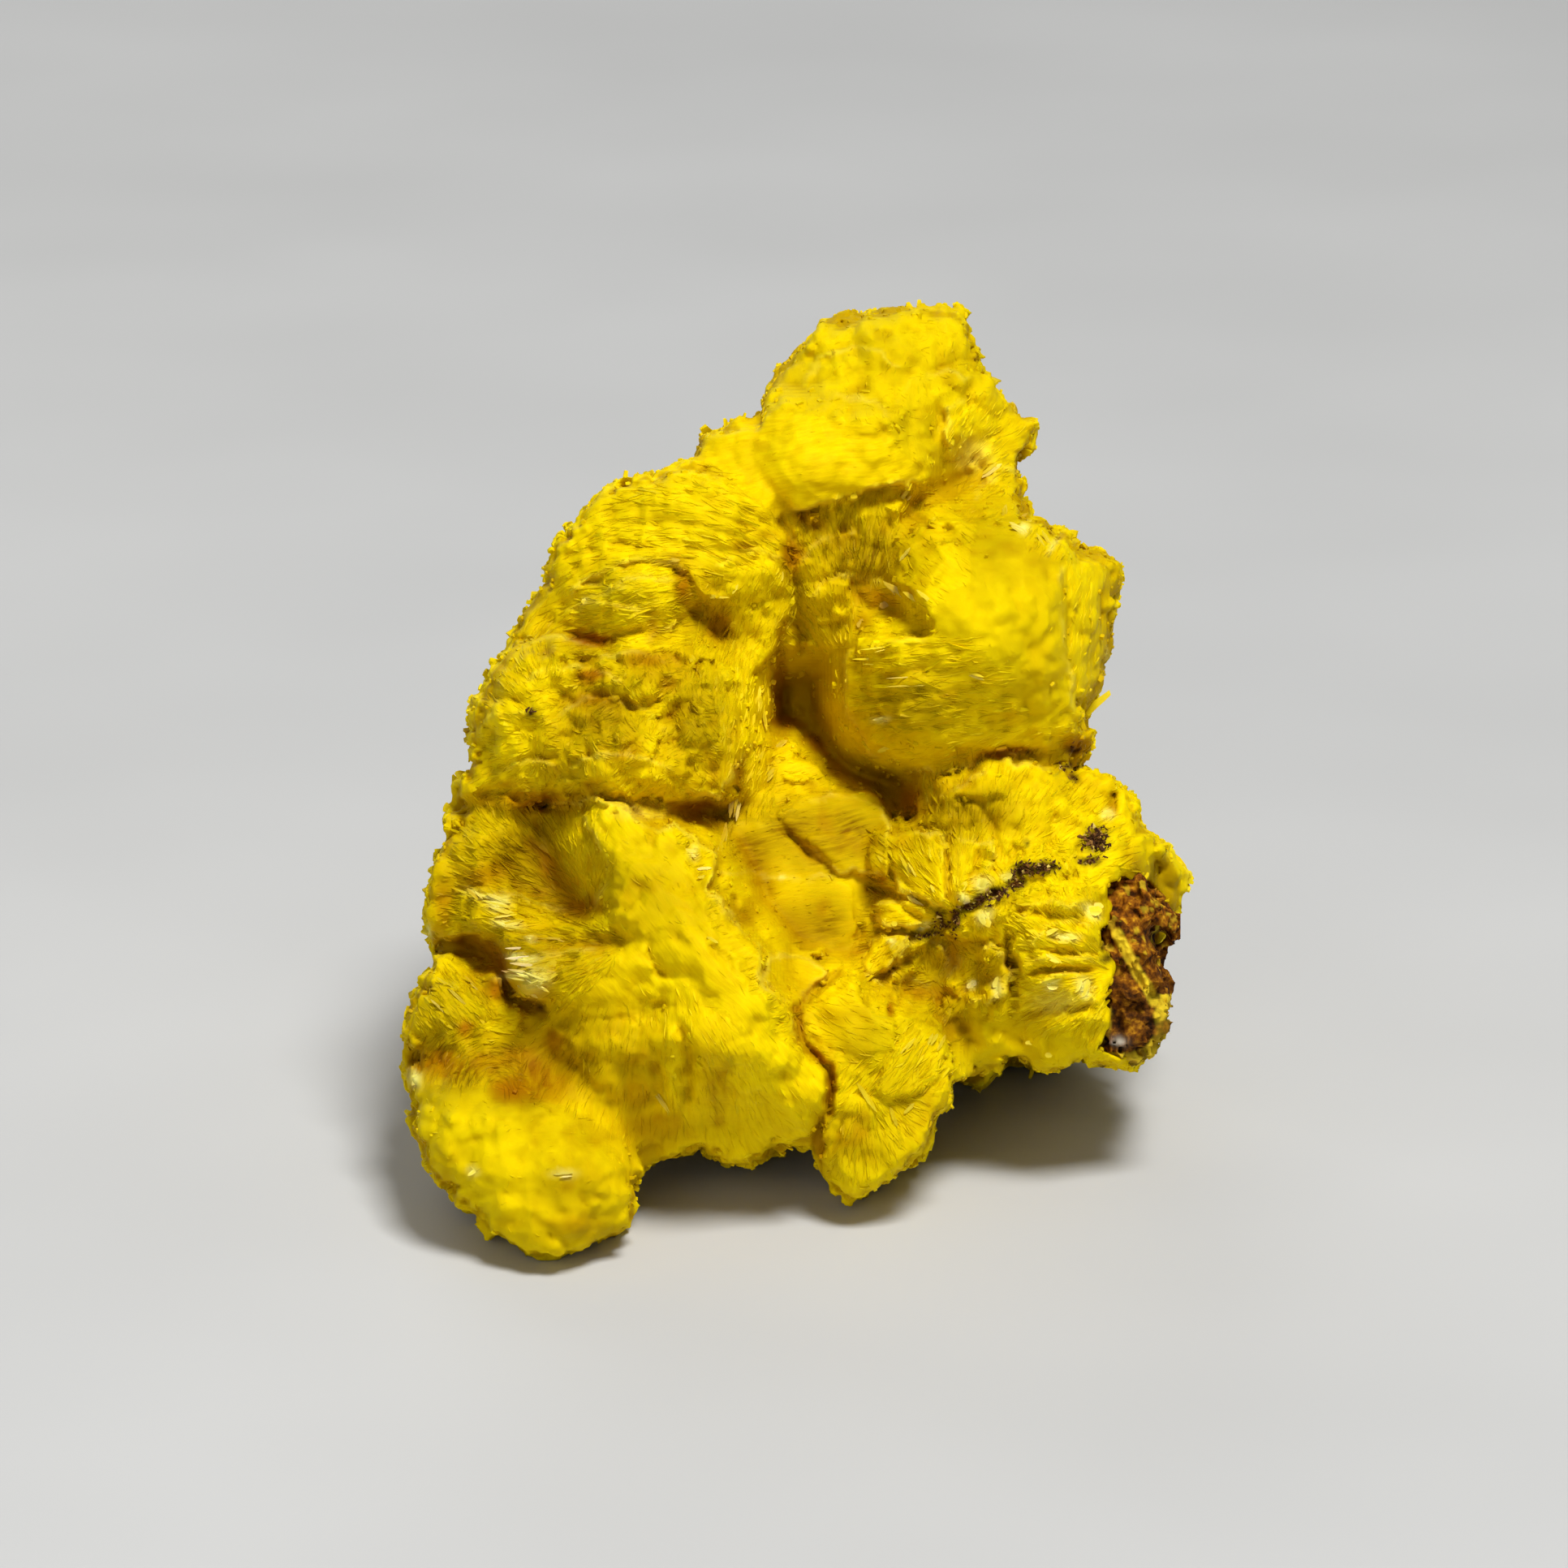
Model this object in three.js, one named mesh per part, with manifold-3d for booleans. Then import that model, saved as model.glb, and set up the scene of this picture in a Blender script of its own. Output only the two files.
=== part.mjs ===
// Vanuralite specimen: an intergrown mass of lemon-yellow crystal rosettes,
// with a crumb of brown iron-oxide matrix held in a pocket at its right edge.
// Millimetres, +Z up, origin at the centre of the footprint on the ground.

import * as THREE from 'three';
import { mergeVertices } from 'three/addons/utils/BufferGeometryUtils.js';
import Module from 'manifold-3d';

// ---- driving dimensions -------------------------------------------------
const LEAN_DEG = 18;          // the rosettes' own axes lean back by this much
const GAP = 0.34;             // air between the brown crumb and its pocket
const ROUGH = 0.1;            // height of the unevenness of the yellow skin
const ROUGH_CRUMB = 0.13;     // the crumb is rougher for its size
const WAVE = 1.15;            // wave number of the unevenness, radians per mm
const GROUND = 0;             // the rosette tips it stands on are worn flat here
const EASE = 0.5;             // share of the way to its neighbours a corner moves in a pass
const STEP = 0.6;             // furthest it is then moved back onto the lobes

// Where each part of the mass grew outward from, the lobes it takes in by the
// first letters of their names, the facets it starts from,
// 20 * (detail + 1)^2, and the passes that even them out with how softly the
// lobes run together in them, at each level of detail
const GROWTHS = [
  { heart: [-0.34, 3.35, 6.59], lobes: ['core', 'A', 'B', 'C', 'D', 'E', 'F', 'L', 'M', 'N', 'O', 'P', 'Q1', 'Q2', 'R', 'S'], detail: 7, settling: [[80, 0.2], [60, 0.1]] },
  { heart: [-5.05, -4.67, 1.67], lobes: ['H'], detail: 4, settling: [[30, 0.1]] },
  { heart: [-2.26, -2.12, 4.00], lobes: ['G', 'J'], detail: 7, settling: [[40, 0.1]] },
  { heart: [1.51, -2.43, 2.39], lobes: ['K'], detail: 4, settling: [[30, 0.1]] },
  { heart: [4.14, 3.85, 1.02], lobes: ['Q3'], detail: 3, settling: [[30, 0.1]] },
  { heart: [-6.22, -1.99, 3.10], lobes: ['I'], detail: 3, settling: [[30, 0.1]] },
];
const CRUMB_GROWTH = { heart: [6.28, -1.08, 3.96], lobes: ['X'], detail: 5, settling: [[30, 0.1]] };

// Rosettes of the yellow mass, as the lobe each one forms:
// name, x, y, z, half width, half depth, half height, roll (degrees)
const LOBES = [
  ['core1', -0.34, 4.55, 7.71, 3.41, 2.4, 4.6, 0],
  ['core2', -0.81, 2.42, 3.74, 4.26, 2.9, 3.39, 0],
  ['core3', 2.98, 3.83, 7.43, 2.69, 2.4, 3.16, 0],
  ['core4', -2.85, 2.39, 6.24, 2.99, 2.4, 3.61, 0],
  ['core5', -2.2, -0.9, 3.24, 2.64, 2.3, 2.02, 0],
  ['core6', 1.45, -0.19, 2.82, 1.48, 2, 1.48, 0],
  ['core7', -5.13, -1.85, 2.26, 1.54, 1.9, 1.39, 0],
  ['core8', 3.41, 1.15, 5, 1.88, 2, 2.35, 0],
  ['core9', -4.06, 0.01, 5.38, 2.02, 2, 1.71, 0],
  ['A1', 1.77, 3.95, 13.63, 1.88, 2.3, 1.84, 0],
  ['A2', 2.48, 4.58, 14.26, 0.97, 1.4, 1.1, 0],
  ['A3', 0.99, 4.5, 14.37, 0.97, 1.3, 0.94, 0],
  ['A4', 3.34, 4.24, 13.22, 1, 1.5, 1.03, 20],
  ['A5', 3.66, 4.19, 12.42, 0.78, 1.4, 0.97, 0],
  ['A6', 0.44, 3.9, 13.8, 1.09, 1.5, 0.94, 0],
  ['A7', 2.02, 5.2, 14.23, 1.45, 1.6, 0.94, 0],
  ['A8', 4.03, 4.7, 12.69, 0.57, 1, 0.63, 0],
  ['A9', 3.82, 3.94, 11.65, 0.69, 1.3, 0.72, 0],
  ['A10', 2.87, 3.71, 11.58, 1.1, 1.6, 0.94, 0],
  ['B1', 0.05, 1.88, 13.08, 1.39, 1.9, 0.96, 0],
  ['B2', -1.08, 2.31, 13.11, 0.93, 1.5, 0.74, 0],
  ['B3', 1.21, 2.02, 13.2, 1.21, 1.7, 0.87, 0],
  ['B4', 1.52, 1.78, 12.46, 0.96, 1.5, 0.71, 0],
  ['D1', -2.66, 1.69, 11.84, 1.55, 2.2, 1.08, 15],
  ['D2', -1.57, 1.35, 12.1, 1.39, 2, 0.96, 0],
  ['D3', -3.75, 1.88, 11.14, 1.02, 1.9, 1.09, 30],
  ['D4', -2.96, 0.51, 10.82, 1.26, 1.9, 0.86, 0],
  ['D5', -4.37, 1.42, 10.39, 0.78, 1.5, 0.84, 40],
  ['D6', -1.27, 1.06, 11.22, 1.24, 1.8, 0.86, 0],
  ['C1', 0.9, 1.74, 11.35, 1.4, 1.6, 1.02, 10],
  ['C2', 0.28, 1.76, 10.45, 0.93, 1.5, 0.87, 0],
  ['C3', 1.68, 1.95, 10.71, 0.93, 1.5, 0.87, 0],
  ['E1', -4.35, 0.3, 8.87, 1.42, 2.3, 1.24, 0],
  ['E2', -2.8, 0.06, 9.43, 1.39, 2.2, 0.96, 0],
  ['E3', -1.85, -0.08, 8.67, 1.02, 2.1, 1.2, 0],
  ['E4', -3.11, -0.7, 8.06, 1.41, 2.2, 1.01, 0],
  ['E5', -5.05, 0.06, 7.81, 1.14, 2, 1.11, 0],
  ['E6', -5.3, 0.99, 9.06, 0.71, 1.5, 0.78, 0],
  ['E7', -2.03, -0.51, 7.67, 0.89, 1.9, 0.77, 0],
  ['E8', -5.69, 0.35, 6.74, 0.9, 1.6, 0.93, 0],
  ['E9', -4.87, 1.3, 9.66, 0.65, 1.3, 0.78, 0],
  ['F1', -5.48, -0.37, 5.84, 1.33, 1.9, 1.11, 0],
  ['F2', -6.07, -0.42, 4.71, 0.93, 1.6, 1.02, 0],
  ['F3', -4.82, -0.84, 5.02, 1.24, 1.6, 0.93, 0],
  ['G1', -3.25, -1.93, 6.52, 1.13, 2.1, 0.8, 0],
  ['G2', -2.48, -2.31, 5.68, 1.16, 2.4, 1.25, 0],
  ['G3', -1.79, -2.93, 4.76, 1.31, 2.6, 1.34, 0],
  ['G4', -1.1, -3.4, 3.63, 1.22, 2.6, 1.34, 0],
  ['G5', -0.41, -3.49, 2.37, 1.01, 2.3, 1.16, 0],
  ['G6', -3.4, -2.88, 4.26, 1.47, 2.6, 1.22, 0],
  ['G7', -2.03, -1.41, 6.51, 0.55, 1.6, 0.61, 0],
  ['G8', -0.8, -2.5, 4.13, 0.86, 2, 0.86, 0],
  ['I1', -6.5, -1.89, 3.42, 0.92, 1.8, 0.96, 0],
  ['I2', -5.56, -2.36, 3.27, 1.01, 1.9, 0.86, 0],
  ['I3', -6.72, -1.95, 2.59, 0.71, 1.6, 0.8, 0],
  ['J1', -3.4, -3.02, 2.53, 1.69, 2.4, 1.38, 0],
  ['J2', -1.87, -3.26, 2.12, 1.47, 2.2, 1.23, 0],
  ['J3', -0.95, -3.05, 1.47, 1.01, 1.7, 0.77, 0],
  ['J4', -2.56, -3.05, 1.47, 0.95, 1.6, 0.64, 0],
  ['H1', -5.51, -4.67, 1.67, 1.73, 2.2, 1.43, 0],
  ['H2', -4.57, -5.56, 1.19, 1.51, 1.8, 1.3, 0],
  ['H3', -5.85, -3.49, 2.05, 1.38, 2.1, 0.95, 0],
  ['H4', -4, -3.96, 1.57, 1.16, 2.1, 1.07, 0],
  ['H5', -3.79, -5.07, 0.76, 0.82, 1.4, 0.85, 0],
  ['K1', 1.35, -2.55, 3.33, 1.47, 2.1, 1.17, 0],
  ['K2', 1.73, -2.86, 2.06, 1.23, 1.9, 1.29, 0],
  ['K3', 1.08, -2.91, 0.92, 0.74, 1.4, 1.14, 0],
  ['K4', 2.28, -2.13, 2.69, 0.68, 1.6, 1.23, 0],
  ['K5', 0.05, -1.86, 3.82, 0.68, 1.6, 0.68, 0],
  ['K6', 1.66, -3.12, 1.25, 0.92, 1.4, 0.92, 35],
  ['L1', 0.44, 0.77, 5.79, 1.5, 1.6, 1.28, 0],
  ['L2', -0.34, 0.29, 4.96, 1.24, 1.6, 1.09, 0],
  ['L3', 0.75, 0.05, 4.55, 1.24, 1.6, 1.03, 0],
  ['L4', 0.29, 2.3, 6.6, 1.26, 1.5, 0.78, 0],
  ['M1', -1.09, 1.01, 7.18, 0.53, 1.4, 0.93, 0],
  ['N1', 3.2, 0.3, 10.16, 1.85, 2.7, 1.6, 0],
  ['N2', 2.6, 0.35, 9.02, 1.67, 2.3, 1.39, 0],
  ['N3', 4.3, 0.97, 10.28, 1.55, 2.4, 1.7, 0],
  ['N4', 5.27, 2.21, 10.23, 0.93, 1.4, 1.06, 0],
  ['N5', 5.24, 2.02, 8.99, 0.81, 1.2, 1.56, 0],
  ['N6', 4.17, 1.21, 8.42, 1.4, 2, 1.12, 0],
  ['N7', 3.07, 1.69, 11.2, 1.18, 1.8, 0.93, 0],
  ['N8', 5.25, 1.83, 7.74, 0.44, 0.8, 0.72, 0],
  ['N9', 5.67, 2.67, 10.66, 0.56, 0.9, 0.53, 0],
  ['O1', 3.99, -0.22, 6.61, 1.7, 2.2, 1.21, 0],
  ['O2', 3.05, -1.03, 5.41, 1.36, 2, 1.39, 0],
  ['O3', 4.44, -1.32, 5.18, 1.42, 2.1, 1.23, 0],
  ['O4', 5.54, -0.27, 5.81, 1.02, 1.9, 1.24, 0],
  ['O5', 4.91, -1.61, 3.65, 1.36, 2.1, 1.26, 0],
  ['O6', 3.37, -1.2, 3.59, 1.24, 1.9, 1.3, 0],
  ['O7', 5.85, 0.63, 6.65, 0.68, 1.4, 0.53, 0],
  ['O8', 2.76, 0.3, 6.92, 0.93, 1.6, 0.78, 0],
  ['P1', 6.6, 1.88, 4.67, 0.85, 1.6, 1.04, 0],
  ['P2', 5.01, 2.48, 5.22, 1.42, 1.8, 1.73, 0],
  ['Q1', 4.02, 2.66, 1.9, 1.43, 2.2, 1.52, 0],
  ['Q3', 4.14, 3.85, 1.02, 1.18, 2, 1.15, 0],
  ['Q2', 5.34, 2.13, 2.84, 1.33, 1.8, 1.33, 0],
  ['R1', -2.24, 2.16, 1.65, 1.74, 2, 1.39, 0],
  ['R3', -2.65, 3.14, 0.8, 1.15, 1.8, 0.96, 0],
  ['R2', -4.43, 1.61, 3.19, 1.89, 2.2, 1.73, 0],
  ['S1', 1.47, 5.01, 12.35, 1.73, 1.8, 1.73, 0],
  ['S2', -0.82, 5.1, 11.34, 1.42, 2, 1.26, 0],
  ['S3', -3.02, 4.18, 9.8, 1.58, 2, 1.42, 0],
  ['S4', -0.34, 5.37, 8.28, 2.23, 1.7, 1.75, 0],
  ['S5', 3.15, 4.89, 8.76, 2.22, 2, 1.9, 0],
  ['S6', -3.97, 3.4, 6.74, 1.89, 2.2, 1.89, 0],
  ['S7', -1.62, 4.43, 4.74, 2.39, 1.8, 1.91, 0],
  ['S8', 2.21, 4.52, 5.04, 2.39, 1.9, 1.91, 0],
  ['S9', 0.46, 3.78, 2.09, 2.08, 1.9, 1.6, 0],
  ['S10', 1.56, 5.19, 10.33, 1.74, 1.6, 1.43, 0],
];

// lumps of the brown crumb
const CRUMB = [
  ['X1', 6.27, -0.99, 4.58, 0.71, 1.5, 1.17, 0],
  ['X2', 6.24, -1.49, 3.36, 0.71, 1.4, 1.14, 0],
  ['X3', 6.36, -0.71, 3.83, 0.65, 1.6, 1.4, 0],
];

const YELLOW = new THREE.MeshStandardMaterial({ color: 0xe8cc08, roughness: 0.55, metalness: 0 });
const BROWN = new THREE.MeshStandardMaterial({ color: 0x5b3410, roughness: 0.9, metalness: 0 });

const wasm = await Module();
wasm.setup();

// smooth, repeatable unevenness in -1..1
function wave(p) {
  return (
    Math.sin(WAVE * (2.1 * p.x + 1.3 * p.y + 0.4 * p.z) + 0.7) * Math.sin(WAVE * (1.7 * p.z - 0.9 * p.x) + 1.9) * 0.6 +
    Math.sin(WAVE * (3.9 * p.z + 2.2 * p.y) + 2.3) * Math.sin(WAVE * (4.3 * p.x - 1.1 * p.z) + 0.2) * 0.4
  );
}

// each lobe as its centre and the matrix that takes offsets into its unit ball
function unitBalls(rows, grow) {
  const lean = new THREE.Matrix4().makeRotationX(-THREE.MathUtils.degToRad(LEAN_DEG));
  return rows.map(([, x, y, z, rx, ry, rz, roll]) => {
    const turn = new THREE.Matrix4().makeRotationY(-THREE.MathUtils.degToRad(roll));
    const m = lean.clone().multiply(turn).multiply(new THREE.Matrix4().makeScale(rx + grow, ry + grow, rz + grow));
    const into = new THREE.Matrix3().setFromMatrix4(m.invert());
    return { centre: new THREE.Vector3(x, y, z), into, back: into.clone().transpose() };
  });
}

// how far along a ray from the heart the outermost lobe ends
function reach(balls, heart, dir) {
  const o = new THREE.Vector3();
  const d = new THREE.Vector3();
  let far = 0;
  for (const ball of balls) {
    o.copy(heart).sub(ball.centre).applyMatrix3(ball.into);
    d.copy(dir).applyMatrix3(ball.into);
    const a = d.dot(d);
    const b = o.dot(d);
    const c = o.dot(o) - 1;
    const disc = b * b - a * c;
    if (disc > 0) far = Math.max(far, (-b + Math.sqrt(disc)) / a);
  }
  return far;
}

// distance of a point from the blended lobes, and the way out of them
function depthOf(balls, blend, p, out) {
  const q = new THREE.Vector3();
  const n = new THREE.Vector3();
  const all = [];
  let least = Infinity;
  for (const ball of balls) {
    q.copy(p).sub(ball.centre).applyMatrix3(ball.into);
    const k = q.length() + 1e-9;
    n.copy(q).applyMatrix3(ball.back);
    const g = n.length() + 1e-9;
    const dist = (k * (k - 1)) / g;
    least = Math.min(least, dist);
    if (dist < least + 8 * blend) all.push([dist, n.x / g, n.y / g, n.z / g]);
  }
  let sum = 0;
  out.set(0, 0, 0);
  for (const [dist, x, y, z] of all) {
    const w = Math.exp((least - dist) / blend);
    sum += w;
    out.x += w * x;
    out.y += w * y;
    out.z += w * z;
  }
  out.normalize();
  return least - blend * Math.log(sum);
}

// every triangle split in four, its new corners at the middle of its edges
function split(points, triangles) {
  const pts = points.map((p) => p.clone());
  const made = new Map();
  const middle = (a, b) => {
    const key = a < b ? `${a},${b}` : `${b},${a}`;
    if (!made.has(key)) {
      made.set(key, pts.length);
      pts.push(points[a].clone().lerp(points[b], 0.5));
    }
    return made.get(key);
  };
  const tri = [];
  for (const [a, b, c] of triangles) {
    const ab = middle(a, b);
    const bc = middle(b, c);
    const ca = middle(c, a);
    tri.push([a, ab, ca], [ab, b, bc], [ca, bc, c], [ab, bc, ca]);
  }
  return [pts, tri];
}

// corners move toward their neighbours' middle, then back onto the lobes,
// until the facets are even all over
function settle(points, triangles, balls, blend, passes) {
  const near = points.map(() => new Set());
  for (const t of triangles) {
    for (const [a, b] of [[0, 1], [1, 2], [2, 0]]) {
      near[t[a]].add(t[b]);
      near[t[b]].add(t[a]);
    }
  }
  const neighbours = near.map((s) => [...s]);
  const out = new THREE.Vector3();
  let pts = points;
  for (let pass = 0; pass < passes; pass++) {
    pts = pts.map((p, i) => {
      const mean = new THREE.Vector3();
      let sum = 0;
      for (const j of neighbours[i]) {
        const length = p.distanceTo(pts[j]);
        mean.addScaledVector(pts[j], length).addScaledVector(p, -length);
        sum += length;
      }
      mean.divideScalar(sum);
      depthOf(balls, blend, p, out);
      mean.addScaledVector(out, -mean.dot(out));
      return p.clone().addScaledVector(mean, EASE);
    });
    for (const p of pts) {
      const dist = depthOf(balls, blend, p, out);
      p.addScaledVector(out, -THREE.MathUtils.clamp(dist, -STEP, STEP));
    }
  }
  return pts;
}

// a geodesic ball grown from the heart onto the lobes
function grownSkin(rows, { heart: [hx, hy, hz], lobes, detail, settling }, grow, rough) {
  const own = rows.filter(([name]) => lobes.some((start) => name.startsWith(start)));
  const balls = unitBalls(own, grow);
  const heart = new THREE.Vector3(hx, hy, hz);
  const g = new THREE.IcosahedronGeometry(1, detail);
  g.deleteAttribute('normal');
  g.deleteAttribute('uv');
  const ball = mergeVertices(g, 1e-4);
  let pts = [];
  for (let i = 0; i < ball.attributes.position.count; i++) {
    const dir = new THREE.Vector3().fromBufferAttribute(ball.attributes.position, i).normalize();
    pts.push(dir.clone().multiplyScalar(reach(balls, heart, dir)).add(heart));
  }
  let tri = [];
  for (let i = 0; i < ball.index.count; i += 3) {
    tri.push([ball.index.getX(i), ball.index.getX(i + 1), ball.index.getX(i + 2)]);
  }
  settling.forEach(([passes, blend], level) => {
    if (level > 0) [pts, tri] = split(pts, tri);
    pts = settle(pts, tri, balls, blend, passes);
  });
  const out = new THREE.Vector3();
  for (const p of pts) {
    depthOf(balls, settling.at(-1)[1], p, out);
    p.addScaledVector(out, rough * wave(p));
  }
  const skin = new THREE.BufferGeometry().setFromPoints(pts);
  skin.setIndex(tri.flat());
  return skin;
}

function toSolid(geometry) {
  const g = geometry.clone();
  g.deleteAttribute('normal');
  g.deleteAttribute('uv');
  const m = mergeVertices(g, 1e-4);
  return new wasm.Manifold(new wasm.Mesh({
    numProp: 3,
    vertProperties: new Float32Array(m.attributes.position.array),
    triVerts: new Uint32Array(m.index.array),
  }));
}

function toGeometry(solid) {
  const m = solid.getMesh();
  const g = new THREE.BufferGeometry();
  g.setAttribute('position', new THREE.BufferAttribute(new Float32Array(m.vertProperties), 3));
  g.setIndex(new THREE.BufferAttribute(new Uint32Array(m.triVerts), 1));
  return g;
}

// the ground the specimen stands on, as a slab to cut with
const slab = new THREE.BoxGeometry(60, 60, 20);
slab.translate(0, 0, GROUND - 10);

const mass = GROWTHS
  .map((growth) => toSolid(grownSkin(LOBES, growth, 0, ROUGH)))
  .reduce((joined, solid) => joined.add(solid));
const pocket = toSolid(grownSkin(CRUMB, CRUMB_GROWTH, GAP, ROUGH_CRUMB));
const crumb = toSolid(grownSkin(CRUMB, CRUMB_GROWTH, 0, ROUGH_CRUMB));

const crystalMesh = new THREE.Mesh(toGeometry(mass.subtract(pocket).subtract(toSolid(slab))), YELLOW);
crystalMesh.name = 'vanuralite_crystals';

const matrixMesh = new THREE.Mesh(toGeometry(crumb), BROWN);
matrixMesh.name = 'limonite_matrix';

const specimen = new THREE.Group();
specimen.add(crystalMesh, matrixMesh);

export default specimen;
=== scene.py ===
import math

import bpy
import numpy as np
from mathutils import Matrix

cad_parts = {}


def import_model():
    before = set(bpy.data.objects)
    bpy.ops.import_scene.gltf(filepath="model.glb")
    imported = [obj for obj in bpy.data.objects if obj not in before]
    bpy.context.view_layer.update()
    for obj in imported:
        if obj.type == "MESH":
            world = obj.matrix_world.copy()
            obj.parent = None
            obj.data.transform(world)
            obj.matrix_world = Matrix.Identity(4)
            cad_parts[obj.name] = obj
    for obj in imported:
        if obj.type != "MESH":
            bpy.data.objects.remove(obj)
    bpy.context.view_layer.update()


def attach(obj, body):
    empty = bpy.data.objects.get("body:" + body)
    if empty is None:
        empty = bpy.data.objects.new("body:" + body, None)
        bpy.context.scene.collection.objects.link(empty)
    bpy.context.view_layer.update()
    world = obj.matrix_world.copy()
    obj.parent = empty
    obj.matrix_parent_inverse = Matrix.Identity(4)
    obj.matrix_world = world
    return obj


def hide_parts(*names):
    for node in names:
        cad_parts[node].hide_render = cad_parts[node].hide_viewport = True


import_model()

import openvdb
from mathutils import Vector

# ------------------------------------------------------------------ view frame
# Shapes are worked out in millimetres. A place is given as a picture position
# (of a 1932 square frame, x right, y down) and a depth toward the camera in mm.
ELEV = math.radians(18.0)
DIST = 160.0
PXMM = 65.0
TZ = 7.5
OX, OY = 0.246, 0.775
RIGHT = np.array([1.0, 0.0, 0.0])
UP = np.array([0.0, math.sin(ELEV), math.cos(ELEV)])
NEAR = np.array([0.0, -math.cos(ELEV), math.sin(ELEV)])
TARGET = np.array([-OX, -OY, TZ])


def world(px, py, d):
    px, py, d = np.broadcast_arrays(np.asarray(px, float), np.asarray(py, float), np.asarray(d, float))
    k = 1.0 - d / DIST
    return (TARGET + RIGHT * ((px - 966.0) / PXMM * k)[..., None]
            + UP * ((966.0 - py) / PXMM * k)[..., None] + NEAR * d[..., None])


def view(p):
    q = p - TARGET
    d = q @ NEAR
    k = 1.0 - d / DIST
    return 966.0 + PXMM * (q @ RIGHT) / k, 966.0 - PXMM * (q @ UP) / k, d


def unit(v):
    return v / (np.linalg.norm(v, axis=-1, keepdims=True) + 1e-12)


def step(x):
    x = np.clip(x, 0.0, 1.0)
    return x * x * (3 - 2 * x)


# ------------------------------------------------------------------ noise
def _hash(ix, iy, iz, seed):
    h = (ix * 374761393 + iy * 668265263 + iz * 1442695041 + seed * 1274126177) & 0xFFFFFFFF
    h = ((h ^ (h >> 13)) * 1274126177) & 0xFFFFFFFF
    h = ((h ^ (h >> 16)) * 2246822519) & 0xFFFFFFFF
    return ((h ^ (h >> 15)) & 0xFFFFFF) / float(0x7FFFFF) - 1.0


def noise2(x, y, seed=0, cell=0):
    x, y = np.broadcast_arrays(x, y)
    ix, iy = np.floor(x).astype(np.int64), np.floor(y).astype(np.int64)
    fx, fy = x - ix, y - iy
    sx, sy = fx * fx * (3 - 2 * fx), fy * fy * (3 - 2 * fy)
    z = np.zeros_like(ix) + cell
    a, b = _hash(ix, iy, z, seed), _hash(ix + 1, iy, z, seed)
    c, d = _hash(ix, iy + 1, z, seed), _hash(ix + 1, iy + 1, z, seed)
    return (a + (b - a) * sx) * (1 - sy) + (c + (d - c) * sx) * sy


def noise3(p, seed=0):
    i = np.floor(p).astype(np.int64)
    f = p - i
    s = f * f * (3 - 2 * f)
    out = 0.0
    for dx in (0, 1):
        wx = s[..., 0] if dx else 1 - s[..., 0]
        for dy in (0, 1):
            wy = s[..., 1] if dy else 1 - s[..., 1]
            for dz in (0, 1):
                wz = s[..., 2] if dz else 1 - s[..., 2]
                out = out + _hash(i[..., 0] + dx, i[..., 1] + dy, i[..., 2] + dz, seed) * wx * wy * wz
    return out


def grid_noise(ax, ay, az, seed):
    """Value noise over a whole grid, from its three axes measured in cells."""
    r = np.random.default_rng(seed)
    idx = []
    for a in (ax, ay, az):
        lo = math.floor(a.min())
        i = np.floor(a).astype(int)
        f = (a - i).astype(np.float32)
        idx.append((i - lo, f * f * (3 - 2 * f), int(math.floor(a.max())) - lo + 2))
    v = r.uniform(-1, 1, [k[2] for k in idx]).astype(np.float32)
    i, s, _ = idx[0]
    v = v[i] * (1 - s)[:, None, None] + v[i + 1] * s[:, None, None]
    i, s, _ = idx[1]
    v = v[:, i] * (1 - s)[None, :, None] + v[:, i + 1] * s[None, :, None]
    i, s, _ = idx[2]
    return v[:, :, i] * (1 - s)[None, None, :] + v[:, :, i + 1] * s[None, None, :]


def smin(a, b, r):
    h = np.maximum(r - np.abs(a - b), 0.0) / r
    return np.minimum(a, b) - h * h * (r * 0.25)


def smax(a, b, r):
    h = np.maximum(r - np.abs(a - b), 0.0) / r
    return np.maximum(a, b) + h * h * (r * 0.25)


def inside(poly, x, y):
    """Signed distance to a polygon, positive inside, in the units of x and y."""
    d2 = np.full(x.shape, 1e12)
    odd = np.zeros(x.shape, bool)
    n = len(poly)
    for k in range(n):
        x0, y0 = poly[k]
        x1, y1 = poly[(k + 1) % n]
        ex, ey = x1 - x0, y1 - y0
        t = np.clip(((x - x0) * ex + (y - y0) * ey) / (ex * ex + ey * ey + 1e-9), 0, 1)
        d2 = np.minimum(d2, (x - x0 - t * ex) ** 2 + (y - y0 - t * ey) ** 2)
        if y0 != y1:
            cross = ((y0 > y) != (y1 > y)) & (x < (y - y0) * ex / ey + x0)
            odd ^= cross
    return np.where(odd, 1.0, -1.0) * np.sqrt(d2)


def along(line, x, y):
    """Distance to a polyline, and how far along it (0 to 1) the nearest place is."""
    best = np.full(x.shape, 1e9)
    where = np.zeros(x.shape)
    seg = [math.dist(line[k], line[k + 1]) for k in range(len(line) - 1)]
    tot, run = sum(seg) + 1e-9, 0.0
    for k, s in enumerate(seg):
        x0, y0 = line[k]
        x1, y1 = line[k + 1]
        ex, ey = x1 - x0, y1 - y0
        t = np.clip(((x - x0) * ex + (y - y0) * ey) / (ex * ex + ey * ey + 1e-9), 0, 1)
        d = np.hypot(x - x0 - t * ex, y - y0 - t * ey)
        u = d < best
        best = np.where(u, d, best)
        where = np.where(u, (run + t * s) / tot, where)
        run += s
    return best, where

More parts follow.
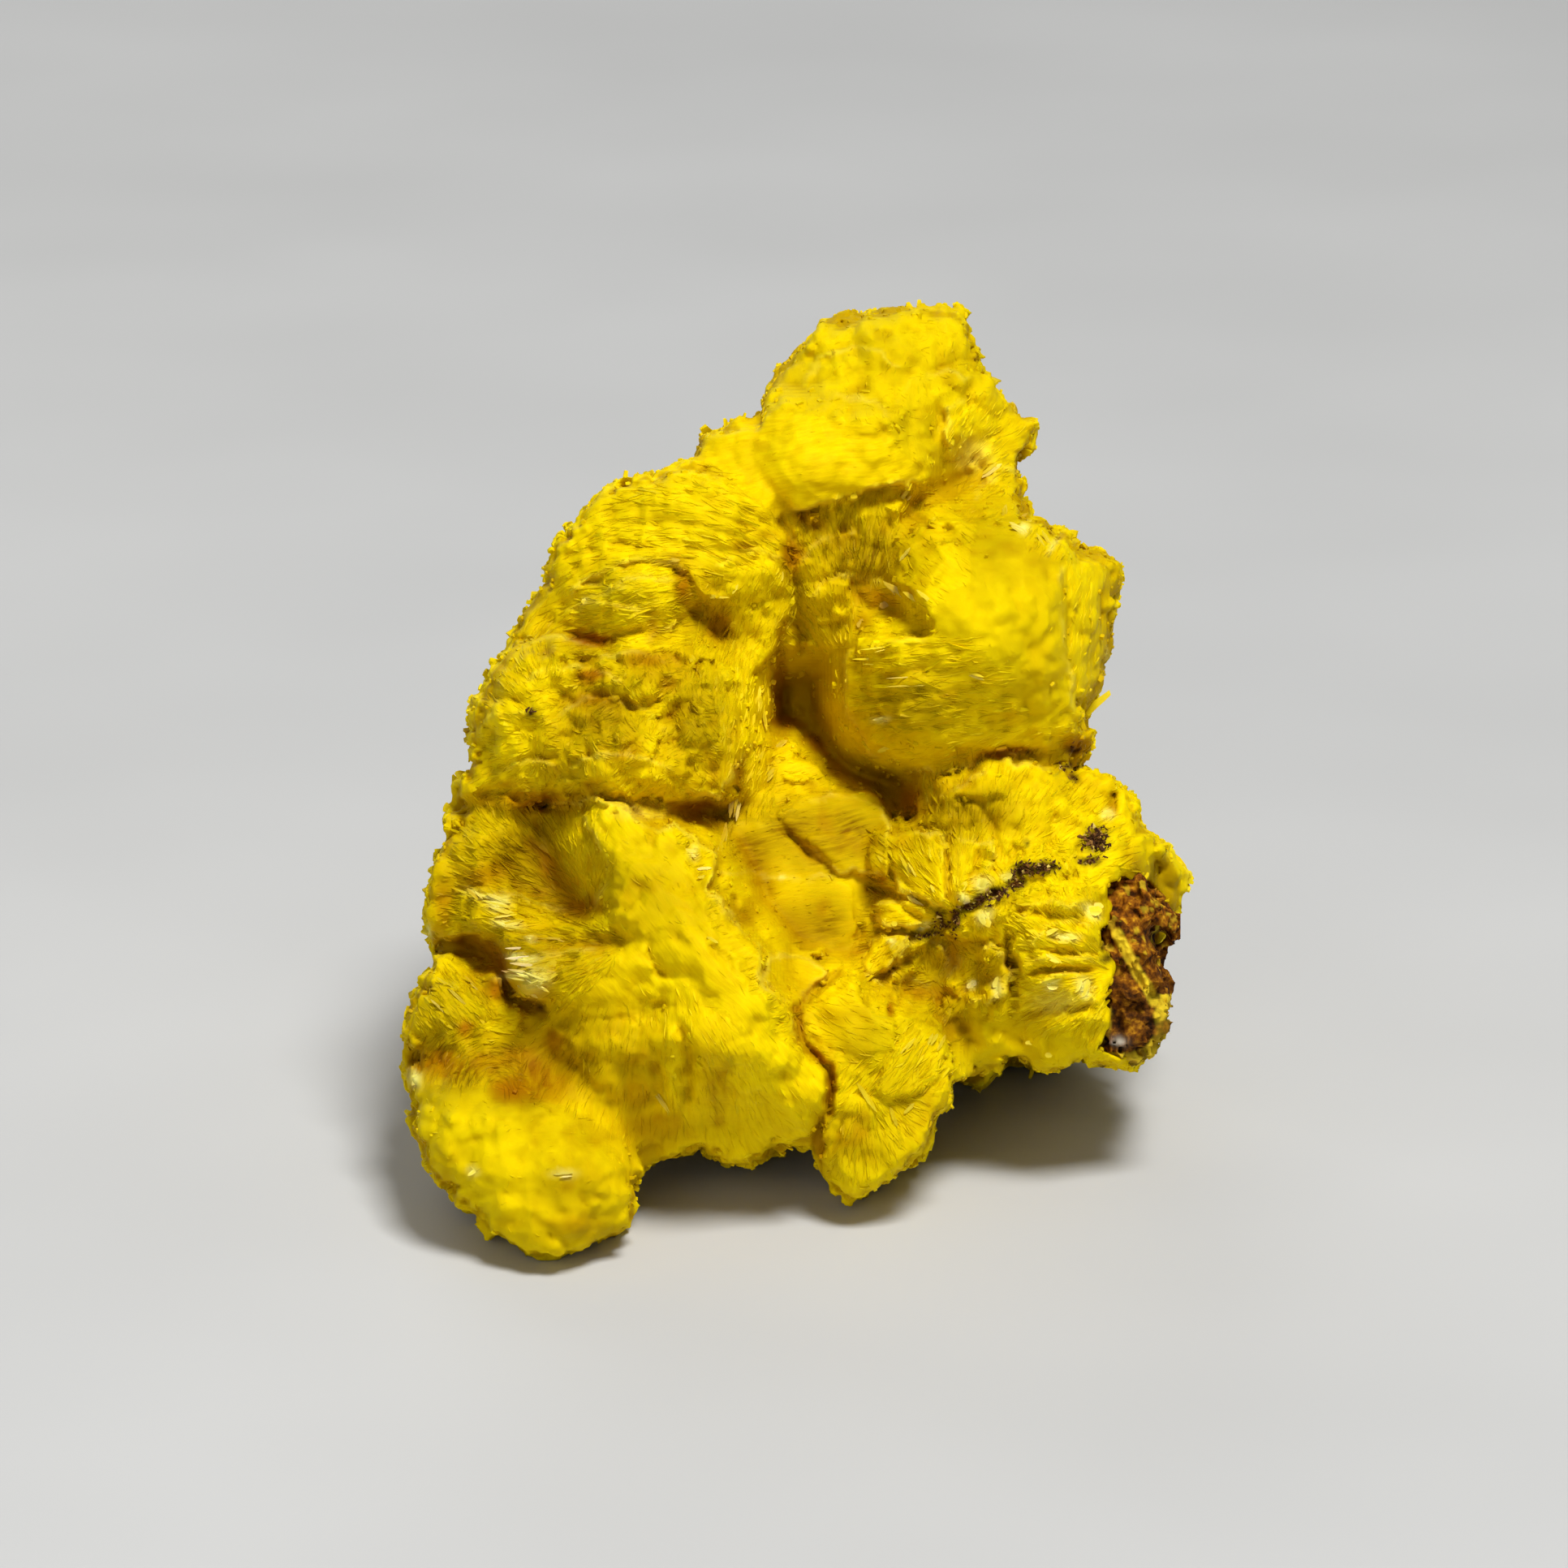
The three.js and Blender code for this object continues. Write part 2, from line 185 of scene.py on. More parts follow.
# ------------------------------------------------------------------ tables
# the outline of the whole specimen from the front, px
OUTLINE = [
    (852, 573), (858, 552), (864, 535), (876, 532), (890, 528), (903, 515), (915, 512), (930, 511), (936, 503), (941, 500),
    (940, 492), (948, 485), (952, 468), (955, 458), (960, 447), (970, 440), (977, 430), (990, 424), (1002, 418), (1011, 410),
    (1014, 400), (1022, 392), (1034, 388), (1046, 380), (1052, 379), (1060, 383), (1075, 385), (1088, 380), (1096, 376), (1105, 379),
    (1118, 381), (1126, 386), (1135, 382), (1147, 384), (1160, 385), (1178, 384), (1186, 391), (1192, 402), (1196, 415), (1200, 430),
    (1205, 432), (1205, 445), (1203, 455), (1214, 463), (1222, 475), (1232, 485), (1243, 494), (1257, 499), (1264, 507), (1266, 520),
    (1275, 527), (1277, 532), (1270, 541), (1270, 553), (1264, 563), (1258, 569), (1257, 580), (1257, 588), (1263, 593), (1262, 603),
    (1260, 613), (1268, 619), (1271, 630), (1271, 639), (1284, 640), (1290, 644), (1296, 651), (1302, 663), (1307, 657), (1313, 657),
    (1317, 662), (1318, 668), (1325, 668), (1331, 671), (1337, 675), (1345, 673), (1352, 677), (1362, 679), (1370, 685), (1380, 688),
    (1381, 696), (1380, 705), (1382, 713), (1381, 728), (1376, 742), (1375, 752), (1376, 772), (1374, 790), (1371, 803), (1367, 818),
    (1364, 830), (1363, 843), (1357, 850), (1350, 858), (1344, 868), (1343, 880), (1343, 895), (1348, 905), (1346, 920), (1340, 935),
    (1334, 947), (1340, 950), (1352, 957), (1365, 962), (1372, 972), (1380, 970), (1387, 978), (1394, 985), (1396, 998), (1404, 1012),
    (1415, 1028), (1430, 1045), (1445, 1062), (1453, 1080), (1456, 1097), (1452, 1115), (1446, 1128), (1446, 1140), (1444, 1150), (1438, 1162),
    (1430, 1172), (1424, 1180), (1424, 1192), (1428, 1200), (1431, 1213), (1430, 1225), (1427, 1238), (1430, 1255), (1430, 1270), (1427, 1283),
    (1420, 1293), (1410, 1305), (1395, 1310), (1380, 1312), (1368, 1317), (1356, 1316), (1345, 1308), (1335, 1303), (1322, 1308), (1312, 1316),
    (1295, 1320), (1275, 1318), (1258, 1312), (1245, 1307), (1235, 1310), (1222, 1320), (1208, 1330), (1195, 1335), (1182, 1336), (1173, 1333),
    (1171, 1345), (1167, 1357), (1158, 1367), (1152, 1375), (1148, 1388), (1145, 1403), (1139, 1418), (1132, 1430), (1118, 1438), (1103, 1448),
    (1088, 1458), (1073, 1465), (1060, 1473), (1047, 1479), (1040, 1473), (1030, 1463), (1022, 1452), (1012, 1447), (1008, 1437), (1005, 1425),
    (1000, 1418), (992, 1416), (980, 1415), (967, 1420), (952, 1425), (940, 1431), (930, 1430), (915, 1436), (903, 1436), (893, 1438),
    (886, 1428), (878, 1428), (870, 1422), (862, 1419), (850, 1423), (838, 1426), (820, 1427), (808, 1430), (795, 1438), (788, 1447),
    (787, 1457), (782, 1463), (782, 1480), (781, 1497), (775, 1510), (762, 1522), (748, 1532), (730, 1538), (712, 1541), (690, 1546),
    (670, 1547), (652, 1546), (638, 1540), (622, 1528), (605, 1518), (592, 1505), (580, 1490), (567, 1480), (552, 1468), (540, 1455),
    (532, 1442), (522, 1425), (514, 1408), (508, 1395), (506, 1378), (505, 1360), (504, 1345), (508, 1337), (500, 1328), (499, 1316),
    (504, 1305), (502, 1280), (500, 1262), (501, 1243), (510, 1232), (518, 1220), (520, 1208), (530, 1198), (540, 1190), (541, 1178),
    (535, 1168), (530, 1158), (528, 1148), (531, 1130), (528, 1115), (531, 1098), (535, 1080), (542, 1060), (550, 1045), (553, 1020),
    (557, 1000), (562, 985), (563, 970), (575, 960), (580, 948), (584, 940), (583, 920), (584, 900), (585, 880), (592, 865),
    (600, 848), (606, 835), (610, 822), (620, 812), (632, 803), (632, 795), (634, 780), (641, 765), (646, 752), (660, 742),
    (662, 728), (672, 718), (669, 708), (670, 699), (680, 688), (685, 673), (690, 663), (698, 663), (703, 655), (714, 650),
    (716, 630), (728, 620), (740, 612), (755, 604), (765, 599), (775, 597), (784, 592), (795, 587), (803, 592), (812, 590),
    (820, 584), (828, 581), (838, 579), (848, 574),
]
# rosettes: name, px, py, depth mm, half width px, half height px, half depth mm, roll
LOBES = [
    ("core1", 960, 850, -5, 215, 290, 2.4, 0),
    ("core2", 930, 1130, -4.2, 270, 215, 2.9, 0),
    ("core3", 1170, 880, -4.4, 170, 200, 2.4, 0),
    ("core4", 800, 980, -3.4, 190, 230, 2.4, 0),
    ("core5", 840, 1230, -1.2, 170, 130, 2.3, 0),
    ("core6", 1075, 1240, -2, 95, 95, 2, 0),
    ("core7", 650, 1310, -0.6, 100, 90, 1.9, 0),
    ("core8", 1200, 1080, -2.6, 120, 150, 2, 0),
    ("core9", 720, 1080, -1.4, 130, 110, 2, 0),
    ("A1", 1095, 500, -2.6, 120, 118, 2.3, 0),
    ("A2", 1140, 450, -3, 62, 70, 1.4, 0),
    ("A3", 1045, 445, -2.9, 62, 60, 1.3, 0),
    ("A4", 1195, 520, -3, 64, 66, 1.5, 20),
    ("A5", 1215, 570, -3.2, 50, 62, 1.4, 0),
    ("A6", 1010, 490, -2.5, 70, 60, 1.5, 0),
    ("A7", 1110, 442, -3.6, 92, 60, 1.6, 0),
    ("A8", 1238, 545, -3.6, 36, 40, 1, 0),
    ("A9", 1225, 622, -3.2, 44, 46, 1.3, 0),
    ("A10", 1165, 630, -3, 70, 60, 1.6, 0),
    ("B1", 985, 570, -0.8, 90, 62, 1.9, 0),
    ("B2", 912, 560, -1.2, 60, 48, 1.5, 0),
    ("B3", 1060, 560, -0.9, 78, 56, 1.7, 0),
    ("B4", 1080, 610, -0.9, 62, 46, 1.5, 0),
    ("D1", 810, 650, -1, 100, 70, 2.2, 15),
    ("D2", 880, 640, -0.6, 90, 62, 2, 0),
    ("D3", 740, 690, -1.4, 66, 70, 1.9, 30),
    ("D4", 790, 735, -0.2, 82, 56, 1.9, 0),
    ("D5", 700, 745, -1.2, 50, 54, 1.5, 40),
    ("D6", 900, 700, -0.6, 80, 56, 1.8, 0),
    ("C1", 1040, 680, -1.2, 90, 66, 1.6, 10),
    ("C2", 1000, 735, -1.5, 60, 56, 1.5, 0),
    ("C3", 1090, 715, -1.6, 60, 56, 1.5, 0),
    ("E1", 700, 860, -0.6, 92, 80, 2.3, 0),
    ("E2", 800, 830, -0.2, 90, 62, 2.2, 0),
    ("E3", 862, 880, -0.3, 66, 78, 2.1, 0),
    ("E4", 780, 930, 0.1, 92, 66, 2.2, 0),
    ("E5", 655, 930, -0.7, 74, 72, 2, 0),
    ("E6", 640, 835, -1.2, 46, 50, 1.5, 0),
    ("E7", 850, 950, -0.2, 58, 50, 1.9, 0),
    ("E8", 615, 990, -1.3, 58, 60, 1.6, 0),
    ("E9", 668, 792, -1.3, 42, 50, 1.3, 0),
    ("F1", 628, 1060, -0.9, 86, 72, 1.9, 0),
    ("F2", 590, 1130, -1.2, 60, 66, 1.6, 0),
    ("F3", 670, 1120, -0.7, 80, 60, 1.6, 0),
    ("G1", 770, 1050, 0.8, 74, 52, 2.1, 0),
    ("G2", 820, 1110, 0.9, 76, 82, 2.4, 0),
    ("G3", 865, 1180, 1.2, 86, 88, 2.6, 0),
    ("G4", 910, 1260, 1.3, 80, 88, 2.6, 0),
    ("G5", 955, 1340, 1, 66, 76, 2.3, 0),
    ("G6", 760, 1210, 1, 96, 80, 2.6, 0),
    ("G7", 850, 1040, 0.3, 36, 40, 1.6, 0),
    ("G8", 930, 1210, 0.6, 56, 56, 2, 0),
    ("I1", 560, 1240, -0.2, 60, 62, 1.8, 0),
    ("I2", 620, 1260, 0.2, 66, 56, 1.9, 0),
    ("I3", 546, 1292, -0.4, 46, 52, 1.6, 0),
    ("J1", 760, 1320, 0.6, 110, 90, 2.4, 0),
    ("J2", 860, 1350, 0.7, 96, 80, 2.2, 0),
    ("J3", 920, 1385, 0.3, 66, 50, 1.7, 0),
    ("J4", 815, 1385, 0.3, 62, 42, 1.6, 0),
    ("H1", 620, 1410, 1.9, 114, 94, 2.2, 0),
    ("H2", 680, 1460, 2.6, 100, 86, 1.8, 0),
    ("H3", 600, 1360, 0.9, 90, 62, 2.1, 0),
    ("H4", 720, 1400, 1.2, 76, 70, 2.1, 0),
    ("H5", 733, 1475, 2, 54, 56, 1.4, 0),
    ("K1", 1070, 1260, 0.4, 96, 76, 2.1, 0),
    ("K2", 1095, 1345, 0.3, 80, 84, 1.9, 0),
    ("K3", 1052, 1416, 0, 48, 74, 1.4, 0),
    ("K4", 1130, 1290, -0.2, 44, 80, 1.6, 0),
    ("K5", 985, 1215, -0.1, 44, 44, 1.6, 0),
    ("K6", 1090, 1400, 0.3, 60, 60, 1.4, 35),
    ("L1", 1010, 1040, -2, 96, 82, 1.6, 0),
    ("L2", 960, 1100, -1.8, 80, 70, 1.6, 0),
    ("L3", 1030, 1130, -1.7, 80, 66, 1.6, 0),
    ("L4", 1000, 960, -3.2, 80, 50, 1.5, 0),
    ("M1", 912, 950, -1.8, 34, 60, 1.4, 0),
    ("N1", 1190, 780, -0.2, 120, 104, 2.7, 0),
    ("N2", 1150, 850, -0.6, 108, 90, 2.3, 0),
    ("N3", 1260, 760, -0.8, 100, 110, 2.4, 0),
    ("N4", 1320, 740, -2, 60, 68, 1.4, 0),
    ("N5", 1318, 820, -2.2, 52, 100, 1.2, 0),
    ("N6", 1250, 870, -1.6, 90, 72, 2, 0),
    ("N7", 1180, 690, -1.2, 76, 60, 1.8, 0),
    ("N8", 1318, 900, -2.4, 28, 46, 0.8, 0),
    ("N9", 1345, 705, -2.3, 36, 34, 0.9, 0),
    ("O1", 1240, 1010, -0.8, 110, 78, 2.2, 0),
    ("O2", 1180, 1100, -0.4, 88, 90, 2, 0),
    ("O3", 1270, 1120, -0.2, 92, 80, 2.1, 0),
    ("O4", 1340, 1060, -1, 66, 80, 1.9, 0),
    ("O5", 1300, 1220, -0.4, 88, 82, 2.1, 0),
    ("O6", 1200, 1215, -0.8, 80, 84, 1.9, 0),
    ("O7", 1358, 990, -1.6, 44, 34, 1.4, 0),
    ("O8", 1160, 980, -1.2, 60, 50, 1.6, 0),
    ("P1", 1402, 1085, -3.4, 54, 66, 1.6, 0),
    ("P2", 1300, 1040, -3.8, 90, 110, 1.8, 0),
    ("Q1", 1235, 1235, -5, 90, 96, 2.2, 0),
    ("Q3", 1240, 1262, -6.4, 74, 72, 2, 0),
    ("Q2", 1320, 1190, -4.2, 84, 84, 1.8, 0),
    ("R1", 840, 1260, -4.6, 110, 88, 2, 0),
    ("R3", 815, 1290, -5.8, 72, 60, 1.8, 0),
    ("R2", 700, 1180, -3.6, 120, 110, 2.2, 0),
    ("S1", 1075, 560, -4, 110, 110, 1.8, 0),
    ("S2", 930, 620, -4.4, 90, 80, 2, 0),
    ("S3", 790, 730, -4, 100, 90, 2, 0),
    ("S4", 960, 800, -5.6, 140, 110, 1.7, 0),
    ("S5", 1180, 780, -5, 140, 120, 2, 0),
    ("S6", 730, 930, -4.2, 120, 120, 2.2, 0),
    ("S7", 880, 1030, -5.8, 150, 120, 1.8, 0),
    ("S8", 1120, 1010, -5.8, 150, 120, 1.9, 0),
    ("S9", 1010, 1200, -6, 130, 100, 1.9, 0),
    ("S10", 1080, 680, -4.8, 110, 90, 1.6, 0),
]
CRUMB = [
    ("X1", 1388, 1150, -0.7, 46, 76, 1.5, 0),
    ("X2", 1386, 1235, -0.6, 46, 74, 1.4, 0),
    ("X3", 1392, 1190, -1.2, 42, 90, 1.6, 0),
]
EXTRA = [
    ("J5", 935, 1392, 0.3, 78, 46, 1.6, 0),
    ("J6", 870, 1390, 0.5, 60, 42, 1.6, 0),
    ("J7", 980, 1385, 0.2, 42, 46, 1.5, 0),
    ("J8", 700, 1330, 0.4, 80, 80, 2.1, 0),
    ("L5", 962, 932, -2.4, 52, 46, 1.3, 0),
    ("L6", 930, 1010, -1.9, 60, 62, 1.5, 0),
    ("L7", 1040, 1050, -1.7, 72, 84, 1.5, 0),
    ("L8", 960, 1190, -1.7, 60, 50, 1.5, 0),
    ("L9", 1075, 1150, -1.6, 50, 70, 1.4, 0),
    ("P3", 1395, 1100, -3.3, 66, 76, 1.6, 0),
    ("P4", 1372, 1040, -3.0, 50, 60, 1.6, 0),
    ("Q4", 1215, 1262, -4.6, 76, 74, 2.0, 0),
    ("Q5", 1290, 1262, -4.4, 70, 62, 1.8, 0),
    ("I4", 522, 1330, -0.2, 34, 34, 1.2, 0),
    ("F4", 560, 1090, -1.3, 40, 56, 1.4, 0),
    ("E10", 612, 905, -1.4, 44, 60, 1.5, 0),
    ("D7", 935, 760, -1.2, 60, 70, 1.6, 0),
    ("D8", 925, 830, -1.2, 50, 60, 1.6, 0),
    ("C4", 1060, 770, -2.2, 60, 44, 1.4, 0),
    ("N10", 1345, 740, -2.4, 44, 60, 1.1, 0),
    ("O9", 1135, 1060, -0.9, 58, 60, 1.4, 0),
    ("O10", 1110, 1180, -0.7, 60, 54, 1.5, 0),
    ("O11", 1200, 990, -1.4, 80, 52, 1.5, 0),
    ("O12", 1310, 985, -1.7, 74, 46, 1.5, 0),
    ("O13", 1372, 1012, -1.8, 34, 42, 1.3, 0),
    ("C5", 1010, 700, -1.9, 84, 104, 1.7, 0),
    ("K7", 1034, 1305, 0.2, 60, 66, 1.9, 0),
    ("K8", 1040, 1375, 0.3, 54, 84, 1.7, 0),
    ("K9", 1140, 1325, 0.1, 46, 84, 1.7, 0),
    ("K10", 1115, 1395, 0.2, 56, 62, 1.6, 0),
    ("core8", 585, 1172, -2.7, 84, 78, 1.7, 0),
    ("core9", 600, 1190, -1.8, 54, 54, 1.5, 0),
    ("F7", 690, 1190, 0.3, 80, 60, 2.0, 0),
    ("O14", 1396, 1228, -1.9, 42, 84, 1.2, 0),
    ("O15", 1378, 1290, -1.5, 52, 28, 1.2, 0),
    ("O16", 1340, 1265, -0.8, 56, 54, 1.7, 0),
    ("G9", 900, 1150, 1.0, 60, 90, 2.4, -30),
    ("G10", 985, 1330, 0.8, 44, 60, 2.0, 0),
    ("J9", 640, 1300, 0.2, 90, 70, 2.0, 0),
    ("X4", 1404, 1140, -1.0, 38, 44, 1.2, 0),
    ("X5", 1398, 1262, -0.8, 36, 44, 1.2, 0),
]
LOBES += [r for r in EXTRA if r[0][0] != "X"]
CRUMB += [r for r in EXTRA if r[0][0] == "X"]

# edges of the rosettes that stand in front of what lies behind them, px
TRIM = {
    "G": [(690, 1040), (700, 1010), (735, 990), (750, 985), (760, 995), (790, 1000), (800, 1015), (808, 1028),
          (816, 1024), (826, 1017), (836, 1007), (843, 1012), (848, 1025), (857, 1028), (866, 1040), (876, 1048),
          (884, 1055), (886, 1070), (890, 1085), (893, 1100), (899, 1125), (905, 1140), (915, 1150), (922, 1152),
          (933, 1163), (940, 1175), (942, 1190), (941, 1205), (949, 1220), (960, 1232), (970, 1238), (977, 1243),
          (980, 1252), (981, 1265), (978, 1275), (977, 1290), (990, 1302), (1004, 1311), (1015, 1319), (1016, 1335),
          (1014, 1350), (1011, 1365), (1004, 1373), (1003, 1385), (1001, 1400), (1002, 1430), (960, 1500), (700, 1500),
          (560, 1420), (560, 1300), (600, 1236), (640, 1235), (624, 1205), (624, 1175), (625, 1160), (600, 1150),
          (590, 1120), (600, 1100), (640, 1080)],
    "E": [(540, 760), (700, 700), (960, 740), (953, 800), (949, 830), (944, 850), (945, 895), (938, 910), (925, 935),
          (915, 945), (905, 965), (895, 970), (890, 985), (870, 978), (850, 980), (836, 985), (832, 995), (815, 1017),
          (806, 1027), (800, 1012), (790, 1003), (760, 1000), (700, 1000), (640, 1002), (600, 1000), (540, 1010)],
    "N": [(1043, 797), (1040, 815), (1036, 840), (1038, 860), (1042, 875), (1053, 885), (1058, 900), (1064, 920),
          (1064, 937), (1085, 945), (1100, 952), (1133, 955), (1150, 960), (1188, 953), (1207, 938), (1235, 928),
          (1275, 932), (1300, 950), (1345, 960), (1420, 900), (1420, 640), (1290, 590), (1180, 590), (1130, 640),
          (1112, 690), (1096, 716), (1120, 728), (1152, 745), (1156, 770), (1150, 782), (1100, 782), (1060, 790)],
    "B": [(800, 500), (1150, 480), (1160, 590), (1130, 597), (1118, 603), (1100, 603), (1085, 600), (1070, 598),
          (1060, 604), (1045, 612), (1038, 620), (1020, 624), (1000, 624), (985, 630), (970, 630), (958, 640),
          (945, 650), (900, 620), (850, 575)],
    "D": [(600, 830), (600, 540), (852, 540), (852, 573), (865, 582), (880, 588), (893, 592), (910, 600), (935, 612),
          (955, 625), (962, 640), (975, 650), (985, 668), (988, 700), (975, 720), (968, 760), (962, 800), (900, 840),
          (640, 840)],
    "K5": [(938, 1176), (950, 1173), (960, 1172), (975, 1174), (988, 1179), (1000, 1182), (1015, 1187), (1030, 1192),
           (1036, 1198), (1022, 1211), (1007, 1222), (995, 1232), (987, 1240), (980, 1246), (963, 1242), (945, 1228),
           (935, 1210), (932, 1195)],
    "K": [(1026, 1206), (1040, 1199), (1051, 1196), (1057, 1225), (1068, 1242), (1095, 1247), (1100, 1251), (1130, 1250),
          (1150, 1252), (1160, 1265), (1165, 1280), (1172, 1300), (1190, 1500), (990, 1500), (998, 1420),
          (990, 1390), (992, 1340), (990, 1310), (975, 1290), (972, 1262), (974, 1247), (985, 1236), (1006, 1220)],
    "O": [(1088, 1035), (1096, 1029), (1110, 1028), (1130, 1022), (1126, 1000), (1135, 965), (1160, 962), (1186, 952),
          (1205, 938), (1235, 927), (1265, 929), (1290, 943), (1310, 953), (1340, 945), (1420, 940), (1500, 1100),
          (1480, 1345), (1330, 1345), (1250, 1320), (1170, 1290), (1150, 1256), (1100, 1251), (1062, 1237),
          (1060, 1215), (1076, 1205), (1061, 1190), (1075, 1168), (1086, 1150), (1082, 1130), (1079, 1115),
          (1095, 1105), (1102, 1093), (1092, 1060), (1086, 1045)],
    "L": [(880, 1260), (878, 1060), (888, 1010), (893, 985), (905, 965), (922, 935), (938, 905), (947, 897),
          (960, 893), (983, 897), (990, 905), (987, 925), (1000, 933), (1012, 945), (1015, 958), (1020, 972),
          (1045, 977), (1065, 975), (1085, 984), (1098, 1000), (1102, 1012), (1120, 1100), (1120, 1260)],
    "F": [(540, 955), (600, 985), (640, 1000), (700, 1000), (770, 1000), (800, 1100), (760, 1250), (680, 1240),
          (650, 1240), (632, 1228), (627, 1205), (628, 1180), (604, 1157), (590, 1150), (570, 1150), (552, 1160),
          (545, 1178), (500, 1180), (500, 1000)],
    "I": [(480, 1180), (545, 1180), (565, 1188), (592, 1202), (604, 1230), (622, 1243), (655, 1252), (650, 1290),
          (600, 1335), (560, 1350), (480, 1350)],
}

# large hollows and swells of the front: px, py, radii px, turn deg, height mm
SWELL = [
    (676, 1074, 60, 46, -35, -0.95), (716, 1116, 26, 16, 0, -0.6), (738, 1160, 34, 13, 0, -0.45),
    (612, 1122, 34, 26, 20, 0.45), (648, 1203, 30, 30, 0, 0.55), (595, 1060, 30, 40, 0, 0.1),
    (1092, 756, 40, 20, 0, -0.1), (1172, 600, 30, 32, -20, -0.2), (1053, 431, 17, 12, 0, -0.12),
    (1013, 529, 26, 16, 0, -0.10), (940, 545, 26, 26, 0, -0.14), (735, 722, 17, 14, 0, -0.18),
    (1000, 870, 46, 64, 0, -0.2), (962, 850, 9, 56, 0, -0.5), (970, 893, 30, 12, -10, -0.7),
    (862, 1000, 30, 12, 0, -0.6), (1165, 1195, 66, 40, 0, -0.55), (690, 1300, 80, 56, 0, -0.6),
    (860, 1395, 120, 30, 0, -0.6), (790, 1385, 44, 40, 0, -0.5), (870, 1190, 110, 46, -50, 0.35),
    (880, 780, 46, 50, 0, -0.12), (800, 728, 52, 26, 0, 0.25), (925, 1135, 20, 30, 50, -0.4),
    (1350, 790, 26, 90, 0, -0.25), (1130, 985, 26, 22, 0, -0.5), (625, 1340, 50, 22, 0, -0.35),
    (545, 1310, 30, 20, 0, -0.25), (1170, 1270, 30, 26, 0, -0.4), (640, 850, 40, 40, 0, 0.25), (790, 860, 40, 40, 0, -0.05),
    (735, 920, 60, 40, 0, 0.15), (860, 900, 30, 50, 0, 0.15), (690, 850, 26, 20, 0, -0.25), (1260, 720, 70, 60, 0, 0.15),
    (1300, 1150, 60, 60, 0, 0.2), (1320, 1230, 40, 40, 0, 0.1), (1260, 1260, 40, 30, 0, -0.3),
]
# where the gaps between the forms stay deep: px, py, half widths, turn, depth in mm
HOLLOW = [
    (985, 850, 34, 52, 0, 0.08), (964, 850, 10, 50, 0, 0.1), (1040, 955, 40, 24, -30, -0.16), (1100, 750, 46, 24, 0, -0.5), (572, 1172, 28, 18, 0, -0.16), (905, 765, 24, 30, 0, -0.12),
    (560, 1172, 30, 20, 0, 0.1), (625, 1222, 50, 18, -35, 0.25), (1130, 990, 40, 14, 20, 0.1),
    (866, 1000, 30, 14, 0, 0.2), (650, 1330, 40, 60, 20, 0.3), (1165, 1225, 20, 50, 0, 0.4), (1170, 610, 20, 26, 0, 0.05),
    (1090, 650, 60, 14, 15, 0.05), (760, 1420, 60, 40, 0, 0.3), (985, 1050, 14, 60, 20, 0.2), (1200, 1260, 40, 30, 0, 0.3),
]
# the line between the upper and the lower mass
SPLIT = [(440, 300), (1520, 300), (1520, 905), (1380, 925), (1300, 942), (1190, 975), (1120, 1010), (1040, 1012),
         (950, 1000), (900, 965), (830, 966), (760, 985), (700, 992), (620, 985), (540, 972), (440, 975)]
# planes to lean: polygon, mm per mm to the right, mm per mm downward, soft px
LEAN = [
    ([(640, 1240), (900, 1230), (1010, 1320), (1000, 1440), (780, 1440), (700, 1400)], 0.0, -0.62, 70),
    ([(940, 640), (1060, 600), (1140, 600), (1100, 720), (1050, 800), (950, 800)], 0.0, -0.25, 40),
]
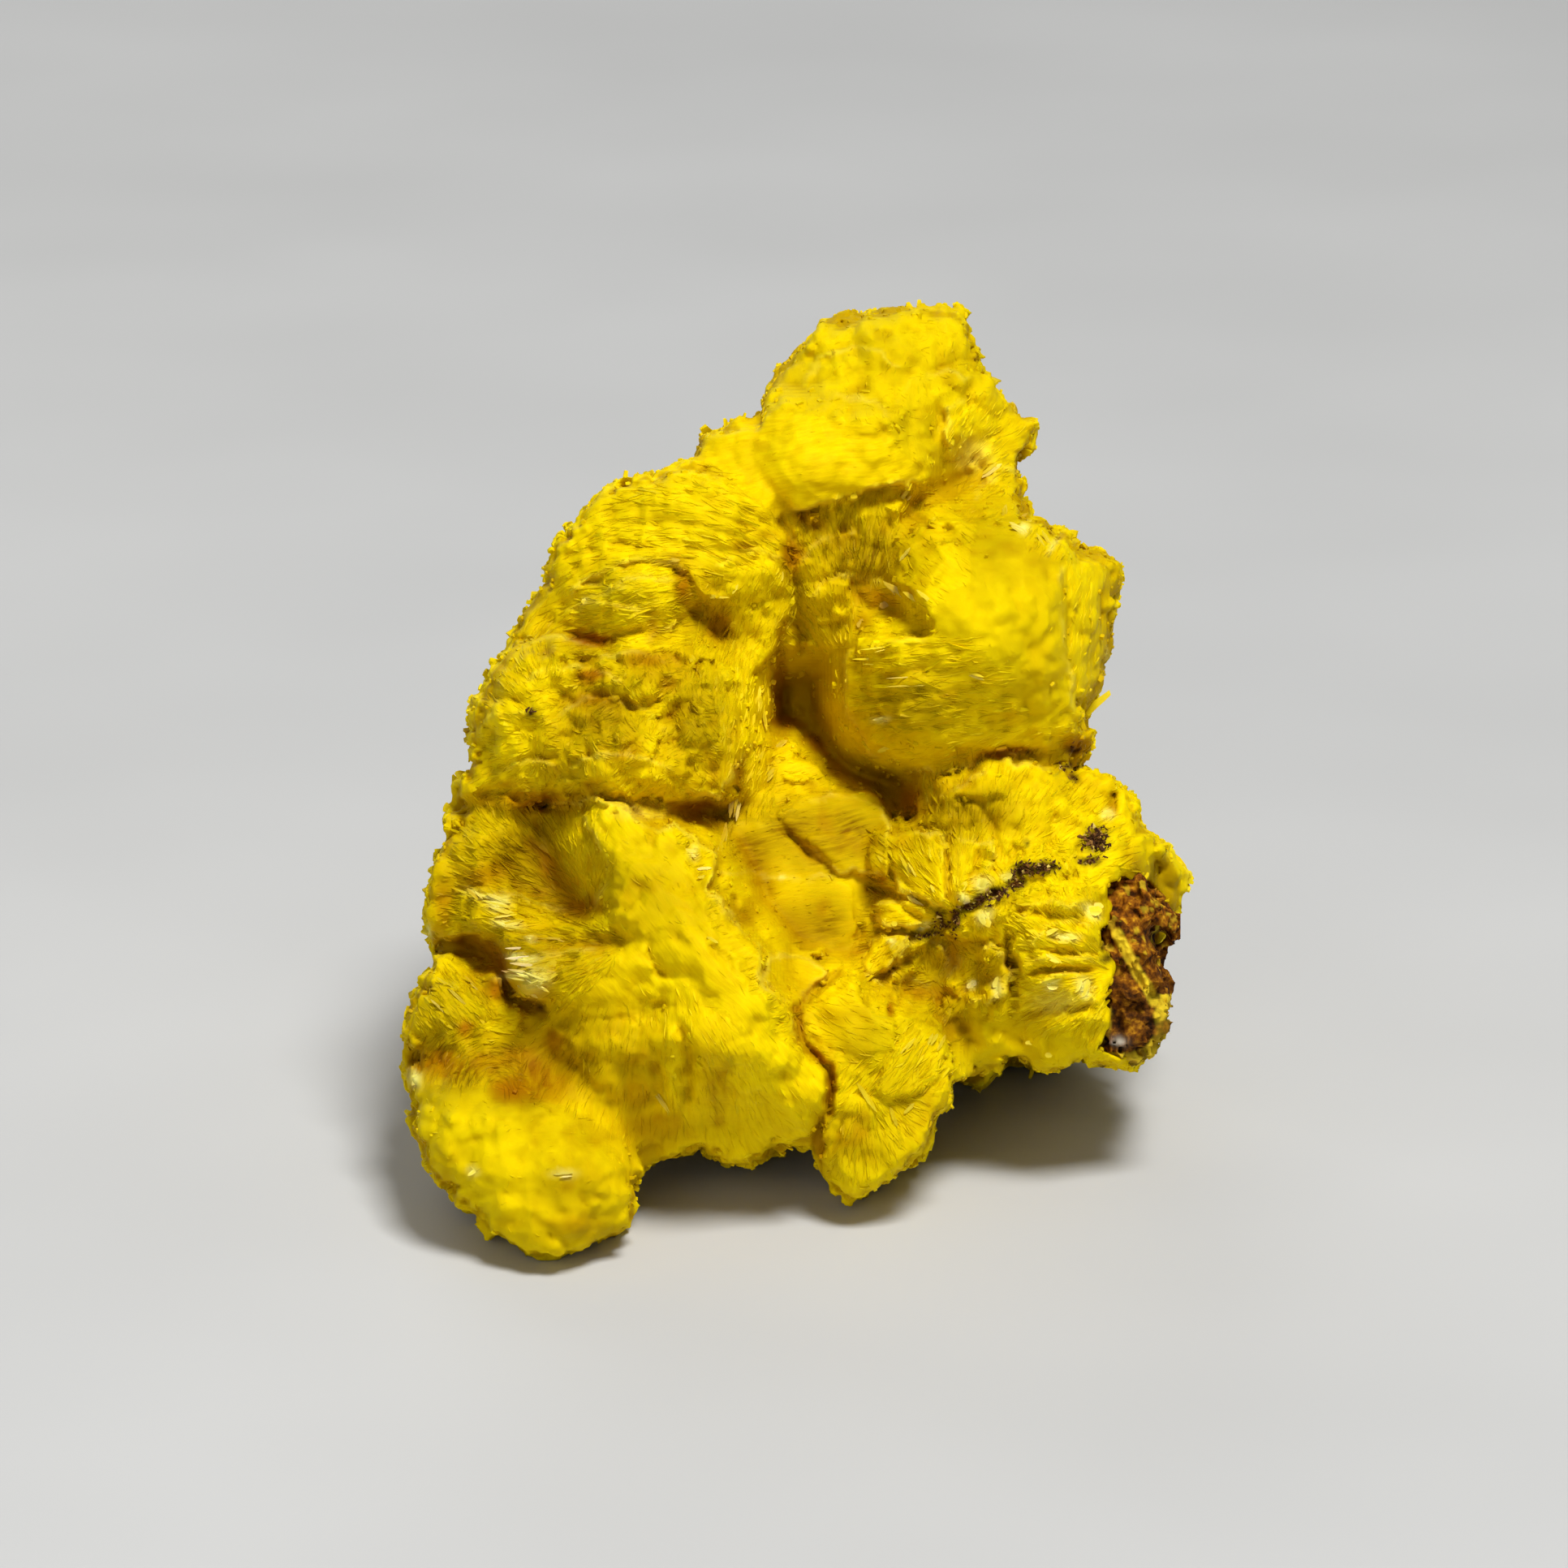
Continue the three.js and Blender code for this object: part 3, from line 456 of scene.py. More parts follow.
# cracks, grooves and rims: line px, half width px, height mm, taper
GROOVE = [
    ([(548, 1165), (585, 1175), (612, 1185), (622, 1205), (632, 1228), (648, 1240), (668, 1247)], 8, -0.45, 0),
    ([(575, 1160), (605, 1168), (622, 1180)], 10, -0.3, 0),
    ([(742, 702), (770, 699), (800, 692), (830, 698), (850, 715), (860, 740), (868, 765)], 5, -0.07, 1),
    ([(745, 672), (780, 670), (815, 675)], 5, -0.13, 1), ([(690, 688), (715, 680), (740, 680)], 5, -0.10, 1),
    ([(750, 784), (778, 776), (800, 775)], 5, -0.16, 1), ([(700, 785), (730, 790), (762, 792)], 6, -0.22, 1),
    ([(768, 818), (800, 810), (842, 820), (870, 850)], 9, -0.2, 1),
    ([(960, 645), (975, 665), (975, 695), (985, 740), (990, 798)], 8, -0.22, 0),
    ([(845, 745), (880, 760), (895, 800)], 9, -0.22, 1), ([(900, 700), (930, 690), (960, 690)], 5, -0.12, 1),
    ([(868, 728), (876, 735), (898, 735), (905, 725)], 2.5, 0.16, 0),
    ([(960, 888), (985, 899), (1012, 920), (1036, 946), (1064, 958), (1105, 972), (1122, 1002)], 11, -0.35, 0),
    ([(586, 972), (620, 980), (655, 990), (700, 985)], 8, -0.12, 1),
    ([(1172, 1122), (1130, 1112), (1095, 1098), (1070, 1096)], 3.5, -0.2, 0), ([(1170, 1130), (1120, 1148), (1085, 1148)], 3.5, -0.2, 0),
    ([(1160, 1150), (1120, 1185), (1075, 1208)], 4, -0.2, 0), ([(1150, 1165), (1120, 1215), (1098, 1250)], 4, -0.2, 0),
    ([(1168, 1125), (1135, 1095), (1098, 1075)], 3, -0.12, 0), ([(1190, 1110), (1205, 1070), (1205, 1030)], 3.5, -0.12, 1),
    ([(1235, 1060), (1225, 1020), (1205, 985)], 5, -0.12, 1), ([(1290, 1050), (1300, 1010), (1290, 970)], 5, -0.12, 1),
    ([(1255, 1125), (1300, 1128), (1345, 1145)], 5, -0.2, 1), ([(1260, 1200), (1310, 1192), (1360, 1195)], 4, -0.2, 1),
    ([(1250, 1165), (1300, 1172), (1350, 1175)], 4, -0.14, 1), ([(1255, 1250), (1300, 1245), (1355, 1240)], 6, -0.2, 1),
    ([(1240, 1130), (1245, 1180), (1252, 1240), (1250, 1280)], 6, -0.25, 1), ([(1190, 1150), (1180, 1190), (1190, 1230)], 5, -0.16, 1),
    ([(1215, 1245), (1200, 1200), (1215, 1160)], 5, -0.12, 1),
    ([(985, 1090), (990, 1115), (996, 1142)], 2.5, -0.08, 1), ([(1048, 1108), (1058, 1140), (1062, 1165)], 4, -0.12, 1),
    ([(895, 1100), (915, 1132), (945, 1163), (957, 1177)], 8, -0.35, 1),
    ([(960, 1020), (985, 1040), (1010, 1062), (1028, 1072)], 7, -0.16, 1),
    ([(1031, 1200), (1010, 1214), (994, 1228), (981, 1243), (982, 1262), (987, 1284), (1003, 1300), (1020, 1316),
      (1025, 1345), (1018, 1370), (1005, 1400)], 5, -0.35, 0),
    ([(1097, 1222), (1095, 1248)], 3, -0.15, 0),
    ([(1192, 947), (1215, 932), (1243, 925), (1270, 928)], 4, -0.22, 1),
    ([(1125, 1157), (1145, 1151), (1162, 1140), (1174, 1126), (1196, 1115), (1216, 1106), (1240, 1094), (1256, 1080)], 5, -0.12, 0),
    ([(1170, 1045), (1168, 1080), (1167, 1110)], 3, -0.16, 1), ([(1135, 1160), (1175, 1158), (1235, 1168)], 5, -0.2, 1),
    ([(1370, 968), (1373, 985), (1372, 1008)], 3, -0.15, 1), ([(1150, 640), (1180, 665), (1195, 690)], 6, -0.14, 1),
    ([(1128, 652), (1150, 670), (1170, 692)], 3, 0.06, 1), ([(1050, 846), (1090, 845), (1130, 842), (1160, 838)], 3, 0.10, 1),
    ([(1045, 800), (1090, 795), (1140, 790)], 4, 0.10, 1), ([(1060, 860), (1100, 862), (1150, 858)], 5, -0.10, 1),
    ([(1050, 828), (1100, 830), (1160, 822)], 5, -0.12, 1),
    ([(1315, 700), (1312, 760), (1318, 830), (1325, 880)], 6, -0.12, 1),
    ([(840, 1250), (848, 1300), (842, 1350), (850, 1390)], 9, -0.22, 1), ([(800, 1290), (812, 1330), (800, 1385)], 8, -0.2, 1),
    ([(765, 1300), (775, 1350), (770, 1395)], 8, -0.16, 1), ([(885, 1310), (898, 1350), (880, 1395)], 8, -0.2, 1),
    ([(930, 1330), (942, 1365), (925, 1410)], 8, -0.16, 1), ([(960, 1310), (975, 1345), (985, 1375)], 6, -0.14, 1),
    ([(797, 1337), (810, 1355), (825, 1371)], 2, 0.12, 1), ([(870, 1160), (890, 1180), (905, 1205)], 8, -0.2, 1),
    ([(868, 1156), (878, 1160), (890, 1166)], 3, 0.08, 1), ([(800, 1200), (840, 1195), (870, 1215)], 12, -0.14, 1),
    ([(1240, 980), (1210, 990), (1170, 985)], 7, -0.14, 1), ([(1180, 640), (1215, 642), (1245, 650)], 4, -0.12, 1),
]
# scalloped edges where one sheet lies over the next; the upper sheet is on the
# right hand along the line: line px, rise mm, its fade px, fall mm, its fade px
LEDGE = [
    ([(700, 988), (740, 986), (760, 990), (780, 1002), (801, 1013), (813, 1027), (832, 1011), (843, 1020), (860, 1028), (864, 1039),
      (883, 1050), (885, 1067), (876, 1095), (892, 1109), (902, 1130), (920, 1151), (934, 1161), (939, 1172), (937, 1200),
      (944, 1217), (969, 1238), (979, 1256), (981, 1270), (985, 1290)], 0.20, 42, 0.22, 24),
    ([(1088, 1086), (1049, 1077), (1030, 1074), (1004, 1049), (979, 1025), (958, 1010)], 0.13, 30, 0.10, 18),
    ([(958, 1010), (969, 995), (990, 983), (1021, 976), (1042, 978), (1067, 981), (1084, 992), (1097, 1007), (1100, 1025),
      (1088, 1035), (1086, 1053), (1095, 1074), (1088, 1086)], 0.09, 26, 0.14, 20),
    ([(888, 1074), (934, 1074), (976, 1072), (1000, 1080), (1028, 1078)], 0.05, 24, 0.06, 34),
    ([(890, 1022), (905, 1016), (930, 1013), (955, 1011)], 0.08, 26, 0.10, 12),
    ([(937, 1200), (943, 1186), (951, 1177), (969, 1174), (990, 1179), (1018, 1188), (1027, 1196), (1018, 1210), (997, 1224),
      (980, 1238), (971, 1240), (951, 1224), (939, 1207)], 0.10, 18, 0.08, 8),
    ([(1160, 1118), (1134, 1108), (1104, 1097), (1095, 1064), (1088, 1040), (1092, 1031), (1115, 1027), (1152, 1020), (1171, 1031),
      (1169, 1064), (1165, 1105)], 0.16, 26, 0.14, 11),
    ([(1156, 1138), (1127, 1145), (1095, 1146), (1082, 1138), (1077, 1122), (1082, 1112), (1101, 1105), (1120, 1108), (1140, 1120)], 0.14, 20, 0.12, 10),
    ([(1120, 1160), (1108, 1175), (1097, 1197), (1078, 1212), (1066, 1200), (1060, 1179), (1071, 1164), (1090, 1154), (1112, 1150)], 0.13, 20, 0.12, 10),
    ([(1178, 1108), (1176, 1070), (1178, 1038), (1190, 1032), (1208, 1031), (1225, 1040), (1230, 1060), (1215, 1080), (1200, 1100)], 0.10, 20, 0.10, 8),
    ([(1150, 1000), (1165, 975), (1190, 960), (1215, 945), (1245, 935), (1280, 940), (1310, 955)], 0.15, 40, 0.16, 16),
    ([(1262, 1160), (1290, 1142), (1320, 1132), (1350, 1140)], 0.12, 18, 0.14, 9), ([(1255, 1188), (1290, 1180), (1330, 1174), (1356, 1182)], 0.10, 14, 0.12, 8),
    ([(1258, 1225), (1285, 1205), (1320, 1196), (1352, 1205)], 0.12, 18, 0.14, 9), ([(1262, 1262), (1290, 1246), (1325, 1240), (1354, 1250)], 0.12, 20, 0.14, 10),
    ([(1250, 1130), (1270, 1115), (1300, 1108), (1340, 1112)], 0.12, 20, 0.12, 9),
    ([(1172, 1200), (1178, 1178), (1195, 1164), (1220, 1162), (1240, 1175), (1248, 1200), (1240, 1225), (1215, 1238), (1188, 1230)], 0.20, 26, 0.16, 12),
    ([(1104, 1200), (1112, 1170), (1130, 1156), (1160, 1160), (1171, 1180), (1165, 1205), (1140, 1216), (1118, 1214)], 0.10, 24, 0.12, 10),
    ([(940, 905), (925, 930), (913, 945), (895, 968), (892, 985), (872, 985), (850, 978), (836, 985)], 0.12, 30, 0.16, 14),
    ([(836, 985), (828, 1000), (812, 1012), (795, 1000), (780, 995), (750, 990), (700, 992), (655, 992)], 0.08, 22, 0.05, 12),
    ([(730, 1118), (745, 1090), (744, 1060), (730, 1030), (716, 1004)], 0.16, 28, 0.12, 20),
    ([(556, 1096), (600, 1095), (640, 1101), (680, 1116), (715, 1128)], 0.18, 16, 0.16, 14),
    ([(626, 1172), (660, 1168), (700, 1172), (740, 1166)], 0.12, 18, 0.10, 12),
    ([(846, 712), (828, 694), (808, 690), (780, 692), (744, 704), (716, 720), (704, 740)], 0.05, 20, 0.05, 12),
    ([(708, 762), (722, 738), (748, 722), (790, 708), (836, 710)], 0.04, 22, 0.03, 12), ([(852, 724), (846, 756), (822, 782), (790, 792)], 0.09, 22, 0.07, 12),
    ([(700, 722), (722, 716), (752, 716), (780, 724)], 0.05, 12, 0.06, 8), ([(690, 752), (720, 744), (760, 746), (800, 752)], 0.05, 12, 0.06, 8),
    ([(740, 806), (780, 797), (820, 806), (845, 824)], 0.08, 16, 0.08, 10), ([(640, 800), (668, 786), (700, 784), (740, 792)], 0.10, 18, 0.08, 10),
    ([(586, 905), (600, 885), (640, 876), (672, 884), (690, 905)], 0.10, 22, 0.10, 12), ([(690, 880), (720, 862), (760, 858), (800, 872), (820, 900)], 0.12, 26, 0.12, 12),
    ([(700, 945), (740, 930), (790, 930), (830, 950)], 0.10, 22, 0.10, 12), ([(820, 880), (850, 862), (890, 868), (915, 890)], 0.10, 22, 0.10, 12),
    ([(600, 955), (640, 935), (680, 940), (705, 965)], 0.10, 22, 0.12, 12), ([(640, 835), (680, 818), (730, 822), (770, 838)], 0.10, 20, 0.10, 10),
    ([(880, 700), (905, 680), (940, 676), (965, 690)], 0.08, 20, 0.08, 12), ([(1134, 590), (1118, 600), (1085, 600), (1060, 604), (1038, 618), (1000, 626), (970, 632), (955, 648)], 0.14, 28, 0.16, 22),
    ([(1110, 940), (1075, 935), (1055, 900), (1042, 870), (1038, 835), (1045, 805), (1065, 790), (1100, 785), (1150, 782)], 0.12, 40, 0.18, 14),
    ([(1300, 925), (1260, 925), (1225, 935), (1190, 948), (1150, 955), (1110, 948)], 0.08, 30, 0.06, 14),
    ([(1312, 690), (1310, 760), (1318, 830), (1328, 880)], 0.10, 20, 0.10, 14),
    ([(1000, 740), (1015, 715), (1045, 705), (1080, 712), (1098, 728)], 0.10, 20, 0.08, 12), ([(985, 690), (1005, 665), (1045, 655), (1080, 668)], 0.08, 20, 0.08, 14),
    ([(1175, 560), (1160, 530), (1170, 500), (1200, 480), (1235, 482)], 0.10, 24, 0.08, 12), ([(990, 470), (1010, 440), (1050, 425), (1090, 432), (1110, 455)], 0.10, 24, 0.08, 12),
    ([(1100, 500), (1120, 470), (1160, 455), (1200, 460)], 0.08, 22, 0.08, 12), ([(1195, 620), (1205, 590), (1235, 575), (1262, 580)], 0.10, 20, 0.10, 10),
    ([(1000, 510), (1030, 490), (1070, 492), (1100, 512)], 0.08, 20, 0.06, 12),
]
# smooth plates that end in a crisp edge: polygon, rise mm, lean right, lean down
PLATE = [
    ([(955, 1000), (975, 985), (1000, 976), (1020, 972), (1045, 977), (1065, 975), (1085, 985), (1098, 1000), (1101, 1020),
      (1092, 1035), (1096, 1060), (1094, 1082), (1070, 1084), (1045, 1074), (1030, 1060), (1002, 1042), (975, 1020)], 0.16, 0.03, 0.0),
    ([(893, 1040), (900, 1018), (930, 1014), (958, 1020), (985, 1042), (1010, 1066), (1030, 1084), (1050, 1096), (1053, 1120),
      (1056, 1145), (1042, 1160), (1012, 1176), (985, 1176), (955, 1175), (940, 1160), (928, 1140), (905, 1105), (893, 1080)], 0.10, 0.0, 0.02),
    ([(943, 910), (955, 897), (980, 899), (986, 912), (984, 928), (970, 935), (950, 932)], 0.12, 0.0, 0.05),
    ([(962, 945), (975, 936), (998, 935), (1012, 946), (1016, 958), (995, 964), (965, 962)], 0.14, 0.0, 0.05),
    ([(1000, 1240), (1030, 1222), (1050, 1205), (1056, 1228), (1075, 1248), (1100, 1258), (1105, 1290), (1060, 1300),
      (1015, 1288), (995, 1270)], 0.10, 0.0, 0.05),
    ([(1078, 1345), (1092, 1312), (1112, 1285), (1135, 1262), (1158, 1262), (1168, 1285), (1160, 1310), (1150, 1335),
      (1120, 1352), (1098, 1356)], 0.20, 0.05, 0.05),
    ([(1045, 1350), (1070, 1352), (1095, 1368), (1110, 1392), (1120, 1425), (1080, 1455), (1050, 1470), (1030, 1440),
      (1035, 1400)], 0.10, 0.0, 0.0),
    ([(1115, 1360), (1150, 1342), (1165, 1345), (1150, 1375), (1143, 1405), (1125, 1425), (1115, 1395)], 0.10, 0.1, 0.0),
    ([(1090, 1033), (1110, 1029), (1130, 1023), (1150, 1030), (1164, 1042), (1164, 1080), (1162, 1112), (1150, 1118),
      (1122, 1090), (1104, 1062)], 0.14, 0.02, 0.03),
    ([(1170, 1048), (1188, 1036), (1200, 1041), (1200, 1070), (1180, 1105), (1170, 1110)], 0.12, 0.0, 0.0),
    ([(1080, 1116), (1096, 1110), (1112, 1120), (1130, 1134), (1132, 1146), (1100, 1149), (1086, 1144)], 0.16, -0.05, 0.0),
    ([(1063, 1187), (1075, 1169), (1090, 1156), (1110, 1151), (1125, 1152), (1118, 1168), (1100, 1190), (1077, 1203)], 0.20, -0.05, 0.0),
    ([(1102, 1096), (1118, 1099), (1135, 1112), (1148, 1122), (1140, 1130), (1118, 1120)], 0.14, 0.0, 0.0),
    ([(1100, 645), (1125, 640), (1150, 660), (1168, 690), (1150, 715), (1120, 718), (1105, 690)], 0.08, 0.0, 0.0),
    ([(1130, 630), (1155, 622), (1180, 632), (1190, 645), (1170, 650), (1145, 645)], 0.12, 0.0, 0.0),
    ([(1000, 728), (1022, 715), (1046, 720), (1050, 745), (1035, 768), (1008, 772), (996, 750)], 0.12, 0.0, 0.0),
    ([(1002, 640), (1030, 625), (1050, 620), (1060, 650), (1050, 690), (1020, 700), (1005, 680)], -0.10, 0.0, 0.0),
    ([(830, 700), (850, 705), (866, 735), (858, 760), (835, 745)], -0.10, 0.0, 0.0),
]

# the grain of the plates: polygon, kind, place of focus or angle, spacing px,
# height mm, length px, how far flakes stand out mm, how many, their length px
GRAIN = [
    dict(n="A", k="grain", lump=0.09, sp=24, amp=0.048, out=0.05, dens=0.35, len=9,
         p=[(936, 500), (955, 440), (1011, 395), (1050, 365), (1096, 362), (1190, 370), (1215, 432), (1250, 485), (1290, 532),
            (1270, 575), (1262, 605), (1280, 645), (1220, 645), (1180, 630), (1150, 600), (1120, 560), (1090, 530), (1050, 515), (985, 512)]),
    dict(n="A2", k="fan", lump=0.09, c=(1130, 625), sp=15, amp=0.05, out=0.06, dens=0.9, len=18,
         p=[(1150, 520), (1200, 480), (1250, 480), (1290, 530), (1270, 570), (1220, 592), (1175, 575)]),
    dict(n="A3", k="line", lump=0.09, th=32, sp=14, amp=0.040, out=0.08, dens=1, len=18,
         p=[(1185, 640), (1180, 600), (1215, 580), (1270, 565), (1270, 605), (1290, 640), (1240, 665)]),
    dict(n="B", k="line", lump=0.05, th=10, sp=46, amp=0.024, out=0.03, dens=0.06, len=9,
         p=[(845, 573), (864, 525), (903, 505), (936, 500), (985, 512), (1050, 515), (1090, 530), (1125, 570), (1140, 600),
            (1100, 606), (1060, 606), (1020, 625), (985, 632), (950, 645), (900, 600)]),
    dict(n="C", k="fan", lump=0.08, c=(1055, 860), sp=16, amp=0.07, out=0.07, dens=1.2, len=20,
         p=[(955, 642), (985, 632), (1020, 624), (1060, 604), (1135, 597), (1140, 640), (1130, 690), (1100, 718), (1060, 735),
            (1045, 800), (960, 800), (950, 740), (960, 700), (985, 690)]),
    dict(n="D", k="arc", lump=0.06, c=(800, 900), sp=17, amp=0.06, out=0.07, dens=0.6, len=34,
         p=[(620, 810), (640, 740), (672, 700), (690, 650), (716, 620), (760, 590), (850, 560), (900, 590), (955, 640), (980, 680),
            (960, 705), (900, 700), (870, 725), (840, 700), (800, 690), (750, 700), (715, 730), (700, 765), (670, 800)]),
    dict(n="D2", k="line", lump=0.06, th=9, sp=13, amp=0.06, out=0.08, dens=1.3, len=26,
         p=[(715, 730), (750, 700), (800, 690), (840, 700), (870, 725), (862, 760), (850, 805), (760, 808), (700, 805), (690, 770)]),
    dict(n="D3", k="line", lump=0.08, th=68, sp=13, amp=0.048, out=0.08, dens=1.3, len=18,
         p=[(870, 725), (900, 700), (960, 700), (985, 740), (962, 810), (880, 830), (850, 800), (862, 760)]),
    dict(n="E", k="facet", lump=0.11, sp=24, amp=0.095, out=0.08, dens=1.2, len=14,
         p=[(570, 990), (570, 880), (600, 830), (632, 780), (700, 805), (850, 805), (890, 830), (900, 900), (890, 985), (830, 990),
            (800, 1000), (700, 1000), (600, 990)]),
    dict(n="E2", k="line", lump=0.07, th=82, sp=12, amp=0.056, out=0.11, dens=1.4, len=24,
         p=[(878, 830), (965, 800), (960, 860), (948, 900), (925, 945), (900, 990), (890, 985), (885, 900)]),
    dict(n="E3", k="fan", lump=0.09, c=(690, 910), sp=14, amp=0.040, out=0.08, dens=0.9, len=20,
         p=[(575, 990), (575, 880), (600, 830), (632, 790), (668, 800), (660, 850), (640, 890), (640, 940), (620, 980)]),
    dict(n="F", k="fan", lump=0.04, c=(727, 1122), sp=11, amp=0.095, out=0.07, dens=1.5, len=30,
         p=[(736, 1135), (690, 1128), (655, 1102), (605, 1096), (575, 1090), (560, 1060), (590, 1010), (640, 995), (690, 1000),
            (735, 1005), (755, 1060), (748, 1115)]),
    dict(n="F2", k="fan", lump=0.05, c=(770, 1162), sp=13, amp=0.115, out=0.09, dens=1.5, len=34,
         p=[(750, 1128), (690, 1128), (655, 1102), (605, 1096), (565, 1100), (556, 1125), (600, 1158), (620, 1165), (622, 1205),
            (640, 1240), (690, 1240), (730, 1215), (765, 1190)]),
    dict(n="F3", k="fan", lump=0.09, c=(660, 1100), sp=13, amp=0.040, out=0.08, dens=1.2, len=16,
         p=[(520, 1180), (520, 1080), (545, 960), (600, 985), (640, 1000), (590, 1010), (565, 1060), (570, 1095), (556, 1125), (575, 1150), (550, 1165)]),
    dict(n="G", k="line", lump=0.07, th=-48, sp=26, amp=0.028, out=0.045, dens=0.12, len=16,
         p=[(700, 1005), (750, 985), (800, 1010), (850, 1015), (890, 1060), (905, 1140), (945, 1190), (985, 1250), (1020, 1320),
            (1010, 1370), (960, 1330), (900, 1260), (850, 1220), (760, 1240), (690, 1240), (730, 1215), (765, 1190), (750, 1115), (755, 1060), (735, 1005)]),
    dict(n="G2", k="line", lump=0.06, th=20, sp=13, amp=0.032, out=0.09, dens=1.2, len=14,
         p=[(836, 1005), (860, 1020), (892, 1060), (905, 1130), (945, 1180), (950, 1215), (985, 1245), (985, 1290), (960, 1280),
            (920, 1200), (880, 1140), (860, 1080), (835, 1040)]),
    dict(n="J", k="fan", lump=0.06, c=(800, 1100), sp=21, amp=0.068, out=0.05, dens=0.35, len=22,
         p=[(640, 1260), (700, 1235), (760, 1240), (850, 1220), (900, 1260), (960, 1330), (1012, 1370), (1004, 1440), (780, 1450),
            (760, 1400), (700, 1370), (640, 1340)]),
    dict(n="H", k="grain", lump=0.07, sp=44, amp=0.068, out=0.04, dens=0.15, len=9,
         p=[(490, 1345), (560, 1335), (640, 1345), (700, 1370), (760, 1400), (800, 1440), (800, 1560), (600, 1560), (500, 1440)]),
    dict(n="I", k="line", lump=0.07, th=-47, sp=14, amp=0.085, out=0.08, dens=1.4, len=20,
         p=[(490, 1275), (490, 1220), (545, 1180), (565, 1188), (592, 1202), (604, 1230), (600, 1260), (560, 1268)]),
    dict(n="I2", k="arc", lump=0.08, c=(610, 1345), sp=13, amp=0.048, out=0.07, dens=1.2, len=22,
         p=[(490, 1275), (560, 1268), (600, 1260), (640, 1250), (640, 1345), (560, 1335), (490, 1350)]),
    dict(n="L", k="line", lump=0.012, th=12, sp=60, amp=0.03, out=0.03, dens=0.25, len=10,
         p=[(890, 1180), (880, 1060), (893, 1010), (960, 1010), (1000, 970), (1100, 975), (1105, 1090), (1080, 1110), (1080, 1150),
            (1050, 1200), (940, 1180)]),
    dict(n="L2", k="line", lump=0.05, th=68, sp=12, amp=0.048, out=0.09, dens=1.4, len=24,
         p=[(880, 1060), (888, 985), (925, 925), (945, 905), (962, 940), (950, 1000), (905, 1015), (900, 1060)]),
    dict(n="L3", k="line", lump=0.04, th=15, sp=12, amp=0.024, out=0.06, dens=0.8, len=16,
         p=[(945, 905), (965, 890), (990, 900), (1020, 950), (1020, 972), (955, 1000), (950, 960)]),
    dict(n="M", k="grain", lump=0.05, sp=22, amp=0.024, out=0.03, dens=0.3, len=9,
         p=[(955, 800), (1045, 800), (1040, 870), (1065, 930), (1130, 955), (1120, 1000), (1060, 965), (1000, 930), (960, 895), (950, 860)]),
    dict(n="N", k="grain", lump=0.06, sp=60, amp=0.024, out=0.025, dens=0.05, len=9,
         p=[(1100, 720), (1130, 640), (1180, 640), (1290, 640), (1320, 700), (1315, 780), (1320, 860), (1300, 900), (1240, 860), (1200, 790), (1150, 770)]),
    dict(n="N2", k="line", lump=0.05, th=3, sp=15, amp=0.055, out=0.06, dens=0.8, len=34,
         p=[(1035, 800), (1060, 785), (1150, 778), (1200, 790), (1240, 830), (1250, 880), (1200, 900), (1100, 900), (1040, 880)]),
    dict(n="N3", k="line", lump=0.05, th=16, sp=14, amp=0.028, out=0.05, dens=0.5, len=22,
         p=[(1045, 880), (1100, 900), (1200, 900), (1260, 880), (1300, 900), (1270, 935), (1200, 940), (1120, 958), (1060, 940)]),
    dict(n="N4", k="line", lump=0.05, th=-38, sp=15, amp=0.028, out=0.04, dens=0.35, len=18,
         p=[(1100, 640), (1150, 620), (1200, 645), (1200, 720), (1150, 745), (1095, 720)]),
    dict(n="N5", k="line", lump=0.05, th=80, sp=16, amp=0.024, out=0.05, dens=0.6, len=18,
         p=[(1310, 690), (1345, 665), (1390, 680), (1390, 760), (1370, 860), (1345, 870), (1325, 880), (1315, 800)]),
    dict(n="N6", k="line", lump=0.05, th=62, sp=12, amp=0.040, out=0.09, dens=1.2, len=14,
         p=[(1250, 660), (1280, 630), (1320, 645), (1395, 680), (1390, 700), (1340, 695), (1300, 690), (1270, 680)]),
    dict(n="O", k="fan", lump=0.08, c=(1185, 1125), sp=14, amp=0.032, out=0.06, dens=0.8, len=22,
         p=[(1130, 960), (1200, 935), (1265, 925), (1345, 945), (1400, 960), (1420, 1060), (1360, 1090), (1280, 1120), (1185, 1125), (1165, 1040)]),
    dict(n="O2", k="fan", lump=0.03, c=(1178, 1128), sp=11, amp=0.045, out=0.06, dens=1.1, len=26,
         p=[(1080, 1030), (1130, 1015), (1170, 1040), (1200, 1035), (1190, 1120), (1178, 1130), (1120, 1215), (1050, 1215), (1050, 1180), (1070, 1110)]),
    dict(n="O3", k="fan", lump=0.08, c=(1385, 1200), sp=15, amp=0.1, out=0.10, dens=1.4, len=30,
         p=[(1250, 1120), (1320, 1100), (1360, 1100), (1370, 1200), (1365, 1290), (1300, 1290), (1255, 1250), (1245, 1180)]),
    dict(n="O4", k="facet", lump=0.1, sp=26, amp=0.080, out=0.07, dens=1.1, len=16,
         p=[(1100, 1165), (1178, 1130), (1250, 1130), (1250, 1250), (1160, 1260), (1090, 1245), (1070, 1220)]),
    dict(n="O5", k="facet", lump=0.12, sp=20, amp=0.072, out=0.09, dens=1.4, len=13,
         p=[(1180, 1130), (1180, 1090), (1230, 1040), (1310, 1040), (1345, 1060), (1340, 1110), (1260, 1130)]),
    dict(n="K", k="line", lump=0.03, th=-22, sp=14, amp=0.028, out=0.05, dens=0.4, len=26,
         p=[(985, 1250), (1030, 1200), (1056, 1205), (1075, 1245), (1110, 1255), (1105, 1300), (1050, 1310), (1000, 1290)]),
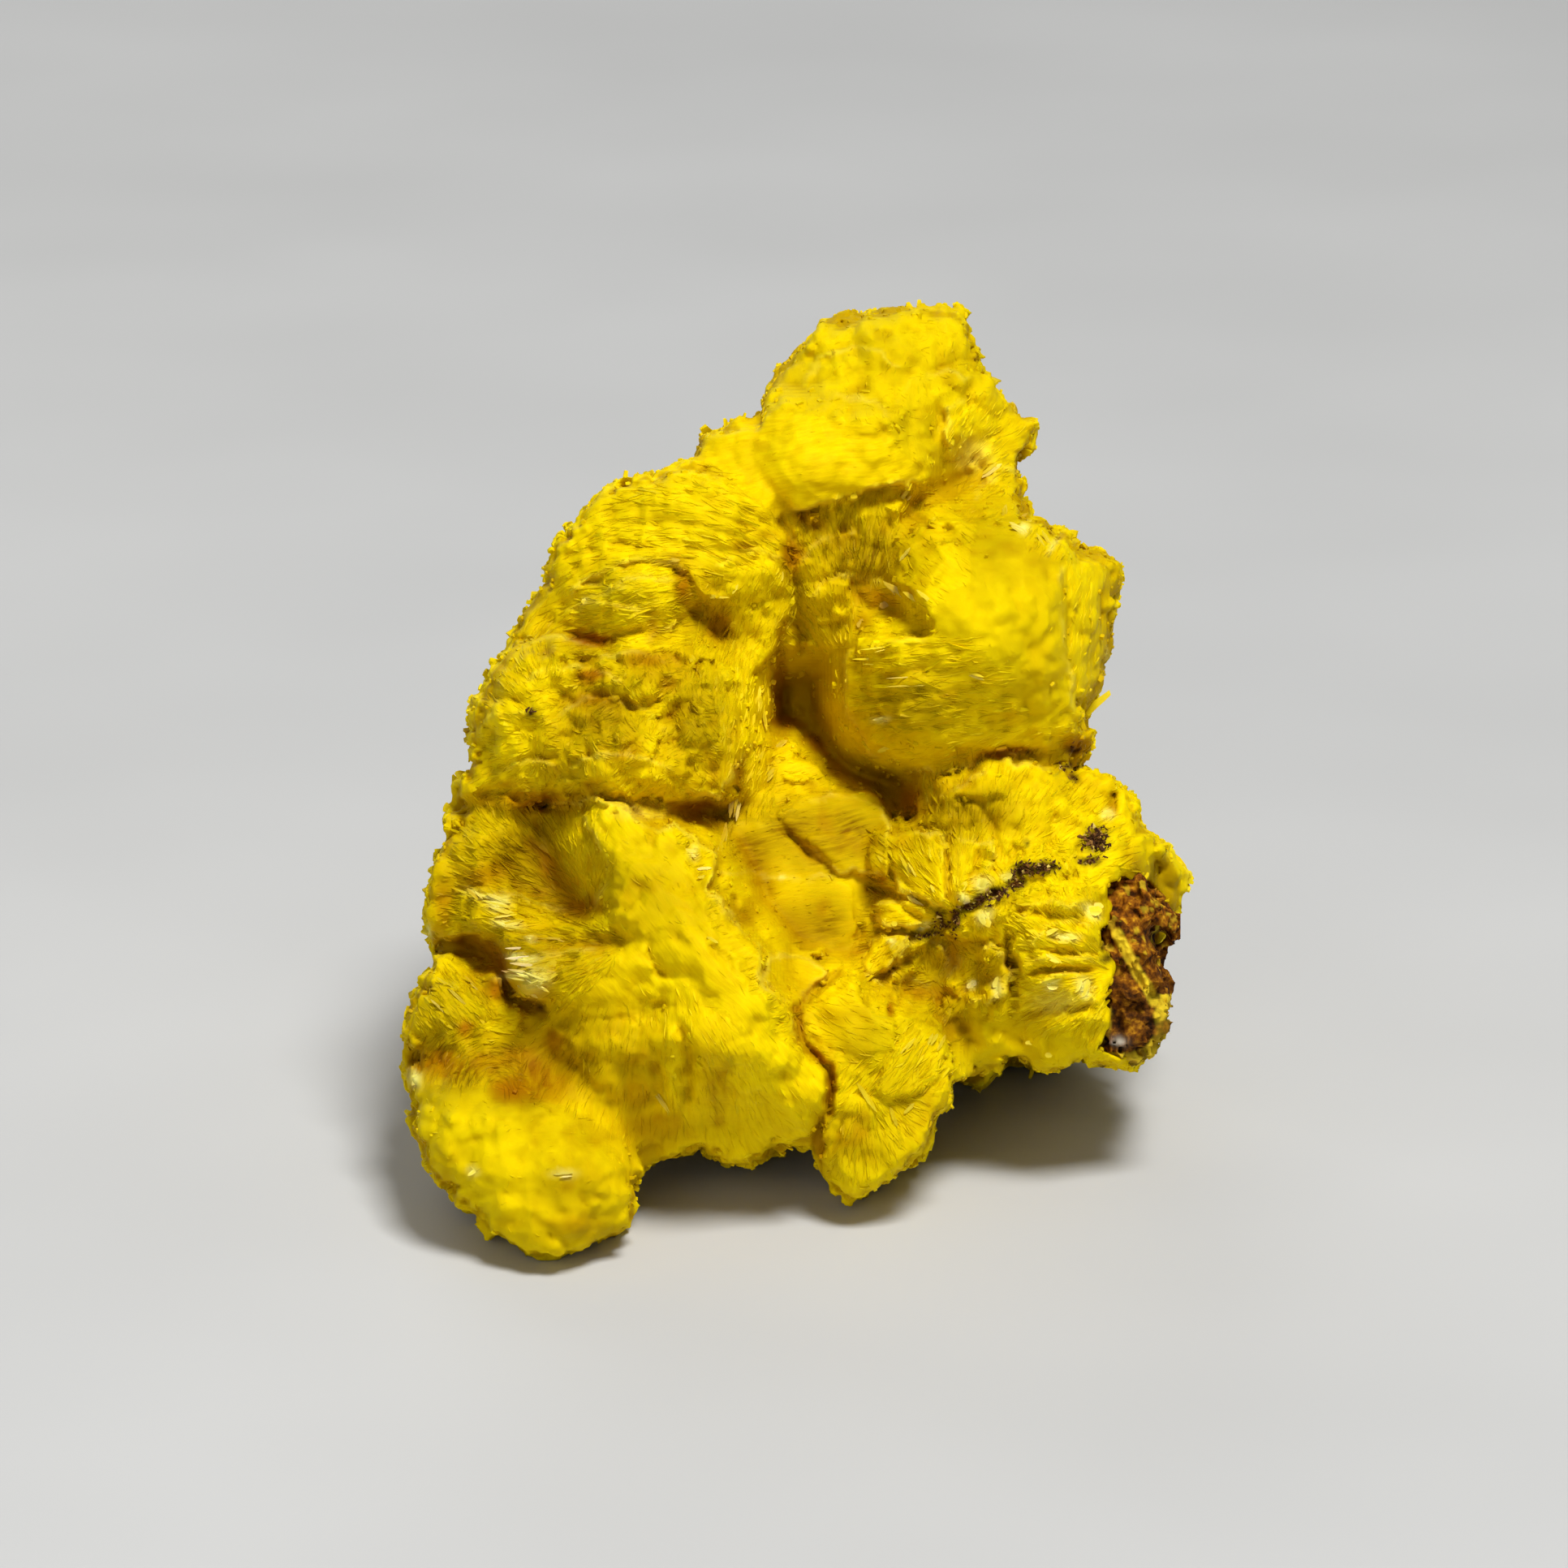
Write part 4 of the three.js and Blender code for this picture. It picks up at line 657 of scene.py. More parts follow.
    dict(n="K2", k="line", lump=0.04, th=50, sp=11, amp=0.062, out=0.08, dens=1.4, len=30,
         p=[(1030, 1310), (1105, 1300), (1110, 1255), (1160, 1250), (1175, 1300), (1165, 1345), (1110, 1358), (1040, 1350)]),
    dict(n="K3", k="fan", lump=0.05, c=(1066, 1335), sp=14, amp=0.06, out=0.07, dens=1.2, len=26,
         p=[(1020, 1360), (1040, 1350), (1110, 1358), (1170, 1345), (1160, 1440), (1047, 1490), (1000, 1420)]),
    dict(n="K5", k="line", lump=0.01, th=-10, sp=50, amp=0.010, out=0.02, dens=0.05, len=8,
         p=[(935, 1170), (1035, 1185), (1035, 1205), (975, 1250), (935, 1210)]),
    dict(n="P", k="grain", lump=0.1, sp=50, amp=0.040, out=0.03, dens=0.2, len=9,
         p=[(1395, 1000), (1480, 1060), (1470, 1160), (1425, 1170), (1400, 1080)]),
    dict(n="Q", k="grain", lump=0.08, sp=50, amp=0.032, out=0.03, dens=0.2, len=9,
         p=[(1150, 1260), (1250, 1255), (1365, 1290), (1340, 1330), (1180, 1350)]),
]

# the rim of the brown crumb
CEDGE = [(1366, 1092), (1385, 1080), (1400, 1094), (1418, 1108), (1430, 1128), (1444, 1138), (1440, 1155), (1426, 1172),
         (1420, 1188), (1430, 1212), (1431, 1232), (1424, 1250), (1428, 1272), (1414, 1292), (1394, 1300), (1362, 1300),
         (1354, 1290), (1364, 1274), (1368, 1250), (1362, 1230), (1371, 1210), (1374, 1190), (1361, 1172), (1356, 1160),
         (1356, 1148), (1369, 1138), (1372, 1120), (1364, 1105)]

# orange-brown stains, also painted shade in crevices and hollows: px, py, radii px, turn, strength of the orange-brown
STAIN_AND_SHADE = [
    (1000, 1036, 60, 36, 0, 0.06), (950, 1050, 30, 30, 0, 0.04),
    (864, 735, 22, 34, 12, 0.3), (812, 826, 34, 14, 0, 0.35), (770, 930, 22, 18, 0, 0.3), (655, 1315, 40, 24, 20, 0.3), (590, 985, 30, 10, 0, 0.3),
    (975, 685, 13, 20, 0, 0.9), (915, 672, 12, 8, 0, 0.6), (842, 722, 12, 24, 0, 0.7), (885, 768, 16, 22, 0, 0.62),
    (830, 690, 22, 8, 0, 0.4), (728, 832, 18, 10, 0, 0.8), (730, 788, 26, 9, 0, 0.9), (805, 772, 7, 24, 0, 0.5),
    (800, 812, 36, 11, 0, 0.6), (822, 842, 14, 10, 0, 0.6), (655, 986, 42, 12, 0, 0.9), (600, 985, 14, 10, 0, 0.7),
    (625, 965, 20, 8, 0, 0.5), (728, 975, 12, 12, 0, 0.5), (765, 930, 10, 14, 0, 0.5), (735, 862, 30, 10, 0, 0.5),
    (590, 1080, 26, 12, 0, 0.6), (545, 1115, 12, 34, 0, 0.5), (585, 1168, 40, 14, -15, 0.58), (618, 1192, 11, 20, 0, 0.8),
    (650, 1240, 18, 6, -25, 1.0), (615, 1220, 18, 16, 0, 0.8), (574, 1266, 10, 8, 0, 0.7), (630, 1342, 24, 18, 0, 0.7),
    (686, 1282, 14, 14, 0, 0.6), (600, 1310, 24, 16, 0, 0.4), (545, 1312, 20, 14, 0, 0.5), (962, 850, 10, 56, 0, 0.5),
    (970, 890, 24, 8, -10, 0.8), (1003, 916, 22, 10, -35, 0.7), (1036, 946, 20, 13, -40, 0.45), (1068, 960, 32, 12, -5, 0.4),
    (1120, 987, 14, 18, 0, 0.7), (1010, 870, 34, 60, 0, 0.15), (1075, 735, 24, 11, 0, 0.6), (1063, 765, 12, 12, 0, 0.5),
    (1165, 600, 12, 22, 0, 0.12), (1190, 632, 20, 7, 0, 0.2), (1000, 642, 20, 12, 0, 0.5), (1023, 1340, 6, 34, 0, 0.7),
    (985, 1262, 6, 26, 0, 0.6), (1008, 1302, 18, 6, -35, 0.7), (980, 1243, 8, 6, 0, 0.8), (1010, 1400, 12, 30, 0, 0.35),
    (1096, 1240, 5, 14, 0, 0.8), (1235, 928, 34, 5, 8, 0.8), (1172, 1175, 10, 24, 0, 0.6), (1150, 1225, 44, 10, 0, 0.4),
    (925, 1120, 16, 22, 0, 0.28), (1000, 1052, 16, 9, -40, 0.35), (1085, 1080, 10, 10, 0, 0.4), (1325, 918, 14, 12, 0, 0.7),
    (715, 1118, 22, 12, 0, 0.8), (680, 1070, 12, 30, 30, 0.35), (735, 1165, 26, 12, 0, 0.4), (850, 995, 28, 8, 0, 0.7),
    (910, 950, 6, 20, 20, 0.6), (800, 1390, 50, 20, 0, 0.3), (880, 1340, 20, 34, 0, 0.3), (785, 1345, 22, 18, 0, 0.35),
    (710, 1510, 30, 14, 0, 0.35), (1370, 985, 5, 22, 0, 0.4), (715, 780, 10, 10, 0, 0.5), (945, 660, 16, 8, 0, 0.4),
    (880, 960, 8, 20, 0, 0.3), (690, 1340, 30, 20, 0, 0.3), (1045, 1400, 24, 30, 0, 0.2), (1395, 1060, 12, 20, 30, 0.4),
]
# shaded, greener places, painted as darker colour where shade falls: px, py, radii px, turn, strength
PAINTED_SHADE = [
    (1090, 440, 60, 50, 0, 0.18), (650, 860, 50, 40, 0, 0.18), (1120, 860, 60, 40, 0, 0.16), (1000, 1240, 40, 30, 0, 0.1),
    (1010, 1030, 96, 56, 0, 0.95), (940, 1045, 60, 40, 0, 0.74), (1004, 1056, 44, 11, -42, 0.85), (914, 1126, 20, 18, -40, 0.5),
    (1016, 1134, 60, 46, 0, 0.72), (950, 1100, 24, 20, 0, 0.1), (1075, 1085, 26, 60, 0, 0.55), (1045, 955, 70, 30, -25, 0.1), (1125, 985, 60, 34, 0, 0.75),
    (860, 880, 46, 90, 0, 0.68), (865, 1000, 34, 18, 0, 0.9), (700, 950, 44, 34, 0, 0.42), (740, 880, 60, 50, 0, 0.78),
    (760, 730, 44, 30, 0, 0.25), (700, 800, 60, 26, 0, 0.56), (780, 830, 60, 30, 0, 0.36), (880, 765, 60, 60, 0, 0.34),
    (1060, 680, 84, 60, 0, 0.80), (990, 740, 50, 56, 0, 0.45), (1120, 870, 70, 50, 0, 0.60), (1200, 915, 100, 34, 0, 0.3),
    (1240, 860, 90, 40, 0, 0.22), (645, 1062, 78, 58, -35, 0.98), (590, 1010, 40, 40, 0, 0.4), (560, 1090, 34, 70, 0, 0.42),
    (640, 1180, 70, 50, 0, 0.82), (700, 1160, 60, 50, 0, 0.35), (570, 1172, 44, 26, 0, 0.08), (720, 1300, 110, 60, 0, 0.68),
    (640, 1325, 60, 60, 0, 1.0), (830, 1388, 150, 24, 0, 0.16), (812, 1304, 16, 24, -28, 0.45), (846, 1346, 8, 24, -18, 0.5), (856, 1304, 14, 10, 24, 0.4), (880, 1352, 6, 22, 14, 0.45), (898, 1312, 8, 14, -10, 0.4), (792, 1358, 30, 12, 30, 0.5), (760, 1288, 32, 14, -20, 0.5), (742, 1342, 28, 12, 40, 0.5), (826, 1380, 14, 8, 30, 0.4), (868, 1384, 10, 16, 25, 0.35), (870, 1310, 40, 30, 0, 0.05), (800, 1100, 70, 90, 40, 0.48), (1235, 665, 76, 66, 0, 0.42), (780, 640, 70, 40, 0, 0.08), (550, 1240, 60, 50, 0, 0.56),
    (560, 1315, 64, 50, 0, 0.86), (700, 1400, 60, 30, 0, 0.35), (700, 1460, 50, 40, 0, 0.56), (560, 1425, 44, 40, 0, 0.24), (760, 1500, 40, 40, 0, 0.2), (1060, 1410, 60, 50, 0, 0.35), (1060, 1270, 50, 40, 0, 0.46), (1120, 1340, 60, 50, 0, 0.28),
    (1110, 1065, 34, 44, 0, 0.22), (740, 1060, 30, 60, 0, 0.2), (1180, 1000, 90, 40, 10, 0.80), (1140, 1190, 54, 40, 0, 0.52), (1210, 1195, 44, 40, 0, 0.52),
    (1170, 1250, 60, 40, 0, 0.55), (1300, 960, 60, 26, 0, 0.26), (1240, 1100, 40, 30, 0, 0.20),
    (900, 1160, 60, 60, 0, 0.10), (1350, 790, 26, 80, 0, 0.10), (620, 760, 40, 40, 0, 0.3),
    (500, 1420, 20, 60, 20, 0.3), (700, 1510, 100, 26, 0, 0.3), (1145, 640, 40, 24, 0, 0.15),
    (930, 560, 34, 30, 0, 0.16), (1180, 450, 40, 40, 0, 0.18), (1000, 500, 40, 30, 0, 0.12), (1130, 520, 60, 40, 0, 0.16), (1220, 680, 60, 44, 0, 0.26),
]
# pale, glassy places, painted highlights of glints and lit spots: px, py, radii px, turn, strength
PAINTED_HIGHLIGHT = [
    (612, 1112, 14, 10, 0, 0.8), (625, 1137, 16, 5, -10, 1.0), (645, 1180, 22, 4, -3, 0.9), (640, 1200, 24, 5, 12, 0.9),
    (660, 1210, 18, 18, 0, 0.5), (586, 1103, 12, 5, -40, 0.4), (656, 1158, 6, 5, 0, 0.6), (582, 1444, 8, 8, 40, 0.5),
    (694, 1446, 16, 6, 0, 0.4), (855, 1052, 6, 10, 0, 0.4), (965, 1079, 4, 3, 0, 0.6), (1086, 885, 12, 4, 10, 0.6),
    (1345, 1122, 13, 8, -35, 0.9), (1312, 1154, 16, 5, 0, 0.9), (1297, 1215, 8, 6, 0, 0.9), (1336, 1219, 8, 14, 20, 0.9),
    (1197, 1213, 7, 5, 30, 0.9), (1228, 1216, 6, 12, 0, 0.8), (1210, 1090, 12, 8, 0, 0.8), (1188, 1108, 9, 6, -30, 0.9),
    (1213, 1130, 10, 12, -30, 0.7), (1138, 1141, 10, 4, 20, 0.8), (1365, 1003, 8, 6, 0, 0.6), (1099, 1160, 4, 4, 0, 0.8),
    (1300, 1235, 30, 14, 0, 0.22), (1200, 560, 24, 20, 0, 0.2), (1368, 830, 4, 26, 8, 0.7), (1262, 652, 8, 5, 30, 0.8), (1298, 672, 4, 14, -35, 0.4), (510, 1330, 8, 12, 30, 0.8),
    (528, 1148, 4, 8, 0, 0.7), (720, 741, 4, 4, 0, 0.6), (1240, 1080, 8, 5, 0, 0.6), (780, 1000, 30, 10, 0, 0.1),
]
# small dark spots: px, py, radii px, turn, strength
DARK = [
    (655, 877, 5, 6, 0, 1.0), (1325, 750, 3, 3, 0, 0.9), (1314, 723, 3, 2, 0, 0.4), (1325, 924, 9, 5, 0, 0.9),
    (1313, 945, 10, 5, 0, 0.9), (1324, 959, 6, 8, 40, 0.9), (1349, 1035, 19, 18, 0, 1.0), (1341, 1061, 15, 6, 5, 1.0),
    (1264, 1038, 4, 5, 0, 0.8), (1143, 1150, 26, 4, 5, 0.85), (1158, 1132, 7, 14, 20, 1.0), (1178, 1130, 8, 16, -5, 1.0),
    (1168, 1141, 14, 5, 0, 1.0), (1192, 1116, 14, 7, 25, 1.0), (1208, 1107, 14, 9, 25, 1.0), (1228, 1101, 14, 7, 15, 1.0),
    (1252, 1089, 14, 8, 20, 1.0), (1262, 1072, 18, 9, 10, 1.0), (1287, 1070, 18, 10, 5, 1.0), (1266, 927, 6, 4, 0, 0.9),
    (1105, 1219, 4, 4, 0, 0.5), (665, 1245, 7, 5, 0, 0.8), (965, 880, 8, 8, 0, 0.35), (1005, 912, 10, 5, -35, 0.35),
    (622, 1195, 7, 12, 0, 0.3), (1360, 1165, 7, 8, 0, 0.8), (1363, 1180, 8, 7, 0, 0.8),
]
# ------------------------------------------------------------------ the front, as maps
RS = 2.0
RX = np.arange(466.0, 1490.0, RS)
RY = np.arange(350.0, 1578.0, RS)
MX, MY = np.meshgrid(RX, RY, indexing="ij")
JX = MX + 2.6 * noise2(MX / 13, MY / 13, 301) + 1.6 * noise2(MX / 5.5, MY / 5.5, 302)
JY = MY + 2.6 * noise2(MX / 13, MY / 13, 303) + 1.6 * noise2(MX / 5.5, MY / 5.5, 304)


def read(m, px, py):
    """Bilinear reading of a front map."""
    x = np.clip((px - RX[0]) / RS, 0, len(RX) - 1.001)
    y = np.clip((py - RY[0]) / RS, 0, len(RY) - 1.001)
    i, j = x.astype(int), y.astype(int)
    fx, fy = x - i, y - j
    return ((m[i, j] * (1 - fx) + m[i + 1, j] * fx) * (1 - fy)
            + (m[i, j + 1] * (1 - fx) + m[i + 1, j + 1] * fx) * fy)


def pick(m, px, py):
    i = np.clip(np.rint((px - RX[0]) / RS), 0, len(RX) - 1).astype(int)
    j = np.clip(np.rint((py - RY[0]) / RS), 0, len(RY) - 1).astype(int)
    return m[i, j]


def blobs(rows, wide=1.0, strong=1.0):
    m = np.zeros_like(MX)
    for px, py, rx, ry, turn, s in rows:
        rx, ry, s = rx * wide, ry * wide, s * strong
        R = 2.6 * max(rx, ry) + 8
        i0, i1 = np.searchsorted(RX, (px - R, px + R))
        j0, j1 = np.searchsorted(RY, (py - R, py + R))
        x, y = JX[i0:i1, j0:j1] - px, JY[i0:i1, j0:j1] - py
        a = math.radians(turn)
        u, v = x * math.cos(a) - y * math.sin(a), x * math.sin(a) + y * math.cos(a)
        m[i0:i1, j0:j1] = np.maximum(m[i0:i1, j0:j1], s * np.exp(-1.3 * ((u / rx) ** 2 + (v / ry) ** 2) ** 1.3))
    return np.minimum(m, 1.0) if strong > 1 else m


def swells(rows):
    m = np.zeros_like(MX)
    for px, py, rx, ry, turn, s in rows:
        a = math.radians(turn)
        x, y = JX - px, JY - py
        u, v = x * math.cos(a) - y * math.sin(a), x * math.sin(a) + y * math.cos(a)
        m += s * np.exp(-0.9 * ((u / rx) ** 2 + (v / ry) ** 2))
    return m


def facets(x, y, size, seed):
    """Irregular cells: id hashes and offset from the cell's middle."""
    gx, gy = x / size, y / size
    ix, iy = np.floor(gx).astype(np.int64), np.floor(gy).astype(np.int64)
    best = np.full(x.shape, 1e9)
    out = [np.zeros(x.shape) for _ in range(6)]
    zero = np.zeros_like(ix)
    for dx in (-1, 0, 1):
        for dy in (-1, 0, 1):
            cx, cy = ix + dx, iy + dy
            fx = cx + 0.5 + 0.42 * _hash(cx, cy, zero, seed)
            fy = cy + 0.5 + 0.42 * _hash(cx, cy, zero, seed + 1)
            d = (gx - fx) ** 2 + (gy - fy) ** 2
            u = d < best
            best = np.where(u, d, best)
            vals = ((gx - fx) * size, (gy - fy) * size, _hash(cx, cy, zero, seed + 2), _hash(cx, cy, zero, seed + 3),
                    _hash(cx, cy, zero, seed + 4), _hash(cx, cy, zero, seed + 5))
            for k in range(6):
                out[k] = np.where(u, vals[k], out[k])
    return out


def grain_coords(g, seed, x, y):
    """Across and along coordinates (px) of the plates and their direction."""
    k = g["k"]
    if k == "line":
        w = 7.0 * noise2(x / 60, y / 60, seed + 5)
        a = math.radians(g["th"])
        c, s = math.cos(a), math.sin(a)
        return x * s + y * c + w, x * c - y * s, np.full(x.shape, c), np.full(x.shape, -s)
    if k in ("fan", "arc"):
        cx, cy = g["c"]
        pc = np.mean(np.array(g["p"]), 0)
        rr = math.hypot(pc[0] - cx, pc[1] - cy)
        rr = max(rr, 40.0)
        r = np.hypot(x - cx, y - cy) + 1e-6
        ang = np.arctan2(y - cy, x - cx)
        ref = math.atan2(pc[1] - cy, pc[0] - cx)
        ang = (ang - ref + math.pi) % (2 * math.pi) - math.pi
        w = 0.06 * noise2(x / 45, y / 45, seed + 5)
        if k == "fan":
            return (ang + w) * rr, r, (x - cx) / r, (y - cy) / r
        return r + w * 60, ang * rr, -(y - cy) / r, (x - cx) / r
    if k == "facet":
        wx = x + 5 * noise2(x / 17, y / 17, seed + 6)
        wy = y + 5 * noise2(x / 17, y / 17, seed + 7)
        dx, dy, h1, h2, h3, h4 = facets(wx, wy, g["sp"], seed)
        a = h1 * math.pi
        c, s = np.cos(a), np.sin(a)
        return x * s + y * c, x * c - y * s, c, -s
    a = 3.0 * noise2(x / 30, y / 30, seed + 8)
    c, s = np.cos(a), np.sin(a)
    return x * s + y * c, x * c - y * s, c, -s


def grain_height(g, seed, x, y, u, v):
    sp, amp = g["sp"], g["amp"]
    if g["k"] == "grain":
        n = 0.6 * noise2(x / (sp * 0.7), y / (sp * 0.7), seed) + 0.4 * noise2(x / (sp * 0.33), y / (sp * 0.33), seed + 1)
        return amp * (n - 0.35 * np.abs(noise2(x / (sp * 0.5), y / (sp * 0.5), seed + 2)))
    if g["k"] == "facet":
        wx = x + 5 * noise2(x / 17, y / 17, seed + 6)
        wy = y + 5 * noise2(x / 17, y / 17, seed + 7)
        dx, dy, h1, h2, h3, h4 = facets(wx, wy, sp, seed)
        h = 0.45 * h2 + (h3 * dx + h4 * dy) / (0.5 * sp) * 0.7
        return amp * (h + 0.3 * (1 - 2 * np.abs(noise2(u / 7.0, v / 26.0, seed + 3))) + 0.5 * noise2(x / 60, y / 60, seed + 4))
    n1 = noise2(u / (sp * 0.66), v / (sp * 3.2), seed)
    n2 = noise2(u / (sp * 1.5), v / (sp * 4.5), seed + 1)
    n3 = noise2(x / 22, y / 22, seed + 2)
    return amp * (0.62 * (1 - 2 * np.abs(n1)) + 0.38 * n2 + 0.25 * n3) * (0.75 + 0.35 * noise2(x / 40, y / 40, seed + 4))


def domes(x, y, size, seed):
    """Rounded clumps with sharp valleys between them, -1 to 1."""
    wx = x + size * 0.22 * noise2(x / (size * 0.6), y / (size * 0.6), seed + 8)
    wy = y + size * 0.22 * noise2(x / (size * 0.6), y / (size * 0.6), seed + 9)
    dx, dy, h1, h2, h3, h4 = facets(wx, wy, size, seed)
    r2 = (dx * dx + dy * dy) / (size * size)
    return np.clip(1.0 - 3.4 * r2, -1, 1) * (0.75 + 0.25 * h1) + 0.35 * h2


LUMPS = (domes(MX, MY, 66.0, 701) * 1.25 + domes(MX, MY, 34.0, 711) * 0.95 + domes(MX, MY, 17.0, 721) * 0.5)
GID = np.full(MX.shape, -1)
GH = 0.04 * noise2(MX / 16, MY / 16, 401) + 0.08 * LUMPS
GU, GV = MX.copy(), MY.copy()
GDX, GDY = np.ones_like(MX), np.zeros_like(MX)
for gi, g in enumerate(GRAIN):
    pad = 14
    xs, ys = [q[0] for q in g["p"]], [q[1] for q in g["p"]]
    i0, i1 = np.searchsorted(RX, (min(xs) - pad, max(xs) + pad))
    j0, j1 = np.searchsorted(RY, (min(ys) - pad, max(ys) + pad))
    sl = (slice(i0, i1), slice(j0, j1))
    x, y = MX[sl], MY[sl]
    s = inside(g["p"], JX[sl], JY[sl]) + 5 * noise2(x / 20, y / 20, 500 + gi)
    u, v, dx, dy = grain_coords(g, 1000 + 20 * gi, x, y)
    h = grain_height(g, 1000 + 20 * gi, x, y, u, v) + g["lump"] * LUMPS[sl]
    m = step(0.5 + s / 16.0)
    GH[sl] = GH[sl] * (1 - m) + h * m
    on = s > 0
    for M, val in ((GID, np.full(x.shape, gi)), (GU, u), (GV, v), (GDX, dx), (GDY, dy)):
        M[sl] = np.where(on, val, M[sl])


def per_grain(key, default, scale=1.0):
    vals = np.array([g.get(key, default) for g in GRAIN] + [default], float) * scale
    return vals[GID]


G_OUT, G_DENS, G_LEN = per_grain("out", 0.05), per_grain("dens", 0.8), per_grain("len", 14)

HMAP = GH + swells(SWELL)
for poly, gx, gy, soft in LEAN:
    s = inside(poly, MX, MY)
    mid = np.mean(np.array(poly), 0)
    HMAP += step(s / soft) * ((MX - mid[0]) * gx + (MY - mid[1]) * gy) / PXMM
for poly, rise, gx, gy in PLATE:
    s = inside(poly, JX, JY)
    mid = np.mean(np.array(poly), 0)
    HMAP += step(s / 5.0 + 0.5) * (rise + ((MX - mid[0]) * gx + (MY - mid[1]) * gy) / PXMM)
for line, wide, high, taper in GROOVE:
    d, t = along(line, JX, JY)
    f = np.exp(-(d / wide) ** 2)
    if taper:
        f = f * step(t * 4 + 0.15) * step((1 - t) * 4 + 0.15)
    HMAP += high * f


def ledge(line, x, y):
    """Signed distance to a line, positive on its right hand, and place along it."""
    pts = np.array(line, float)
    best = np.full(x.shape, 1e9)
    sd, tt = np.zeros(x.shape), np.zeros(x.shape)
    seg = np.hypot(*(pts[1:] - pts[:-1]).T)
    run = np.concatenate([[0], np.cumsum(seg)])
    for a, b_, s0, L in zip(pts[:-1], pts[1:], run[:-1], seg):
        e = (b_ - a) / L
        u = (x - a[0]) * e[0] + (y - a[1]) * e[1]
        cr_ = e[0] * (y - a[1]) - e[1] * (x - a[0])
        uc = np.clip(u, 0, L)
        d = np.hypot(x - a[0] - e[0] * uc, y - a[1] - e[1] * uc)
        m = d < best - 1e-9
        best = np.where(m, d, best)
        sd = np.where(m, np.where(cr_ >= 0, d, -d), sd)
        tt = np.where(m, (s0 + uc) / run[-1], tt)
    return sd, tt


WX = MX + 5.0 * noise2(MX / 22, MY / 22, 309) + 3.0 * noise2(MX / 9, MY / 9, 311) + 1.6 * noise2(MX / 4, MY / 4, 312)
WY = MY + 5.0 * noise2(MX / 22, MY / 22, 310) + 3.0 * noise2(MX / 9, MY / 9, 313) + 1.6 * noise2(MX / 4, MY / 4, 314)
BREAK = np.clip(0.66 + 0.85 * noise2(MX / 26, MY / 26, 315) + 0.35 * noise2(MX / 11, MY / 11, 316), 0.08, 1.2)
RIM = np.zeros_like(MX)
for line, up_h, up_w, dn_h, dn_w in LEDGE:
    xs, ys = [q[0] for q in line], [q[1] for q in line]
    pad = 3.2 * max(up_w, dn_w)
    i0, i1 = np.searchsorted(RX, (min(xs) - pad, max(xs) + pad))
    j0, j1 = np.searchsorted(RY, (min(ys) - pad, max(ys) + pad))
    s, t = ledge(line, WX[i0:i1, j0:j1], WY[i0:i1, j0:j1])
    ends = step(t * 9 + 0.1) * step((1 - t) * 9 + 0.1)
    if math.hypot(xs[0] - xs[-1], ys[0] - ys[-1]) < 45:
        ends = 1.0
    a = step(s / 4.5 + 0.5)
    h = a * up_h * np.exp(-np.maximum(s, 0) / up_w) - (1 - a) * dn_h * np.exp(-np.maximum(-s, 0) / dn_w)
    ends = ends * BREAK[i0:i1, j0:j1]
    HMAP[i0:i1, j0:j1] += h * ends
    RIM[i0:i1, j0:j1] = np.maximum(RIM[i0:i1, j0:j1], ends * np.exp(-((s - 2.5) / 2.2) ** 2))
SOUT = inside(OUTLINE, JX, JY)
M_STAIN_AND_SHADE, M_PAINTED_SHADE, M_PAINTED_HIGHLIGHT, M_DARK = blobs(STAIN_AND_SHADE, 1.22, 1.3), blobs(PAINTED_SHADE), blobs(PAINTED_HIGHLIGHT), blobs(DARK)

# ------------------------------------------------------------------ the mass, as a field
STEP = 3.9
GX = np.arange(480.0, 1477.0, STEP)
GY = np.arange(362.0, 1567.0, STEP)
lv = [-9.0]
while lv[-1] < 5.2:
    lv.append(lv[-1] + 0.072 + 0.06 * min(1.0, max(0.0, (-1.5 - lv[-1]) / 4.0)))
GD = np.array(lv)
KK = 1.0 - GD / DIST
VX, VY = (GX - 966.0) / PXMM, (966.0 - GY) / PXMM
SHAPE = (len(GX), len(GY), len(GD))
AX = (GX / PXMM, GY / PXMM, GD)
WARP = [(0.17 * grid_noise(AX[0] / 1.7, AX[1] / 1.7, AX[2] / 1.7, 50 + k)
         + 0.07 * grid_noise(AX[0] / 0.75, AX[1] / 0.75, AX[2] / 0.75, 60 + k)) for k in range(3)]


def span(row, margin):
    _, px, py, d, rx, ry, rd, roll = row
    c, s = math.cos(math.radians(roll)), math.sin(math.radians(roll))
    ex = math.hypot(rx * c, ry * s) + margin * PXMM
    ey = math.hypot(rx * s, ry * c) + margin * PXMM
    i0, i1 = np.searchsorted(GX, (px - ex, px + ex))
    j0, j1 = np.searchsorted(GY, (py - ey, py + ey))
    k0, k1 = np.searchsorted(GD, (d - rd - margin, d + rd + margin))
    return [i0, i1, j0, j1, k0, k1]


def lobe_at(row, x, y, z):
    """Distance to one lobe from view coordinates in mm."""
    _, px, py, d, rx, ry, rd, roll = row
    k = 1 - d / DIST
    c, s = math.cos(math.radians(roll)), math.sin(math.radians(roll))
    rx, ry = rx / PXMM * k, ry / PXMM * k
    x, y, z = x - (px - 966.0) / PXMM * k, y - (966.0 - py) / PXMM * k, z - d
    q1, q2, q3 = (c * x + s * y) / rx, (c * y - s * x) / ry, z / rd
    kq = np.sqrt(q1 * q1 + q2 * q2 + q3 * q3) + 1e-6
    return kq * (kq - 1) / (np.sqrt((q1 / rx) ** 2 + (q2 / ry) ** 2 + (q3 / rd) ** 2) + 1e-6)


def group_of(name):
    if name.startswith("core") or name[0] == "X" or name == "L4":
        return "core"
    if name == "K5":
        return "K5"
    return {"J": "G"}.get(name[0], name[0])
